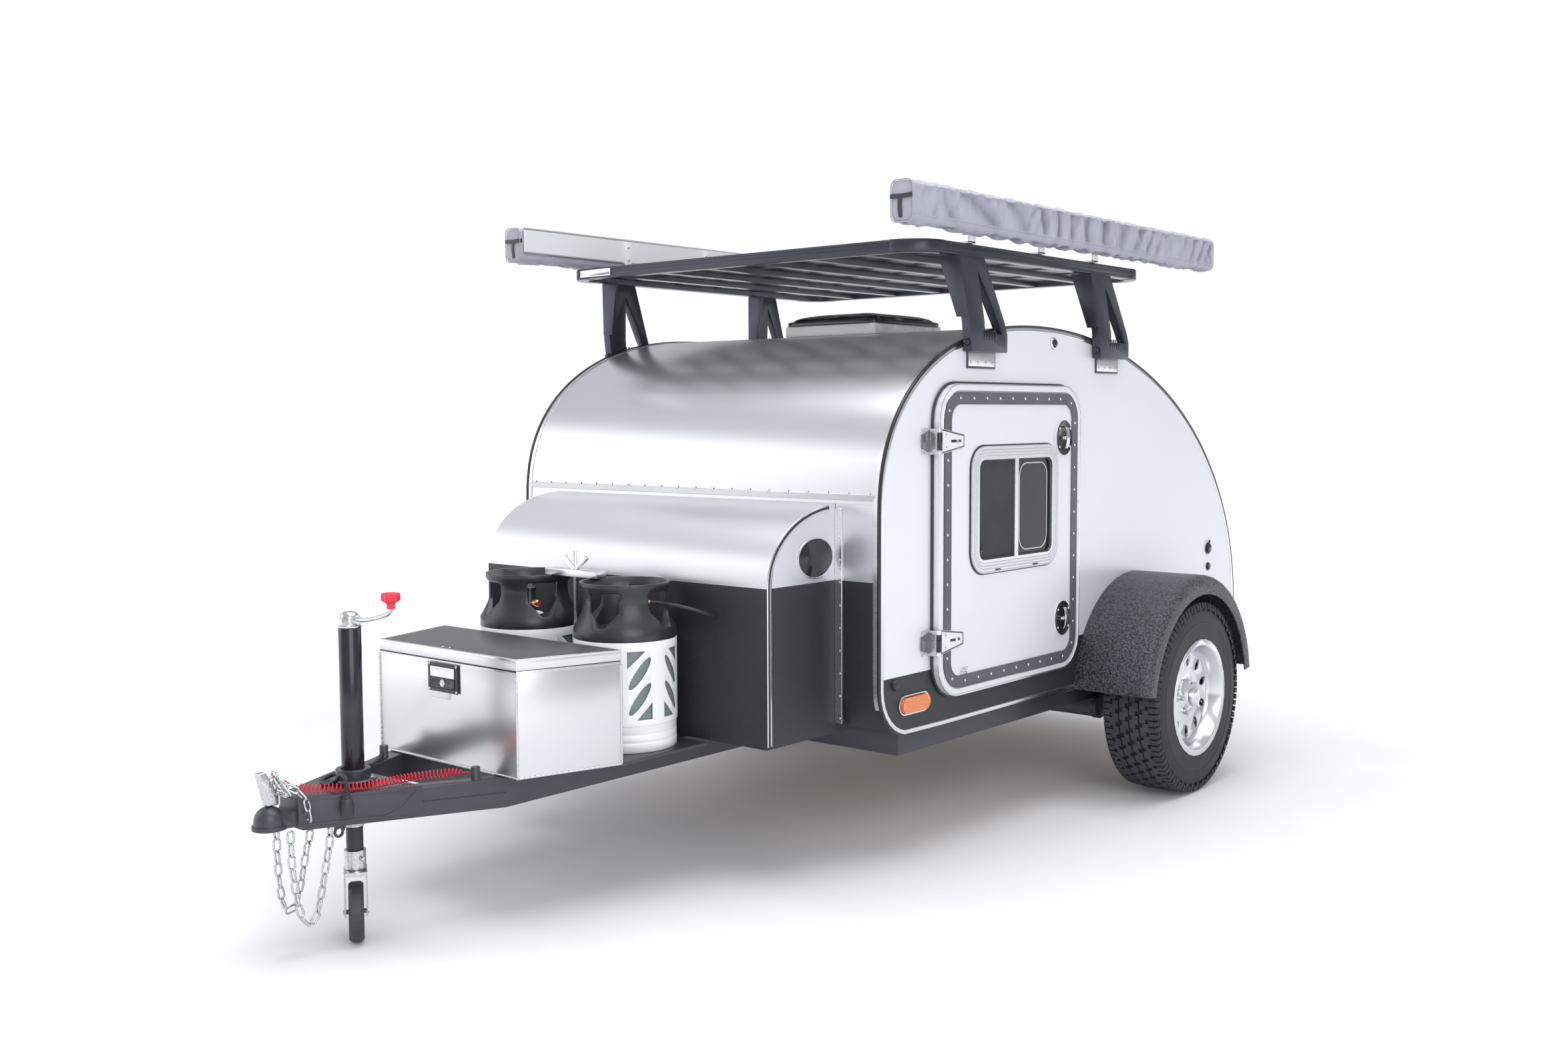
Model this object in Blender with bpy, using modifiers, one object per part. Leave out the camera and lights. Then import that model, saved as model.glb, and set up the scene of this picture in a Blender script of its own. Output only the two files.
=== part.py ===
"""A teardrop camping trailer on its wheels and its tongue jack.

Metres, +Z up, floor at z = 0. The coupler points to -Y and the galley hatch to +Y. The trailer's own left
side is +X.
"""

import math

import bmesh
import bpy
from mathutils import Matrix, Vector

# Whole trailer
TONGUE_REACH = 0.5752
SEAT_GAP = 0.0003
RUNNING_GAP = 0.006
CUT_OVERRUN = 0.020
SHARP_ANGLE = math.radians(35)

# Body: side profile and panels
BODY_LENGTH = 2.430
BODY_WIDTH = 1.524
BODY_TOP_Z = 1.620
NOSE_CURVE_Z = 1.050
APEX_SETBACK = 0.872
REAR_CURVE_Z = 0.570
FRONT_CURVE_POWER = 2.3
LOWER_CORNER_R = 0.150
REAR_CORNER_R = 0.050
WALL_T = 0.025
SKIN_T = 0.022
FLOOR_T = 0.030
SEAM_Z = 1.083
SILL_TOP_Z = 0.545
PROFILE_STEPS = 16
CORNER_STEPS = 5

# Galley at the rear
HATCH_SPLIT_ANGLE = math.radians(33)
COUNTER_Z = 0.900
COUNTER_DEPTH = 0.520
COUNTER_T = 0.018
HATCH_BEAD_R = 0.008
HATCH_HANDLE_W = 0.160
HATCH_HANDLE_D = 0.016

# Nose box
NOSE_DEPTH = 0.3065
NOSE_SIDE_INSET = 0.162
NOSE_CLEAR_Z = 0.010
NOSE_BEND_Z = 0.866
NOSE_WALL_T = 0.020
NOSE_PASS_HALF_W = 0.520
NOSE_PASS_LOW_Z = 0.580
NOSE_PASS_HIGH_Z = 0.980

# Doors
DOOR_FRONT_SETBACK = 0.256
DOOR_LENGTH = 0.845
DOOR_BASE_Z = 0.488
DOOR_TOP_Z = 1.433
DOOR_CORNER_R = 0.110
DOOR_LAP = 0.026
DOOR_LEAF_T = 0.018
DOOR_SEAL_T = 0.008
DOOR_BAND_W = 0.036
DOOR_BAND_T = 0.003
DOOR_PIVOT_OFFSET = 0.013
DOOR_PIVOT_R = 0.009
WINDOW_FRONT_SETBACK = 0.168
WINDOW_LENGTH = 0.520
WINDOW_BASE_Z = 0.850
WINDOW_TOP_Z = 1.243
WINDOW_CORNER_R = 0.070
WINDOW_FRAME_W = 0.030
WINDOW_LAND = 0.012
WINDOW_FRAME_PROUD = 0.008
WINDOW_BAR_W = 0.022
GLASS_T = 0.005
LATCH_LENGTH = 0.095
LATCH_HEIGHT = 0.115
LATCH_REAR_SETBACK = 0.118
LATCH_PROUD = 0.004
LATCH_TOP_DROP = 0.171
LATCH_BASE_RISE = 0.174

# Door hinges
HINGE_HEIGHT = 0.076
HINGE_PLATE_L = 0.040
HINGE_PLATE_T = 0.006
HINGE_STRAP_L = 0.140
HINGE_STRAP_T = 0.005
HINGE_TOP_DROP = 0.172
HINGE_BASE_RISE = 0.176

# Chassis
FRAME_TOP_Z = 0.400
RAIL_H = 0.076
RAIL_W = 0.051
TONGUE_HALF_W = 0.255
TONGUE_BEND_SETBACK = 0.570
TONGUE_ANGLE = math.radians(25)
TONGUE_TIP_HALF_W = 0.040
FRAME_SIDE_INSET = 0.062
FRAME_FRONT_INSET = 0.170
FRAME_REAR_INSET = 0.040
AXLE_BAR_SETBACK = 0.230
TRAY_T = 0.005
TRAY_MARGIN = 0.021

# Coupler
COUPLER_DOME_R = 0.037
COUPLER_FLANGE_R = 0.042
COUPLER_FLANGE_T = 0.010
COUPLER_BALL_R = 0.026
COUPLER_BALL_Z = 0.356
COUPLER_PLATE_T = 0.006
COUPLER_REACH = 0.370
COUPLER_BASE_Z = 0.336
LEVER_T = 0.022
LEVER_HEIGHT = 0.085

# Jack
JACK_SETBACK = 0.282
JACK_TUBE_R = 0.0285
JACK_BORE_R = 0.0252
SLIDING_GAP = 0.0006
JACK_GUIDE_H = 0.020
JACK_LEG_R = 0.0215
JACK_TUBE_BASE_Z = 0.300
JACK_TUBE_TOP_Z = 0.806
JACK_FLANGE_R = 0.058
JACK_FLANGE_T = 0.008
JACK_HEAD_R = 0.026
JACK_HEAD_H = 0.040
JACK_COLLAR_R = 0.027
JACK_COLLAR_H = 0.050
JACK_LEG_BASE_Z = 0.182
JACK_LEG_TOP_Z = 0.700
CRANK_REACH = 0.172
CRANK_R = 0.006
CRANK_RISE = 0.026
CRANK_KNOB_R = 0.024
CRANK_KNOB_H = 0.044
CASTER_R = 0.076
CASTER_W = 0.038
CASTER_TRAIL = 0.025
CASTER_TURN = math.radians(-34)
CASTER_PIN_R = 0.006
FORK_ARM_T = 0.004
FORK_ARM_HALF = 0.020
FORK_TOP_T = 0.010

# Tool box on the tongue
BOX_DEPTH = 0.291
BOX_FRONT_HALF_W = 0.296
BOX_REAR_HALF_W = 0.380
BOX_SEAM_Z = 0.684
BOX_TOP_Z = 0.714
BOX_WALL_T = 0.004
BOX_REAR_GAP = 0.036
BOX_LATCH_W = 0.085
BOX_LATCH_H = 0.090
BOX_LATCH_T = 0.004
BOX_LATCH_X = -0.020
BOX_LATCH_DROP = 0.060

# Gas bottles
BOTTLE_R = 0.147
BOTTLE_SPACING = 0.414
BOTTLE_REAR_GAP = 0.015
BOTTLE_SHELL_TOP_Z = 0.715
BOTTLE_FOOT_H = 0.022
BOTTLE_GROOVE_H = 0.008
BOTTLE_GROOVE_T = 0.003
COLLAR_TOP_Z = 0.872
COLLAR_RIM_R = 0.129
COLLAR_WAIST_R = 0.116
COLLAR_T = 0.007
COLLAR_RIM_H = 0.024
COLLAR_SLOT_HALF_W = 0.047
COLLAR_SLOT_H = 0.100
COLLAR_SLOT_WAIST_SHARE = 0.45
COLLAR_SLOT_FOOT_SHARE = 0.25
# Degrees that each collar's openings are turned by
COLLAR_TURNS = {"left": 15.0, "right": -19.5}
VALVE_R = 0.018
VALVE_H = 0.060
CLAMP_BAR_HALF_L = 0.110
CLAMP_BAR_HALF_W = 0.020
CLAMP_BAR_T = 0.020
CLAMP_ROD_R = 0.006
CLAMP_ROD_TOP_Z = 0.946
WING_SPAN = 0.055
WING_RISE = 0.034
WING_T = 0.010

# Wheels, axle and fenders
TYRE_R = 0.340
TYRE_W = 0.210
DOOR_FENDER_GAP = 0.006
WHEEL_OUTSET = 0.166
BEAD_R = 0.1905
RIM_FLANGE_R = 0.2075
RIM_W = 0.208
RIM_LIP_T = 0.0055
# (share of the flange's radius, share of the rim's half width), from the axis out and back in behind
RIM_FACE_SHARES = ((0.0, 0.74), (0.14, 0.74), (0.19, 0.60), (0.25, 0.52), (0.46, 0.52), (0.75, 0.56),
                   (0.81, 0.44),
                   (0.85, 0.60), (0.88, 0.96), (0.90, 1.0))
RIM_BACK_SHARES = ((0.88, -1.0), (0.83, -0.8), (0.79, 0.30), (0.67, 0.40))
# (share of the wall's height, share of the half width), from the bead to the tread
TYRE_WALL_SHARES = ((0.05, 0.985), (0.40, 1.0), (0.75, 0.96), (0.94, 0.85), (1.0, 0.70))
RIM_HOLE_COUNT = 10
RIM_HOLE_TURN_SHARE = 0.47
RIM_HOLE_PITCH_R = 0.128
RIM_HOLE_R = 0.014
RIM_HOLE_STRETCH = 1.6
WHEEL_STEPS = 30
LUG_COUNT = 30
LUG_GROOVE_W = 0.022
LUG_GROOVE_DEPTH = 0.014
LUG_REACH_SHARE = 0.58
TREAD_GROOVE_W = 0.014
TREAD_GROOVE_DEPTH = 0.008
TREAD_GROOVE_SHARES = (-0.26, 0.26)
SPINDLE_R = 0.016
DRUM_R = 0.128
AXLE_TUBE = 0.064
AXLE_SETBACK = 0.150
AXLE_ARM_T = 0.024
AXLE_ARM_R = 0.042
BACK_PLATE_R = 0.132
BACK_PLATE_T = 0.006
FENDER_R = 0.430
FENDER_T = 0.006
FENDER_REACH = 0.278
FENDER_LIP_H = 0.034
FENDER_EDGE_R = 0.030
FENDER_START_ANGLE = math.radians(8)
FENDER_STEPS = 20
ROUND_STEPS = 32

# Roof vent
VENT_SETBACK = 0.932
VENT_SIZE = 0.400
VENT_THROAT = 0.350
VENT_TOP_Z = 1.655
VENT_LID_SIZE = 0.412
VENT_LID_H = 0.048
VENT_LID_T = 0.005
VENT_LID_TAPER_SHARE = 0.78

# Roof rack
RACK_FRONT_SETBACK = -0.192
RACK_LENGTH = 1.410
RACK_SIDE_OVERHANG = 0.008
RACK_RAIL_W = 0.040
RACK_RAIL_H = 0.036
RACK_BASE_Z = 1.817
RACK_CORNER_R = 0.110
PLANK_COUNT = 6
PLANK_GAP = 0.058
PLANK_DROP = 0.004
PLANK_T = 0.014
BEARER_COUNT = 6
BEARER_W = 0.036
BEARER_H = 0.020
# (side, its word, places of the brackets as shares of the rack's length)
AWNING_BRACKETS = ((1, "left", (0.16, 0.45, 0.70)), (-1, "right", (0.22, 0.52, 0.80)))
LEG_FRONT_SETBACK = 0.325
LEG_REAR_SETBACK = 1.130
LEG_FOOT_HALF_L = 0.100
LEG_HEAD_L = 0.135
LEG_FORWARD = 0.088
LEG_BASE_Z = 1.530
LEG_T = 0.030
LEG_STRUT_W = 0.055
LEG_LEAN = 0.022
LEG_FLANGE_T = 0.006
LEG_FLANGE_TOP_W = 0.075
LEG_FLANGE_LOW_W = 0.043
LEG_FLANGE_RISE = 0.014
LEG_PLATE_H = 0.050
LEG_PLATE_HALF_L = 0.078
LEG_PLATE_T = 0.004

# Awnings
AWNING_LENGTH = 1.970
AWNING_FRONT_SETBACK = 0.002
AWNING_STANDOFF = 0.016
AWNING_DEPTH = 0.084
AWNING_BASE_Z = 1.868
AWNING_TOP_Z = 1.995
AWNING_CORNER_R = 0.018
BRACKET_W = 0.032
BRACKET_T = 0.005
BRACKET_FOOT = 0.034

# Lamps
TAIL_LAMP_DEPTH = 0.012
TAIL_LAMP_R = 0.052
TAIL_LAMP_INSET = 0.202
MARKER_LENGTH = 0.140
MARKER_HEIGHT = 0.046
MARKER_DEPTH = 0.014
MARKER_SETBACK = 0.165
MARKER_Z = 0.493

# Chains and cables
CHAIN_PITCH = 0.0275
CHAIN_LINK_L = 0.036
CHAIN_LINK_W = 0.019
CHAIN_LINK_T = 0.0062
COIL_R = 0.012
CABLE_R = 0.006
PLUG_R = 0.0165
PLUG_NECK_R = 0.009
ANCHOR_R = 0.012
ANCHOR_H = 0.034
ANCHOR_INSET = 0.055
ANCHOR_SETBACK = 0.055
PLUG_LENGTH = 0.060

# Places worked out from the sizes
LENGTH = (BODY_LENGTH + TAIL_LAMP_DEPTH + SEAT_GAP + NOSE_DEPTH + BOTTLE_REAR_GAP + BOTTLE_R * 2
          + BOX_REAR_GAP + BOX_DEPTH + TONGUE_REACH)
COUPLER_TIP_Y = -LENGTH / 2
BODY_REAR_Y = LENGTH / 2 - TAIL_LAMP_DEPTH - SEAT_GAP
BODY_FRONT_Y = BODY_REAR_Y - BODY_LENGTH
BODY_BASE_Z = FRAME_TOP_Z + SEAT_GAP
BODY_SIDE_X = BODY_WIDTH / 2
BODY_INNER_X = BODY_SIDE_X - WALL_T
NOSE_HALF_W = BODY_SIDE_X - NOSE_SIDE_INSET
FRAME_HALF_W = BODY_SIDE_X - FRAME_SIDE_INSET
TRAY_HALF_W = BOTTLE_SPACING / 2 + BOTTLE_R + TRAY_MARGIN
WHEEL_X = BODY_SIDE_X + WHEEL_OUTSET
FENDER_OUT_X = BODY_SIDE_X + FENDER_REACH
RACK_HALF_W = BODY_SIDE_X + RACK_SIDE_OVERHANG
AWNING_IN_X = RACK_HALF_W + AWNING_STANDOFF
AWNING_OUT_X = AWNING_IN_X + AWNING_DEPTH
TAIL_LAMP_X = BODY_SIDE_X - TAIL_LAMP_INSET
APEX_Y = BODY_FRONT_Y + APEX_SETBACK
FRAME_BASE_Z = FRAME_TOP_Z - RAIL_H
TONGUE_BEND_Y = COUPLER_TIP_Y + TONGUE_BEND_SETBACK
TONGUE_TIP_Y = TONGUE_BEND_Y - (TONGUE_HALF_W - TONGUE_TIP_HALF_W) / math.tan(TONGUE_ANGLE)
JACK_Y = COUPLER_TIP_Y + JACK_SETBACK
ANCHOR_X = TONGUE_HALF_W - ANCHOR_INSET
ANCHOR_Y = TONGUE_BEND_Y - ANCHOR_SETBACK
NOSE_FRONT_Y = BODY_FRONT_Y - NOSE_DEPTH
BOTTLE_Y = NOSE_FRONT_Y - BOTTLE_REAR_GAP - BOTTLE_R
BOTTLE_BASE_Z = FRAME_TOP_Z + TRAY_T + SEAT_GAP
BOX_REAR_Y = BOTTLE_Y - BOTTLE_R - BOX_REAR_GAP
BOX_FRONT_Y = BOX_REAR_Y - BOX_DEPTH
BOX_BASE_Z = FRAME_TOP_Z + SEAT_GAP
AXLE_Z = TYRE_R
DOOR_FRONT_Y = BODY_FRONT_Y + DOOR_FRONT_SETBACK
DOOR_REAR_Y = DOOR_FRONT_Y + DOOR_LENGTH
AXLE_Y = DOOR_REAR_Y + DOOR_FENDER_GAP + FENDER_R
DOOR_FACE_X = BODY_SIDE_X + DOOR_SEAL_T + DOOR_LEAF_T
DOOR_PIVOT_Y = DOOR_FRONT_Y - DOOR_PIVOT_OFFSET
DOOR_PIVOT_X = DOOR_FACE_X + DOOR_PIVOT_R
VENT_Y = BODY_FRONT_Y + VENT_SETBACK
RACK_FRONT_Y = BODY_FRONT_Y - RACK_FRONT_SETBACK
RACK_TOP_Z = RACK_BASE_Z + RACK_RAIL_H


def fresh_scene():
    for thing in list(bpy.data.objects):
        bpy.data.objects.remove(thing, do_unlink=True)
    shown = bpy.data.collections.new("teardrop_trailer")
    helpers = bpy.data.collections.new("cutters")
    bpy.context.scene.collection.children.link(shown)
    bpy.context.scene.collection.children.link(helpers)
    return shown, helpers


PARTS, CUTTERS = fresh_scene()


def finish(name, colour, roughness, metallic=0.0, alpha=1.0):
    """A Principled material by name."""
    made = bpy.data.materials.new(name)
    made.use_nodes = True
    shader = made.node_tree.nodes["Principled BSDF"]
    shader.inputs["Base Color"].default_value = (*colour, 1.0)
    shader.inputs["Roughness"].default_value = roughness
    shader.inputs["Metallic"].default_value = metallic
    shader.inputs["Alpha"].default_value = alpha
    return made


ALUMINIUM_SKIN = finish("aluminium_skin", (0.80, 0.81, 0.84), 0.32, 0.9)
SILVER_PANEL = finish("silver_panel", (0.72, 0.75, 0.80), 0.40, 0.6)
BLACK_LINER = finish("black_liner", (0.045, 0.047, 0.055), 0.75)
FRAME_PAINT = finish("frame_paint", (0.085, 0.090, 0.105), 0.50)
BRIGHT_ALUMINIUM = finish("bright_aluminium", (0.78, 0.79, 0.82), 0.30, 1.0)
ZINC = finish("zinc", (0.66, 0.68, 0.70), 0.35, 1.0)
BLACK_PLASTIC = finish("black_plastic", (0.030, 0.031, 0.036), 0.38)
BOTTLE_WHITE = finish("bottle_white", (0.84, 0.86, 0.88), 0.35)
POLISHED_RIM = finish("polished_rim", (0.86, 0.87, 0.89), 0.12, 1.0)
TYRE_RUBBER = finish("tyre_rubber", (0.030, 0.031, 0.034), 0.80)
RACK_BLACK = finish("rack_black", (0.060, 0.063, 0.072), 0.55)
AWNING_GREY = finish("awning_grey", (0.42, 0.44, 0.52), 0.70)
PLYWOOD = finish("plywood", (0.62, 0.48, 0.32), 0.60)
DARK_GLASS = finish("dark_glass", (0.020, 0.022, 0.026), 0.08, 0.0, 0.55)
AMBER_LENS = finish("amber_lens", (0.95, 0.42, 0.04), 0.20)
RED_LENS = finish("red_lens", (0.65, 0.02, 0.02), 0.20)
RED_CABLE = finish("red_cable", (0.75, 0.03, 0.05), 0.45)


def placed(thing, collection=PARTS):
    for old in list(thing.users_collection):
        old.objects.unlink(thing)
    collection.objects.link(thing)
    return thing


def dressed(thing, name, material):
    thing.name = name
    thing.data.name = name
    thing.data.materials.clear()
    thing.data.materials.append(material)
    return thing


def smooth(thing):
    thing.data.shade_smooth()
    thing.data.set_sharp_from_angle(angle=SHARP_ANGLE)
    return thing


def as_mesh(curve):
    """The curve's mesh as a new object in its place, with its caps welded on."""
    bpy.context.view_layer.update()
    graph = bpy.context.evaluated_depsgraph_get()
    mesh = bpy.data.meshes.new_from_object(curve.evaluated_get(graph))
    shape = bmesh.new()
    shape.from_mesh(mesh)
    bmesh.ops.remove_doubles(shape, verts=shape.verts, dist=SEAT_GAP / 10)
    bmesh.ops.recalc_face_normals(shape, faces=shape.faces)
    shape.to_mesh(mesh)
    shape.free()
    thing = placed(bpy.data.objects.new(curve.name, mesh))
    thing.matrix_world = curve.matrix_world.copy()
    bpy.data.objects.remove(curve, do_unlink=True)
    return thing


TURNS = {"x": (math.pi / 2, 0.0, math.pi / 2), "y": (math.pi / 2, 0.0, 0.0), "z": (0.0, 0.0, 0.0)}


def extruded(name, loops, axis, low, high, material):
    """A flat outline, its first loop, less the loops that follow, drawn out along an axis from low to high.

    The points are (y, z) for an extrusion along x, (x, z) along y and (x, y) along z.
    """
    curve = bpy.data.curves.new(name, "CURVE")
    curve.dimensions = "2D"
    curve.fill_mode = "BOTH"
    curve.extrude = abs(high - low) / 2
    for loop in loops:
        spline = curve.splines.new("POLY")
        spline.points.add(len(loop) - 1)
        for point, (u, v) in zip(spline.points, loop):
            point.co = (u, v, 0.0, 1.0)
        spline.use_cyclic_u = True
    thing = placed(bpy.data.objects.new(name, curve))
    thing.rotation_euler = TURNS[axis]
    middle = (low + high) / 2
    thing.location = [middle if letter == axis else 0.0 for letter in "xyz"]
    return smooth(dressed(as_mesh(thing), name, material))


def block(name, low, high, material):
    """A box between two corners."""
    loop = [(low[0], low[1]), (high[0], low[1]), (high[0], high[1]), (low[0], high[1])]
    return extruded(name, [loop], "z", low[2], high[2], material)


def turned(name, profile, place, aim, material, steps=ROUND_STEPS):
    """A profile of (radius, height) points, down the outer side, spun about the line through place."""
    mesh = bpy.data.meshes.new(name)
    points = [(radius, 0.0, height) for radius, height in profile]
    edges = [(i, i + 1) for i in range(len(points) - 1)]
    if profile[0][0] > 0 and profile[-1][0] > 0:
        edges.append((len(points) - 1, 0))
    mesh.from_pydata(points, edges, [])
    thing = placed(bpy.data.objects.new(name, mesh))
    thing.location = place
    thing.rotation_euler = {"z": (0.0, 0.0, 0.0), "x": (0.0, math.pi / 2, 0.0),
                            "-x": (0.0, -math.pi / 2, 0.0),
                            "y": (-math.pi / 2, 0.0, 0.0)}[aim]
    screw = thing.modifiers.new("spin", "SCREW")
    screw.steps = steps
    screw.render_steps = steps
    screw.use_merge_vertices = True
    screw.merge_threshold = SEAT_GAP / 10
    screw.use_smooth_shade = True
    return dressed(thing, name, material)


def rod(name, start, end, radius, material, steps=16):
    """A plain round bar between two points of one axis."""
    axis = max(range(3), key=lambda i: abs(end[i] - start[i]))
    length = abs(end[axis] - start[axis])
    middle = [(a + b) / 2 for a, b in zip(start, end)]
    profile = [(0.0, length / 2), (radius, length / 2), (radius, -length / 2), (0.0, -length / 2)]
    return turned(name, profile, middle, ("x", "y", "z")[axis], material, steps)


def tube(name, points, radius, material, resolution=2):
    """A round tube along a list of points."""
    curve = bpy.data.curves.new(name, "CURVE")
    curve.dimensions = "3D"
    curve.bevel_depth = radius
    curve.bevel_resolution = resolution
    curve.use_fill_caps = True
    spline = curve.splines.new("POLY")
    spline.points.add(len(points) - 1)
    for point, (x, y, z) in zip(spline.points, points):
        point.co = (x, y, z, 1.0)
    return smooth(dressed(as_mesh(placed(bpy.data.objects.new(name, curve))), name, material))


def helper(thing):
    placed(thing, CUTTERS)
    thing.hide_render = True
    thing.display_type = "WIRE"
    return thing


def shaped(thing, operation, others):
    for other in others:
        modifier = thing.modifiers.new(other.name, "BOOLEAN")
        modifier.operation = operation
        modifier.object = helper(other)
    return thing


def cut(thing, *others):
    return shaped(thing, "DIFFERENCE", others)


def join(thing, *others):
    return shaped(thing, "UNION", others)


def pivot(name, place, turn=0.0):
    """An empty on a joint's axis."""
    empty = placed(bpy.data.objects.new(name, None))
    empty.location = place
    empty.rotation_euler = (0.0, 0.0, turn)
    return empty


def carried(thing, empty):
    """Hangs a piece that stands in world coordinates on a joint's empty."""
    thing.parent = empty
    thing.matrix_parent_inverse = Matrix.Translation(-empty.location)
    return thing


def span(side, inner, outer):
    """Low and high x of a piece on one side of the trailer."""
    return sorted((side * inner, side * outer))


def arc(centre, radius, start, end, steps=CORNER_STEPS):
    """Points on an arc, with its angles in degrees."""
    angles = [math.radians(start + (end - start) * i / steps) for i in range(steps + 1)]
    return [(centre[0] + radius * math.cos(a), centre[1] + radius * math.sin(a)) for a in angles]


def rounded_box(low_u, low_v, high_u, high_v, radius):
    """A rectangle with round corners."""
    corners = ((high_u - radius, low_v + radius, -90), (high_u - radius, high_v - radius, 0),
               (low_u + radius, high_v - radius, 90), (low_u + radius, low_v + radius, 180))
    return [point for u, v, start in corners for point in arc((u, v), radius, start, start + 90)]


def offset(points, distance):
    """A line of points moved to its right-hand side."""
    moved = []
    for i, (u, v) in enumerate(points):
        before = points[max(i - 1, 0)]
        after = points[min(i + 1, len(points) - 1)]
        du, dv = after[0] - before[0], after[1] - before[1]
        length = math.hypot(du, dv)
        moved.append((u + dv / length * distance, v - du / length * distance))
    return moved


def front_curve(front_y, low_z, apex_y, apex_z, power, steps=PROFILE_STEPS):
    """A quarter of a superellipse from a vertical start up to a level end."""
    points = []
    for i in range(steps + 1):
        angle = math.pi / 2 * i / steps
        along = math.cos(angle) ** (2 / power) if i < steps else 0.0
        up = math.sin(angle) ** (2 / power) if i > 0 else 0.0
        points.append((apex_y - (apex_y - front_y) * along, low_z + (apex_z - low_z) * up))
    return points


def rear_point(angle):
    """A point of the rear quarter ellipse, from 0 at the apex to a right angle at the rear."""
    reach = BODY_REAR_Y - APEX_Y
    drop = BODY_TOP_Z - REAR_CURVE_Z
    return (APEX_Y + reach * math.sin(angle), REAR_CURVE_Z + drop * math.cos(angle))


def rear_curve(start, end, steps=PROFILE_STEPS):
    return [rear_point(start + (end - start) * i / steps) for i in range(steps + 1)]


LOWER_CORNER = arc((BODY_FRONT_Y + LOWER_CORNER_R, BODY_BASE_Z + LOWER_CORNER_R), LOWER_CORNER_R, -90, -180)
FRONT_CURVE = front_curve(BODY_FRONT_Y, NOSE_CURVE_Z, APEX_Y, BODY_TOP_Z, FRONT_CURVE_POWER)
REAR_CORNER = arc((BODY_REAR_Y - REAR_CORNER_R, BODY_BASE_Z + REAR_CORNER_R), REAR_CORNER_R, 0, -90)
HATCH_TOP = rear_point(HATCH_SPLIT_ANGLE)


def split_at_z(points, height):
    """The stretches of a rising line below and above a height, with the point between them in both."""
    for i in range(len(points) - 1):
        (u0, v0), (u1, v1) = points[i], points[i + 1]
        if v0 <= height <= v1:
            share = (height - v0) / (v1 - v0)
            middle = (u0 + (u1 - u0) * share, height)
            return points[: i + 1] + [middle], [middle] + points[i + 1:]
    raise ValueError("the line does not cross that height")


def bent_sheet(name, outer, thickness, half_width, material):
    """A panel bent along an outer line, its thickness inwards, across the trailer."""
    inner = offset(outer, thickness)
    return extruded(name, [outer + inner[::-1]], "x", -half_width, half_width, material)


def underside_at(points, y):
    """The height of a line of points at y."""
    for (y0, z0), (y1, z1) in zip(points, points[1:]):
        if y0 <= y <= y1:
            return z0 + (z1 - z0) * (y - y0) / (y1 - y0)
    raise ValueError("no point of the line at that y")


def door_outline(inset):
    return rounded_box(DOOR_FRONT_Y + inset, DOOR_BASE_Z + inset, DOOR_REAR_Y - inset, DOOR_TOP_Z - inset,
                       DOOR_CORNER_R - inset)


def window_outline(inset):
    front = DOOR_FRONT_Y + WINDOW_FRONT_SETBACK
    return rounded_box(front + inset, WINDOW_BASE_Z + inset, front + WINDOW_LENGTH - inset,
                       WINDOW_TOP_Z - inset,
                       WINDOW_CORNER_R - inset)


def make_side_walls():
    outline = LOWER_CORNER + FRONT_CURVE + rear_curve(0.0, math.pi / 2)[1:] + REAR_CORNER
    for side, word in ((1, "left"), (-1, "right")):
        low, high = span(side, BODY_INNER_X, BODY_SIDE_X)
        extruded(f"side_wall_{word}", [outline, door_outline(DOOR_LAP)], "x", low, high, SILVER_PANEL)


def make_skins():
    """The bent front panel, the roof panel and the galley hatch, between the side walls."""
    half = BODY_INNER_X - SEAT_GAP
    low_line, high_line = split_at_z(LOWER_CORNER + FRONT_CURVE, SEAM_Z)
    front = bent_sheet("front_panel", low_line, SKIN_T, half, ALUMINIUM_SKIN)
    passage = block("nose_passage", (-NOSE_PASS_HALF_W, BODY_FRONT_Y - CUT_OVERRUN, NOSE_PASS_LOW_Z),
                    (NOSE_PASS_HALF_W, BODY_FRONT_Y + SKIN_T + CUT_OVERRUN, NOSE_PASS_HIGH_Z),
                    ALUMINIUM_SKIN)
    cut(front, passage)
    start = [(high_line[0][0], high_line[0][1] + SEAT_GAP)]
    split = HATCH_SPLIT_ANGLE
    roof = bent_sheet("roof_panel", start + high_line[1:] + rear_curve(0.0, split)[1:], SKIN_T, half,
                      ALUMINIUM_SKIN)
    throat = VENT_THROAT / 2
    hole = block("vent_hole", (-throat, VENT_Y - throat, NOSE_CURVE_Z),
                 (throat, VENT_Y + throat, BODY_TOP_Z * 2),
                 ALUMINIUM_SKIN)
    groove = rod("hatch_groove", (-BODY_SIDE_X, *HATCH_TOP), (BODY_SIDE_X, *HATCH_TOP),
                 HATCH_BEAD_R + SLIDING_GAP, ALUMINIUM_SKIN, 24)
    cut(roof, hole, groove)


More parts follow.
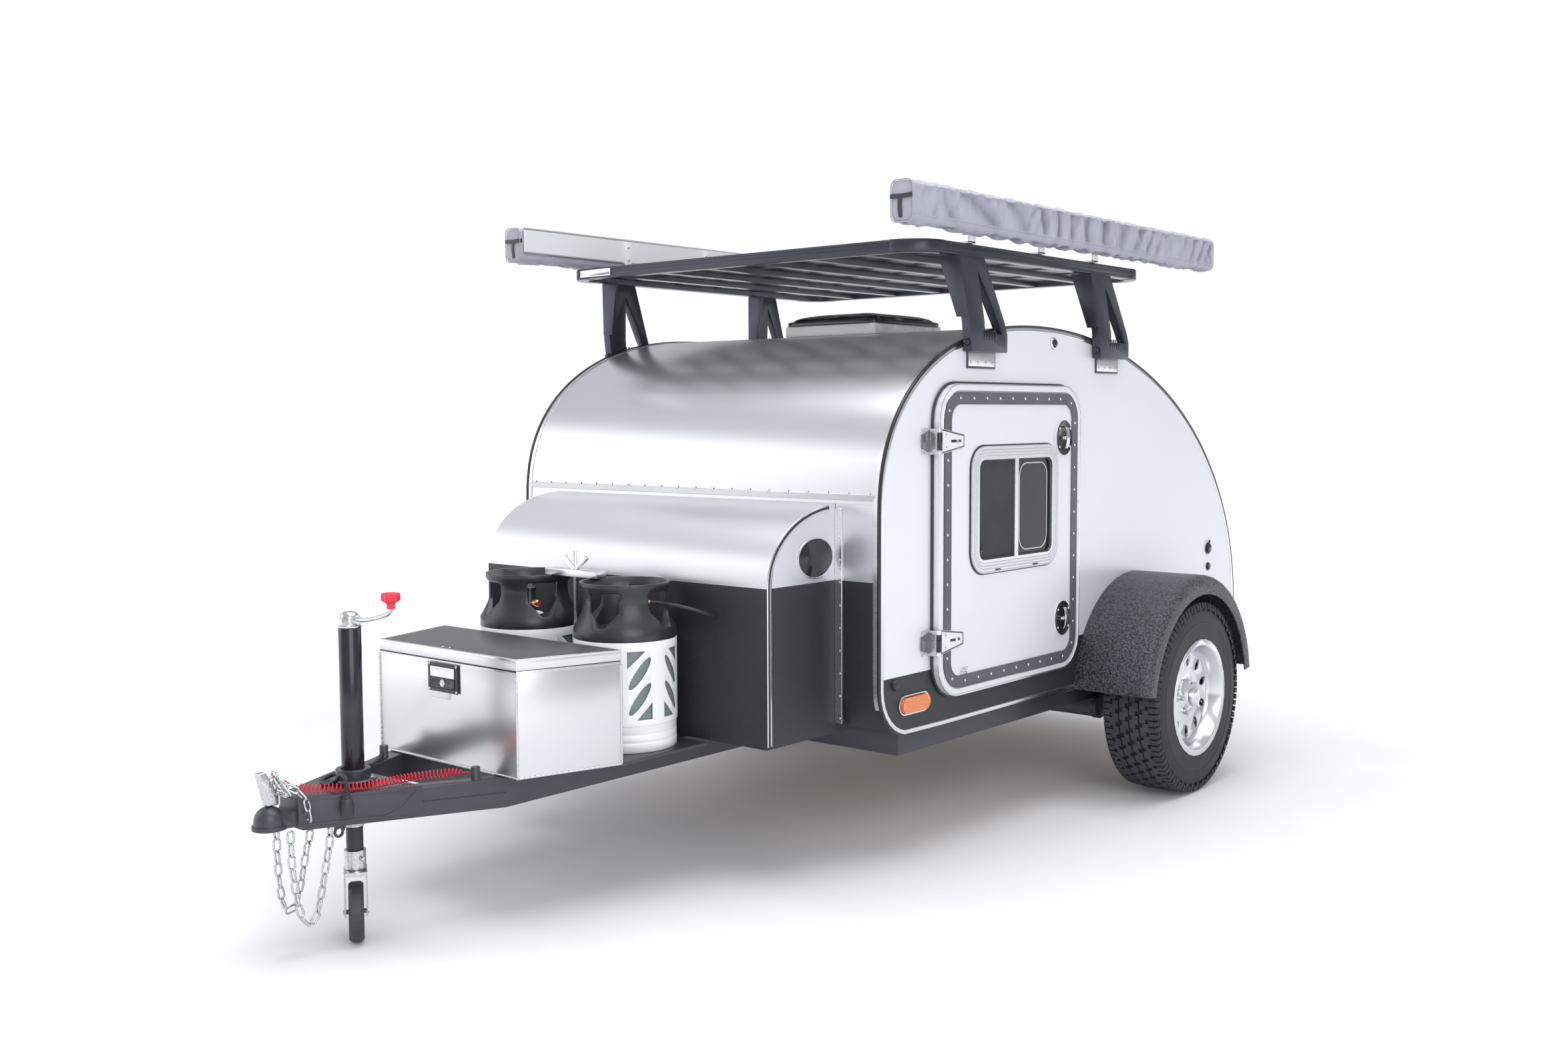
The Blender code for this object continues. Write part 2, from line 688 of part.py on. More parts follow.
def make_hatch():
    reach = BODY_REAR_Y - APEX_Y
    line = rear_curve(HATCH_SPLIT_ANGLE + RUNNING_GAP / reach, math.pi / 2)
    line.append((BODY_REAR_Y, SILL_TOP_Z + RUNNING_GAP))
    hatch = bent_sheet("galley_hatch", line, SKIN_T, BODY_INNER_X - RUNNING_GAP, ALUMINIUM_SKIN)
    handle = block("hatch_handle", (-HATCH_HANDLE_W / 2, BODY_REAR_Y - SKIN_T / 2, REAR_CURVE_Z),
                   (HATCH_HANDLE_W / 2, BODY_REAR_Y + TAIL_LAMP_DEPTH, REAR_CURVE_Z + HATCH_HANDLE_D),
                   BLACK_PLASTIC)
    half = BODY_INNER_X - RUNNING_GAP
    bead = rod("hatch_bead", (-half, *HATCH_TOP), (half, *HATCH_TOP), HATCH_BEAD_R, ALUMINIUM_SKIN)
    join(hatch, handle, bead)
    carried(hatch, pivot("hatch_pivot", (0.0, *HATCH_TOP)))


def make_inside():
    half = BODY_INNER_X - SEAT_GAP
    front = BODY_FRONT_Y + LOWER_CORNER_R + RUNNING_GAP
    rear = BODY_REAR_Y - WALL_T * 2 - SEAT_GAP
    block("floor", (-half, front, BODY_BASE_Z), (half, rear, BODY_BASE_Z + FLOOR_T), PLYWOOD)
    outline = REAR_CORNER[::-1] + [(BODY_REAR_Y, SILL_TOP_Z), (rear + SEAT_GAP, SILL_TOP_Z),
                                   (rear + SEAT_GAP, BODY_BASE_Z)]
    extruded("rear_sill", [outline], "x", -half, half, SILVER_PANEL)
    roof_line = offset(rear_curve(0.0, HATCH_SPLIT_ANGLE), SKIN_T)
    wall_y = roof_line[-2][0]
    wall_top = min(underside_at(roof_line, wall_y), underside_at(roof_line, wall_y - COUNTER_T))
    shelf_low = COUNTER_Z - COUNTER_T
    outline = [(wall_y - COUNTER_T, BODY_BASE_Z + FLOOR_T + SEAT_GAP),
               (wall_y, BODY_BASE_Z + FLOOR_T + SEAT_GAP),
               (wall_y, shelf_low), (wall_y + COUNTER_DEPTH, shelf_low), (wall_y + COUNTER_DEPTH, COUNTER_Z),
               (wall_y, COUNTER_Z), (wall_y, wall_top - SEAT_GAP), (wall_y - COUNTER_T, wall_top - SEAT_GAP)]
    extruded("galley_bulkhead", [outline], "x", -half, half, PLYWOOD)


def nose_outline(inset, overlap):
    """The nose box's side outline, its wall inset, with its open back run on by an overlap."""
    gap = SEAT_GAP - overlap
    base = FRAME_TOP_Z + NOSE_CLEAR_Z + inset
    back = BODY_FRONT_Y - gap
    corner = arc((BODY_FRONT_Y + LOWER_CORNER_R, BODY_BASE_Z + LOWER_CORNER_R), LOWER_CORNER_R + gap, -180,
                 -90)
    corner = [point for point in corner if point[1] > base]
    crown = front_curve(NOSE_FRONT_Y + inset, NOSE_BEND_Z, back, SEAM_Z - SEAT_GAP - inset, 2.0,
                        CORNER_STEPS * 2)
    return [(NOSE_FRONT_Y + inset, base)] + crown + corner + [(corner[-1][0], base)]


def make_nose_box():
    box = extruded("nose_box", [nose_outline(0.0, 0.0)], "x", -NOSE_HALF_W, NOSE_HALF_W, ALUMINIUM_SKIN)
    inner = NOSE_HALF_W - NOSE_WALL_T
    room = extruded("nose_room", [nose_outline(NOSE_WALL_T, CUT_OVERRUN)], "x", -inner, inner,
                    ALUMINIUM_SKIN)
    cut(box, room)


def make_doors():
    for side, word in ((1, "left"), (-1, "right")):
        low, high = span(side, BODY_SIDE_X + DOOR_SEAL_T, DOOR_FACE_X)
        leaf = extruded(f"door_{word}", [door_outline(0.0), window_outline(WINDOW_FRAME_W)], "x", low, high,
                        SILVER_PANEL)
        low, high = span(side, BODY_SIDE_X + SEAT_GAP, BODY_SIDE_X + DOOR_SEAL_T + SEAT_GAP)
        seal = extruded(f"door_seal_{word}", [door_outline(SEAT_GAP),
                                              door_outline(DOOR_LAP + RUNNING_GAP * 2)],
                        "x", low, high, BLACK_PLASTIC)
        low, high = span(side, BODY_INNER_X, BODY_SIDE_X + DOOR_SEAL_T + SEAT_GAP)
        plug = extruded(f"door_plug_{word}", [door_outline(DOOR_LAP + RUNNING_GAP),
                        window_outline(WINDOW_FRAME_W)], "x", low, high, SILVER_PANEL)
        low, high = span(side, DOOR_FACE_X - SEAT_GAP, DOOR_FACE_X + DOOR_BAND_T)
        band = extruded(f"door_band_{word}", [door_outline(DOOR_LAP), door_outline(DOOR_LAP + DOOR_BAND_W)],
                        "x", low, high, RACK_BLACK)
        pads = [door_hardware(side, word, row) for row in DOOR_HARDWARE]
        join(leaf, plug, seal, band, *pads)
        frame = window_frame(side, word)
        glass_low, glass_high = span(side, DOOR_FACE_X - DOOR_LEAF_T / 2,
                                     DOOR_FACE_X - DOOR_LEAF_T / 2 + GLASS_T)
        glass = extruded(f"door_glass_{word}", [window_outline(WINDOW_FRAME_W + WINDOW_LAND)], "x",
                         glass_low,
                         glass_high, DARK_GLASS)
        swing = pivot(f"door_pivot_{word}", (side * DOOR_PIVOT_X, DOOR_PIVOT_Y, DOOR_BASE_Z))
        for piece in (leaf, frame, glass):
            carried(piece, swing)
        for height, place in ((DOOR_TOP_Z - HINGE_TOP_DROP, "upper"),
                              (DOOR_BASE_Z + HINGE_BASE_RISE, "lower")):
            make_hinge(side, word, place, height)


DOOR_HARDWARE = (("latch", DOOR_TOP_Z - LATCH_TOP_DROP, "upper"),
                 ("latch", DOOR_BASE_Z + LATCH_BASE_RISE, "lower"),
                 ("strap", DOOR_TOP_Z - HINGE_TOP_DROP, "upper"),
                 ("strap", DOOR_BASE_Z + HINGE_BASE_RISE, "lower"))


def door_hardware(side, word, row):
    """A latch's oval face or a hinge's strap, standing on the door's outer face."""
    kind, height, place = row
    name = f"door_{kind}_{place}_{word}"
    if kind == "latch":
        centre = DOOR_REAR_Y - LATCH_REAR_SETBACK
        low, high = span(side, DOOR_FACE_X - SEAT_GAP, DOOR_FACE_X + LATCH_PROUD)
        outline = [(centre + (u - centre) * LATCH_LENGTH / LATCH_HEIGHT, v)
                   for u, v in arc((centre, height), LATCH_HEIGHT / 2, 0, 345, 23)]
        return extruded(name, [outline], "x", low, high, BLACK_PLASTIC)
    half = HINGE_HEIGHT / 2
    start = DOOR_FRONT_Y + HINGE_STRAP_T
    end = DOOR_PIVOT_Y + HINGE_STRAP_L
    low, high = span(side, DOOR_FACE_X - SEAT_GAP, DOOR_FACE_X + HINGE_STRAP_T)
    outline = [(start, height - half), (end, height - half / 2), (end, height + half / 2),
               (start, height + half)]
    return extruded(name, [outline], "x", low, high, ZINC)


def window_frame(side, word):
    """The window's outer frame with its middle bar, its spigot in the door's cut-out."""
    low, high = span(side, DOOR_FACE_X + SEAT_GAP, DOOR_FACE_X + WINDOW_FRAME_PROUD)
    frame = extruded(f"door_window_{word}", [window_outline(0.0),
                                             window_outline(WINDOW_FRAME_W + WINDOW_LAND)],
                     "x", low, high, BRIGHT_ALUMINIUM)
    spigot_x = DOOR_FACE_X - DOOR_LEAF_T / 2 + GLASS_T + SEAT_GAP
    low, high = span(side, spigot_x, DOOR_FACE_X + WINDOW_FRAME_PROUD / 2)
    spigot = extruded(f"window_spigot_{word}", [window_outline(WINDOW_FRAME_W + SEAT_GAP),
                      window_outline(WINDOW_FRAME_W + WINDOW_LAND * 0.8)], "x", low, high, BRIGHT_ALUMINIUM)
    middle = DOOR_FRONT_Y + WINDOW_FRONT_SETBACK + WINDOW_LENGTH / 2
    inset = WINDOW_FRAME_W + WINDOW_LAND / 2
    low, high = span(side, spigot_x + SEAT_GAP, DOOR_FACE_X + WINDOW_FRAME_PROUD * 0.8)
    half = WINDOW_BAR_W / 2
    bar = extruded(f"window_bar_{word}", [[(middle - half, WINDOW_BASE_Z + inset), (middle + half,
                   WINDOW_BASE_Z + inset), (middle + half, WINDOW_TOP_Z - inset), (middle - half,
                   WINDOW_TOP_Z - inset)]], "x", low, high, BRIGHT_ALUMINIUM)
    return join(frame, spigot, bar)


def make_hinge(side, word, place, height):
    """A hinge's wall plate and barrel, in front of the door's edge."""
    half = HINGE_HEIGHT / 2
    start = DOOR_PIVOT_Y - HINGE_PLATE_L
    low, high = span(side, BODY_SIDE_X + SEAT_GAP, BODY_SIDE_X + SEAT_GAP + HINGE_PLATE_T)
    end = DOOR_PIVOT_Y - DOOR_PIVOT_R / 2
    hinge = extruded(f"door_hinge_{place}_{word}", [[(start, height - half), (end, height - half),
                     (end, height + half), (start, height + half)]], "x", low, high, ZINC)
    low, high = span(side, BODY_SIDE_X + SEAT_GAP * 2, DOOR_PIVOT_X)
    web = extruded(f"hinge_web_{place}_{word}", [[(end - HINGE_PLATE_T, height - half), (end, height - half),
                   (end, height + half), (end - HINGE_PLATE_T, height + half)]], "x", low, high, ZINC)
    barrel = rod(f"hinge_barrel_{place}_{word}", (side * DOOR_PIVOT_X, DOOR_PIVOT_Y, height - half),
                 (side * DOOR_PIVOT_X, DOOR_PIVOT_Y, height + half), DOOR_PIVOT_R, ZINC)
    join(hinge, web, barrel)


def make_frame():
    """The tongue and the chassis as one welded frame of box section, with the bottle tray on it."""
    front = BODY_FRONT_Y + FRAME_FRONT_INSET
    rear = BODY_REAR_Y - FRAME_REAR_INSET
    half_outline = [(TONGUE_TIP_HALF_W, TONGUE_TIP_Y), (TONGUE_HALF_W, TONGUE_BEND_Y),
                    (TONGUE_HALF_W, front),
                    (FRAME_HALF_W, front + RUNNING_GAP), (FRAME_HALF_W, rear)]
    outline = half_outline + [(-x, y) for x, y in reversed(half_outline)]
    inner_half = TONGUE_HALF_W - RAIL_W
    slope = math.tan(TONGUE_ANGLE)
    inner_bend = TONGUE_BEND_Y + RAIL_W * math.tan(TONGUE_ANGLE / 2)
    bend_bar = inner_bend + RAIL_W
    blunt = RAIL_W / 4
    inner_tip = inner_bend - (inner_half - blunt) / slope
    loops = [outline, [(-blunt, inner_tip), (blunt, inner_tip), (inner_half, inner_bend),
                       (-inner_half, inner_bend)]]
    bars = (bend_bar, NOSE_FRONT_Y, front, AXLE_Y - AXLE_BAR_SETBACK, rear - RAIL_W)
    columns = ((-FRAME_HALF_W + RAIL_W, -TONGUE_HALF_W), (-inner_half, inner_half),
               (TONGUE_HALF_W, FRAME_HALF_W - RAIL_W))
    for i, (bar, next_bar) in enumerate(zip(bars, bars[1:])):
        start = bar if i == 0 else bar + RAIL_W
        for low, high in columns if i > 1 else columns[1:2]:
            end = next_bar - (RUNNING_GAP if next_bar == front else 0.0)
            loops.append([(low, start), (high, start), (high, end), (low, end)])
    frame = extruded("frame", loops, "z", FRAME_BASE_Z, FRAME_TOP_Z, FRAME_PAINT)
    tray = block("bottle_tray", (-TRAY_HALF_W, BOX_REAR_Y + RUNNING_GAP, FRAME_TOP_Z - TRAY_T),
                 (TRAY_HALF_W, NOSE_FRONT_Y - RUNNING_GAP, FRAME_TOP_Z + TRAY_T), FRAME_PAINT)
    anchors = [rod(f"cable_anchor_{i}", (side * ANCHOR_X, ANCHOR_Y, FRAME_TOP_Z - RUNNING_GAP),
                   (side * ANCHOR_X, ANCHOR_Y, FRAME_TOP_Z + ANCHOR_H), ANCHOR_R, FRAME_PAINT)
               for i, side in enumerate((-1, 1))]
    join(frame, tray, *anchors)


def tongue_half_width(y):
    return TONGUE_HALF_W - (TONGUE_BEND_Y - y) * math.tan(TONGUE_ANGLE)


def make_coupler():
    """The coupler's cover plate with side plates along the rails, its ball dome and open socket."""
    front = TONGUE_TIP_Y - COUPLER_PLATE_T * 2
    rear = COUPLER_TIP_Y + COUPLER_REACH
    wide = COUPLER_PLATE_T / math.cos(TONGUE_ANGLE)
    top = FRAME_TOP_Z + SEAT_GAP + COUPLER_PLATE_T
    outer = [(tongue_half_width(front) + wide, front), (tongue_half_width(rear) + wide, rear)]
    cover = extruded("coupler", [outer + [(-x, y) for x, y in reversed(outer)]], "z", COUPLER_BASE_Z, top,
                     FRAME_PAINT)
    gap = SEAT_GAP / math.cos(TONGUE_ANGLE)
    inner = [(TONGUE_TIP_HALF_W + gap, TONGUE_TIP_Y - SEAT_GAP), (tongue_half_width(rear) + gap, rear),
             (tongue_half_width(rear) + gap, rear + CUT_OVERRUN)]
    rails = extruded("coupler_rails", [inner + [(-x, y) for x, y in reversed(inner)]], "z",
                     COUPLER_BASE_Z - CUT_OVERRUN, FRAME_TOP_Z + SEAT_GAP, FRAME_PAINT)
    dome_y = COUPLER_TIP_Y + COUPLER_FLANGE_R
    neck = extruded("coupler_neck", [[(-COUPLER_DOME_R * 0.8, dome_y), (COUPLER_DOME_R * 0.8, dome_y),
                    (tongue_half_width(front), front + COUPLER_PLATE_T),
                    (-tongue_half_width(front), front + COUPLER_PLATE_T)]], "z", COUPLER_BASE_Z,
                    COUPLER_BALL_Z + COUPLER_DOME_R / 2, FRAME_PAINT)
    dome_top = [(COUPLER_DOME_R * math.cos(a), COUPLER_BALL_Z + COUPLER_DOME_R * math.sin(a))
                for a in (math.radians(90 - 15 * i) for i in range(7))]
    dome = turned("coupler_dome", [(0.0, dome_top[0][1])] + dome_top[1:]
                  + [(COUPLER_DOME_R, COUPLER_BASE_Z + COUPLER_FLANGE_T),
                     (COUPLER_FLANGE_R, COUPLER_BASE_Z + COUPLER_FLANGE_T),
                     (COUPLER_FLANGE_R, COUPLER_BASE_Z),
                     (0.0, COUPLER_BASE_Z)], (0.0, dome_y, 0.0), "z", FRAME_PAINT, 24)
    ball_top = [(COUPLER_BALL_R * math.cos(a), COUPLER_BALL_Z + COUPLER_BALL_R * math.sin(a))
                for a in (math.radians(90 - 15 * i) for i in range(7))]
    socket = turned("coupler_socket", [(0.0, ball_top[0][1])] + ball_top[1:]
                    + [(COUPLER_BALL_R, COUPLER_BASE_Z - CUT_OVERRUN), (0.0, COUPLER_BASE_Z - CUT_OVERRUN)],
                    (0.0, dome_y, 0.0), "z", FRAME_PAINT, 20)
    jack_hole = rod("coupler_jack_hole", (0.0, JACK_Y, FRAME_TOP_Z - CUT_OVERRUN),
                    (0.0, JACK_Y, top + CUT_OVERRUN),
                    JACK_TUBE_R + SEAT_GAP * 2, FRAME_PAINT, 24)
    cut(cover, rails)
    join(cover, neck, dome)
    cut(cover, socket, jack_hole)
    low_z = COUPLER_BALL_Z + COUPLER_DOME_R + SEAT_GAP
    lever = [(dome_y - LEVER_T / 2, low_z), (dome_y + LEVER_T, low_z), (dome_y + LEVER_T, low_z + LEVER_T),
             (dome_y - LEVER_T / 2, low_z + LEVER_HEIGHT), (dome_y - LEVER_T * 1.4, low_z + LEVER_HEIGHT)]
    extruded("coupler_lever", [lever], "x", -LEVER_T / 2, LEVER_T / 2, ZINC)


def make_jack():
    flange_base = FRAME_TOP_Z + COUPLER_PLATE_T + SEAT_GAP * 2
    turned("jack_tube", [(JACK_TUBE_R, JACK_TUBE_TOP_Z), (JACK_TUBE_R, flange_base + JACK_FLANGE_T),
           (JACK_FLANGE_R, flange_base + JACK_FLANGE_T), (JACK_FLANGE_R, flange_base),
           (JACK_TUBE_R, flange_base), (JACK_TUBE_R, JACK_TUBE_BASE_Z),
           (JACK_LEG_R + SLIDING_GAP, JACK_TUBE_BASE_Z),
           (JACK_LEG_R + SLIDING_GAP, JACK_TUBE_BASE_Z + JACK_GUIDE_H),
           (JACK_BORE_R, JACK_TUBE_BASE_Z + JACK_GUIDE_H), (JACK_BORE_R, JACK_TUBE_TOP_Z)],
           (0.0, JACK_Y, 0.0), "z", BLACK_PLASTIC, 20)
    base = JACK_TUBE_TOP_Z + SEAT_GAP
    head = turned("jack_head", [(0.0, base + JACK_HEAD_H), (JACK_HEAD_R * 0.7, base + JACK_HEAD_H),
                  (JACK_HEAD_R, base + JACK_HEAD_H * 0.7), (JACK_HEAD_R, base + JACK_HEAD_H * 0.3),
                  (JACK_TUBE_R, base + JACK_HEAD_H * 0.2), (JACK_TUBE_R, base), (0.0, base)],
                  (0.0, JACK_Y, 0.0), "z", ZINC, 24)
    arm_z = base + JACK_HEAD_H / 2
    arm = tube("crank_arm", [(0.0, JACK_Y, arm_z), (JACK_HEAD_R * 2, JACK_Y, arm_z),
               (CRANK_REACH - CRANK_R, JACK_Y, arm_z + CRANK_RISE),
               (CRANK_REACH + CRANK_R, JACK_Y, arm_z + CRANK_RISE + CRANK_R * 2),
               (CRANK_REACH + CRANK_R, JACK_Y, arm_z + CRANK_RISE + CRANK_KNOB_H)], CRANK_R, ZINC)
    knob_z = arm_z + CRANK_RISE + CRANK_R * 2
    knob = turned("crank_knob", [(0.0, knob_z + CRANK_KNOB_H), (CRANK_KNOB_R, knob_z + CRANK_KNOB_H),
                  (CRANK_KNOB_R, knob_z + CRANK_KNOB_H * 0.6),
                  (CRANK_KNOB_R / 2, knob_z + CRANK_KNOB_H * 0.4),
                  (CRANK_KNOB_R / 2, knob_z), (0.0, knob_z)], (CRANK_REACH + CRANK_R, JACK_Y, 0.0), "z",
                  RED_CABLE, 16)
    join(head, arm, knob)
    slide = pivot("jack_slide", (0.0, JACK_Y, JACK_LEG_BASE_Z))
    leg = turned("jack_leg", [(0.0, JACK_LEG_TOP_Z), (JACK_LEG_R, JACK_LEG_TOP_Z),
                 (JACK_LEG_R, JACK_LEG_BASE_Z + JACK_COLLAR_H),
                 (JACK_COLLAR_R, JACK_LEG_BASE_Z + JACK_COLLAR_H),
                 (JACK_COLLAR_R, JACK_LEG_BASE_Z), (0.0, JACK_LEG_BASE_Z)], (0.0, JACK_Y, 0.0), "z",
                 BLACK_PLASTIC, 24)
    carried(leg, slide)
    make_caster()


def make_caster():
    """The jack's fork and wheel, made in the fork's own frame: its trail along x and its pin along y."""
    swivel = pivot("caster_swivel", (0.0, JACK_Y, 0.0), CASTER_TURN)
    top = JACK_LEG_BASE_Z - SEAT_GAP
    inner = CASTER_W / 2 + RUNNING_GAP
    outer = inner + FORK_ARM_T
    fork = block("jack_fork", (-JACK_COLLAR_R, -outer, top - FORK_TOP_T),
                 (CASTER_TRAIL + FORK_ARM_HALF, outer, top), ZINC)
    arm = [(-JACK_COLLAR_R, top - FORK_TOP_T / 2),
           (CASTER_TRAIL - FORK_ARM_HALF / 2, CASTER_R - CASTER_PIN_R * 2),
           (CASTER_TRAIL + FORK_ARM_HALF / 2, CASTER_R - CASTER_PIN_R * 2),
           (CASTER_TRAIL + FORK_ARM_HALF, top - FORK_TOP_T / 2)]
    arms = [extruded(f"fork_arm_{word}", [arm], "y", *span(side, inner, outer), ZINC)
            for side, word in ((1, "a"), (-1, "b"))]
    pin = rod("fork_pin", (CASTER_TRAIL, -outer - FORK_ARM_T, CASTER_R),
              (CASTER_TRAIL, outer + FORK_ARM_T, CASTER_R), CASTER_PIN_R, ZINC, 12)
    join(fork, *arms, pin)
    bore = CASTER_PIN_R + SEAT_GAP * 3
    edge = CASTER_W / 2
    wheel = turned("jack_wheel", [(CASTER_R * 0.92, edge), (CASTER_R, edge * 0.6), (CASTER_R, -edge * 0.6),
                   (CASTER_R * 0.92, -edge), (bore, -edge), (bore, edge)], (CASTER_TRAIL, 0.0, CASTER_R),
                   "y", TYRE_RUBBER, 28)
    for thing in (fork, *arms, pin, wheel):
        thing.parent = swivel


def make_toolbox():
    def plan(inset):
        slope = (BOX_REAR_HALF_W - BOX_FRONT_HALF_W) / BOX_DEPTH
        half = [(BOX_FRONT_HALF_W - inset, BOX_FRONT_Y + inset), (BOX_REAR_HALF_W - inset - slope * inset,
                BOX_REAR_Y - inset)]
        return half + [(-x, y) for x, y in reversed(half)]

    box = extruded("toolbox", [plan(0.0)], "z", BOX_BASE_Z, BOX_SEAM_Z, BRIGHT_ALUMINIUM)
    room = extruded("toolbox_room", [plan(BOX_WALL_T)], "z", BOX_BASE_Z + BOX_WALL_T,
                    BOX_SEAM_Z + CUT_OVERRUN,
                    BRIGHT_ALUMINIUM)
    latch_top = BOX_SEAM_Z - BOX_LATCH_DROP + BOX_LATCH_H / 2
    latch = block("toolbox_latch", (BOX_LATCH_X - BOX_LATCH_W / 2, BOX_FRONT_Y - BOX_LATCH_T,
                  latch_top - BOX_LATCH_H), (BOX_LATCH_X + BOX_LATCH_W / 2, BOX_FRONT_Y + BOX_WALL_T / 2,
                  latch_top), BLACK_PLASTIC)
    cut(box, room)
    join(box, latch)
    lid = extruded("toolbox_lid", [plan(0.0)], "z", BOX_SEAM_Z + SEAT_GAP, BOX_TOP_Z, BRIGHT_ALUMINIUM)
    hollow = extruded("lid_hollow", [plan(BOX_WALL_T)], "z", BOX_SEAM_Z - CUT_OVERRUN,
                      BOX_TOP_Z - BOX_WALL_T,
                      BRIGHT_ALUMINIUM)
    cut(lid, hollow)
    carried(lid, pivot("lid_pivot", (0.0, BOX_REAR_Y, BOX_SEAM_Z)))


def make_bottles():
    half = BOTTLE_SPACING / 2
    height = BOTTLE_SHELL_TOP_Z - BOTTLE_BASE_Z
    for side, word in ((1, "left"), (-1, "right")):
        place = (side * half, BOTTLE_Y, 0.0)
        foot = BOTTLE_BASE_Z + BOTTLE_FOOT_H
        groove = foot + BOTTLE_GROOVE_H
        turned(f"bottle_{word}", [(0.0, BOTTLE_SHELL_TOP_Z), (BOTTLE_R, BOTTLE_SHELL_TOP_Z),
               (BOTTLE_R, BOTTLE_BASE_Z + height * 0.24),
               (BOTTLE_R - BOTTLE_GROOVE_T, BOTTLE_BASE_Z + height * 0.2),
               (BOTTLE_R - BOTTLE_GROOVE_T, groove), (BOTTLE_R - BOTTLE_GROOVE_T * 2, groove),
               (BOTTLE_R - BOTTLE_GROOVE_T * 2, foot), (BOTTLE_R - BOTTLE_GROOVE_T, foot),
               (BOTTLE_R - BOTTLE_GROOVE_T * 2, BOTTLE_BASE_Z), (0.0, BOTTLE_BASE_Z)], place, "z",
               BOTTLE_WHITE)
        base = BOTTLE_SHELL_TOP_Z + SEAT_GAP
        rise = COLLAR_TOP_Z - base
        outer = [(COLLAR_RIM_R, COLLAR_TOP_Z), (COLLAR_RIM_R, COLLAR_TOP_Z - COLLAR_T * 2),
                 (COLLAR_WAIST_R, base + rise * 0.80), (COLLAR_WAIST_R, base + rise * 0.62),
                 (COLLAR_WAIST_R + COLLAR_T, base + rise * 0.45),
                 (BOTTLE_R - COLLAR_T * 1.5, base + rise * 0.27),
                 (BOTTLE_R, base + rise * 0.17), (BOTTLE_R, base)]
        inner = [(0.0, base), (0.0, base + rise * 0.17), (COLLAR_WAIST_R * 0.6, base + rise * 0.15),
                 (COLLAR_WAIST_R - COLLAR_T, base + rise * 0.12),
                 (COLLAR_WAIST_R - COLLAR_T, base + rise * 0.8),
                 (COLLAR_RIM_R - COLLAR_T, COLLAR_TOP_Z)]
        collar = turned_ring(f"bottle_collar_{word}", outer, inner, place, BLACK_PLASTIC)
        slots = []
        slot_top = COLLAR_TOP_Z - COLLAR_RIM_H
        slot_base = slot_top - COLLAR_SLOT_H
        for turn in (COLLAR_TURNS[word], COLLAR_TURNS[word] + 90):
            waist = slot_base + COLLAR_SLOT_H * COLLAR_SLOT_WAIST_SHARE
            foot = COLLAR_SLOT_HALF_W * COLLAR_SLOT_FOOT_SHARE
            kite = [(foot, slot_base), (COLLAR_SLOT_HALF_W, waist), (COLLAR_SLOT_HALF_W, slot_top)]
            kite += [(-u, v) for u, v in reversed(kite)]
            slot = extruded(f"collar_slot_{word}_{turn}", [kite], "y", -BOTTLE_R * 2, BOTTLE_R * 2,
                            BLACK_PLASTIC)
            about = Matrix.Rotation(math.radians(turn), 4, "Z")
            slot.matrix_basis = Matrix.Translation(place) @ about @ slot.matrix_basis
            slots.append(slot)
        valve = rod(f"bottle_valve_{word}", (place[0], place[1], base + rise * 0.1),
                    (place[0], place[1], base + rise * 0.34 + VALVE_H), VALVE_R, BLACK_PLASTIC)
        cut(collar, *slots)
        join(collar, valve)
    make_clamp()


def turned_ring(name, outer, inner, place, material):
    """A turned cup: its outer side down to the base, then from the axis up its inner side to the rim."""
    mesh = bpy.data.meshes.new(name)
    down = [(radius, 0.0, height) for radius, height in outer + inner[:1]]
    up = [(radius, 0.0, height) for radius, height in inner[1:]]
    edges = [(i, i + 1) for i in range(len(down) - 1)]
    edges += [(len(down) + i, len(down) + i + 1) for i in range(len(up) - 1)]
    edges.append((len(down) + len(up) - 1, 0))
    mesh.from_pydata(down + up, edges, [])
    thing = placed(bpy.data.objects.new(name, mesh))
    thing.location = place
    screw = thing.modifiers.new("spin", "SCREW")
    screw.steps = ROUND_STEPS
    screw.render_steps = ROUND_STEPS
    screw.use_merge_vertices = True
    screw.merge_threshold = SEAT_GAP / 10
    screw.use_smooth_shade = True
    return dressed(thing, name, material)


def make_clamp():
    base = COLLAR_TOP_Z + SEAT_GAP
    clamp = block("bottle_clamp", (-CLAMP_BAR_HALF_L, BOTTLE_Y - CLAMP_BAR_HALF_W, base),
                  (CLAMP_BAR_HALF_L, BOTTLE_Y + CLAMP_BAR_HALF_W, base + CLAMP_BAR_T), BRIGHT_ALUMINIUM)
    stem = rod("clamp_rod", (0.0, BOTTLE_Y, BOTTLE_BASE_Z), (0.0, BOTTLE_Y, CLAMP_ROD_TOP_Z), CLAMP_ROD_R,
               ZINC, 12)
    top = base + CLAMP_BAR_T
    half = CLAMP_ROD_R * 2
    wings = [(-half, top - SEAT_GAP), (half, top - SEAT_GAP), (WING_SPAN, top + WING_RISE),
             (WING_SPAN - half, top + WING_RISE + half / 2), (half, top + half), (-half, top + half),
             (half - WING_SPAN, top + WING_RISE + half / 2), (-WING_SPAN, top + WING_RISE)]
    nut = extruded("clamp_wing_nut", [wings], "y", BOTTLE_Y - WING_T / 2, BOTTLE_Y + WING_T / 2, ZINC)
    join(clamp, stem, nut)


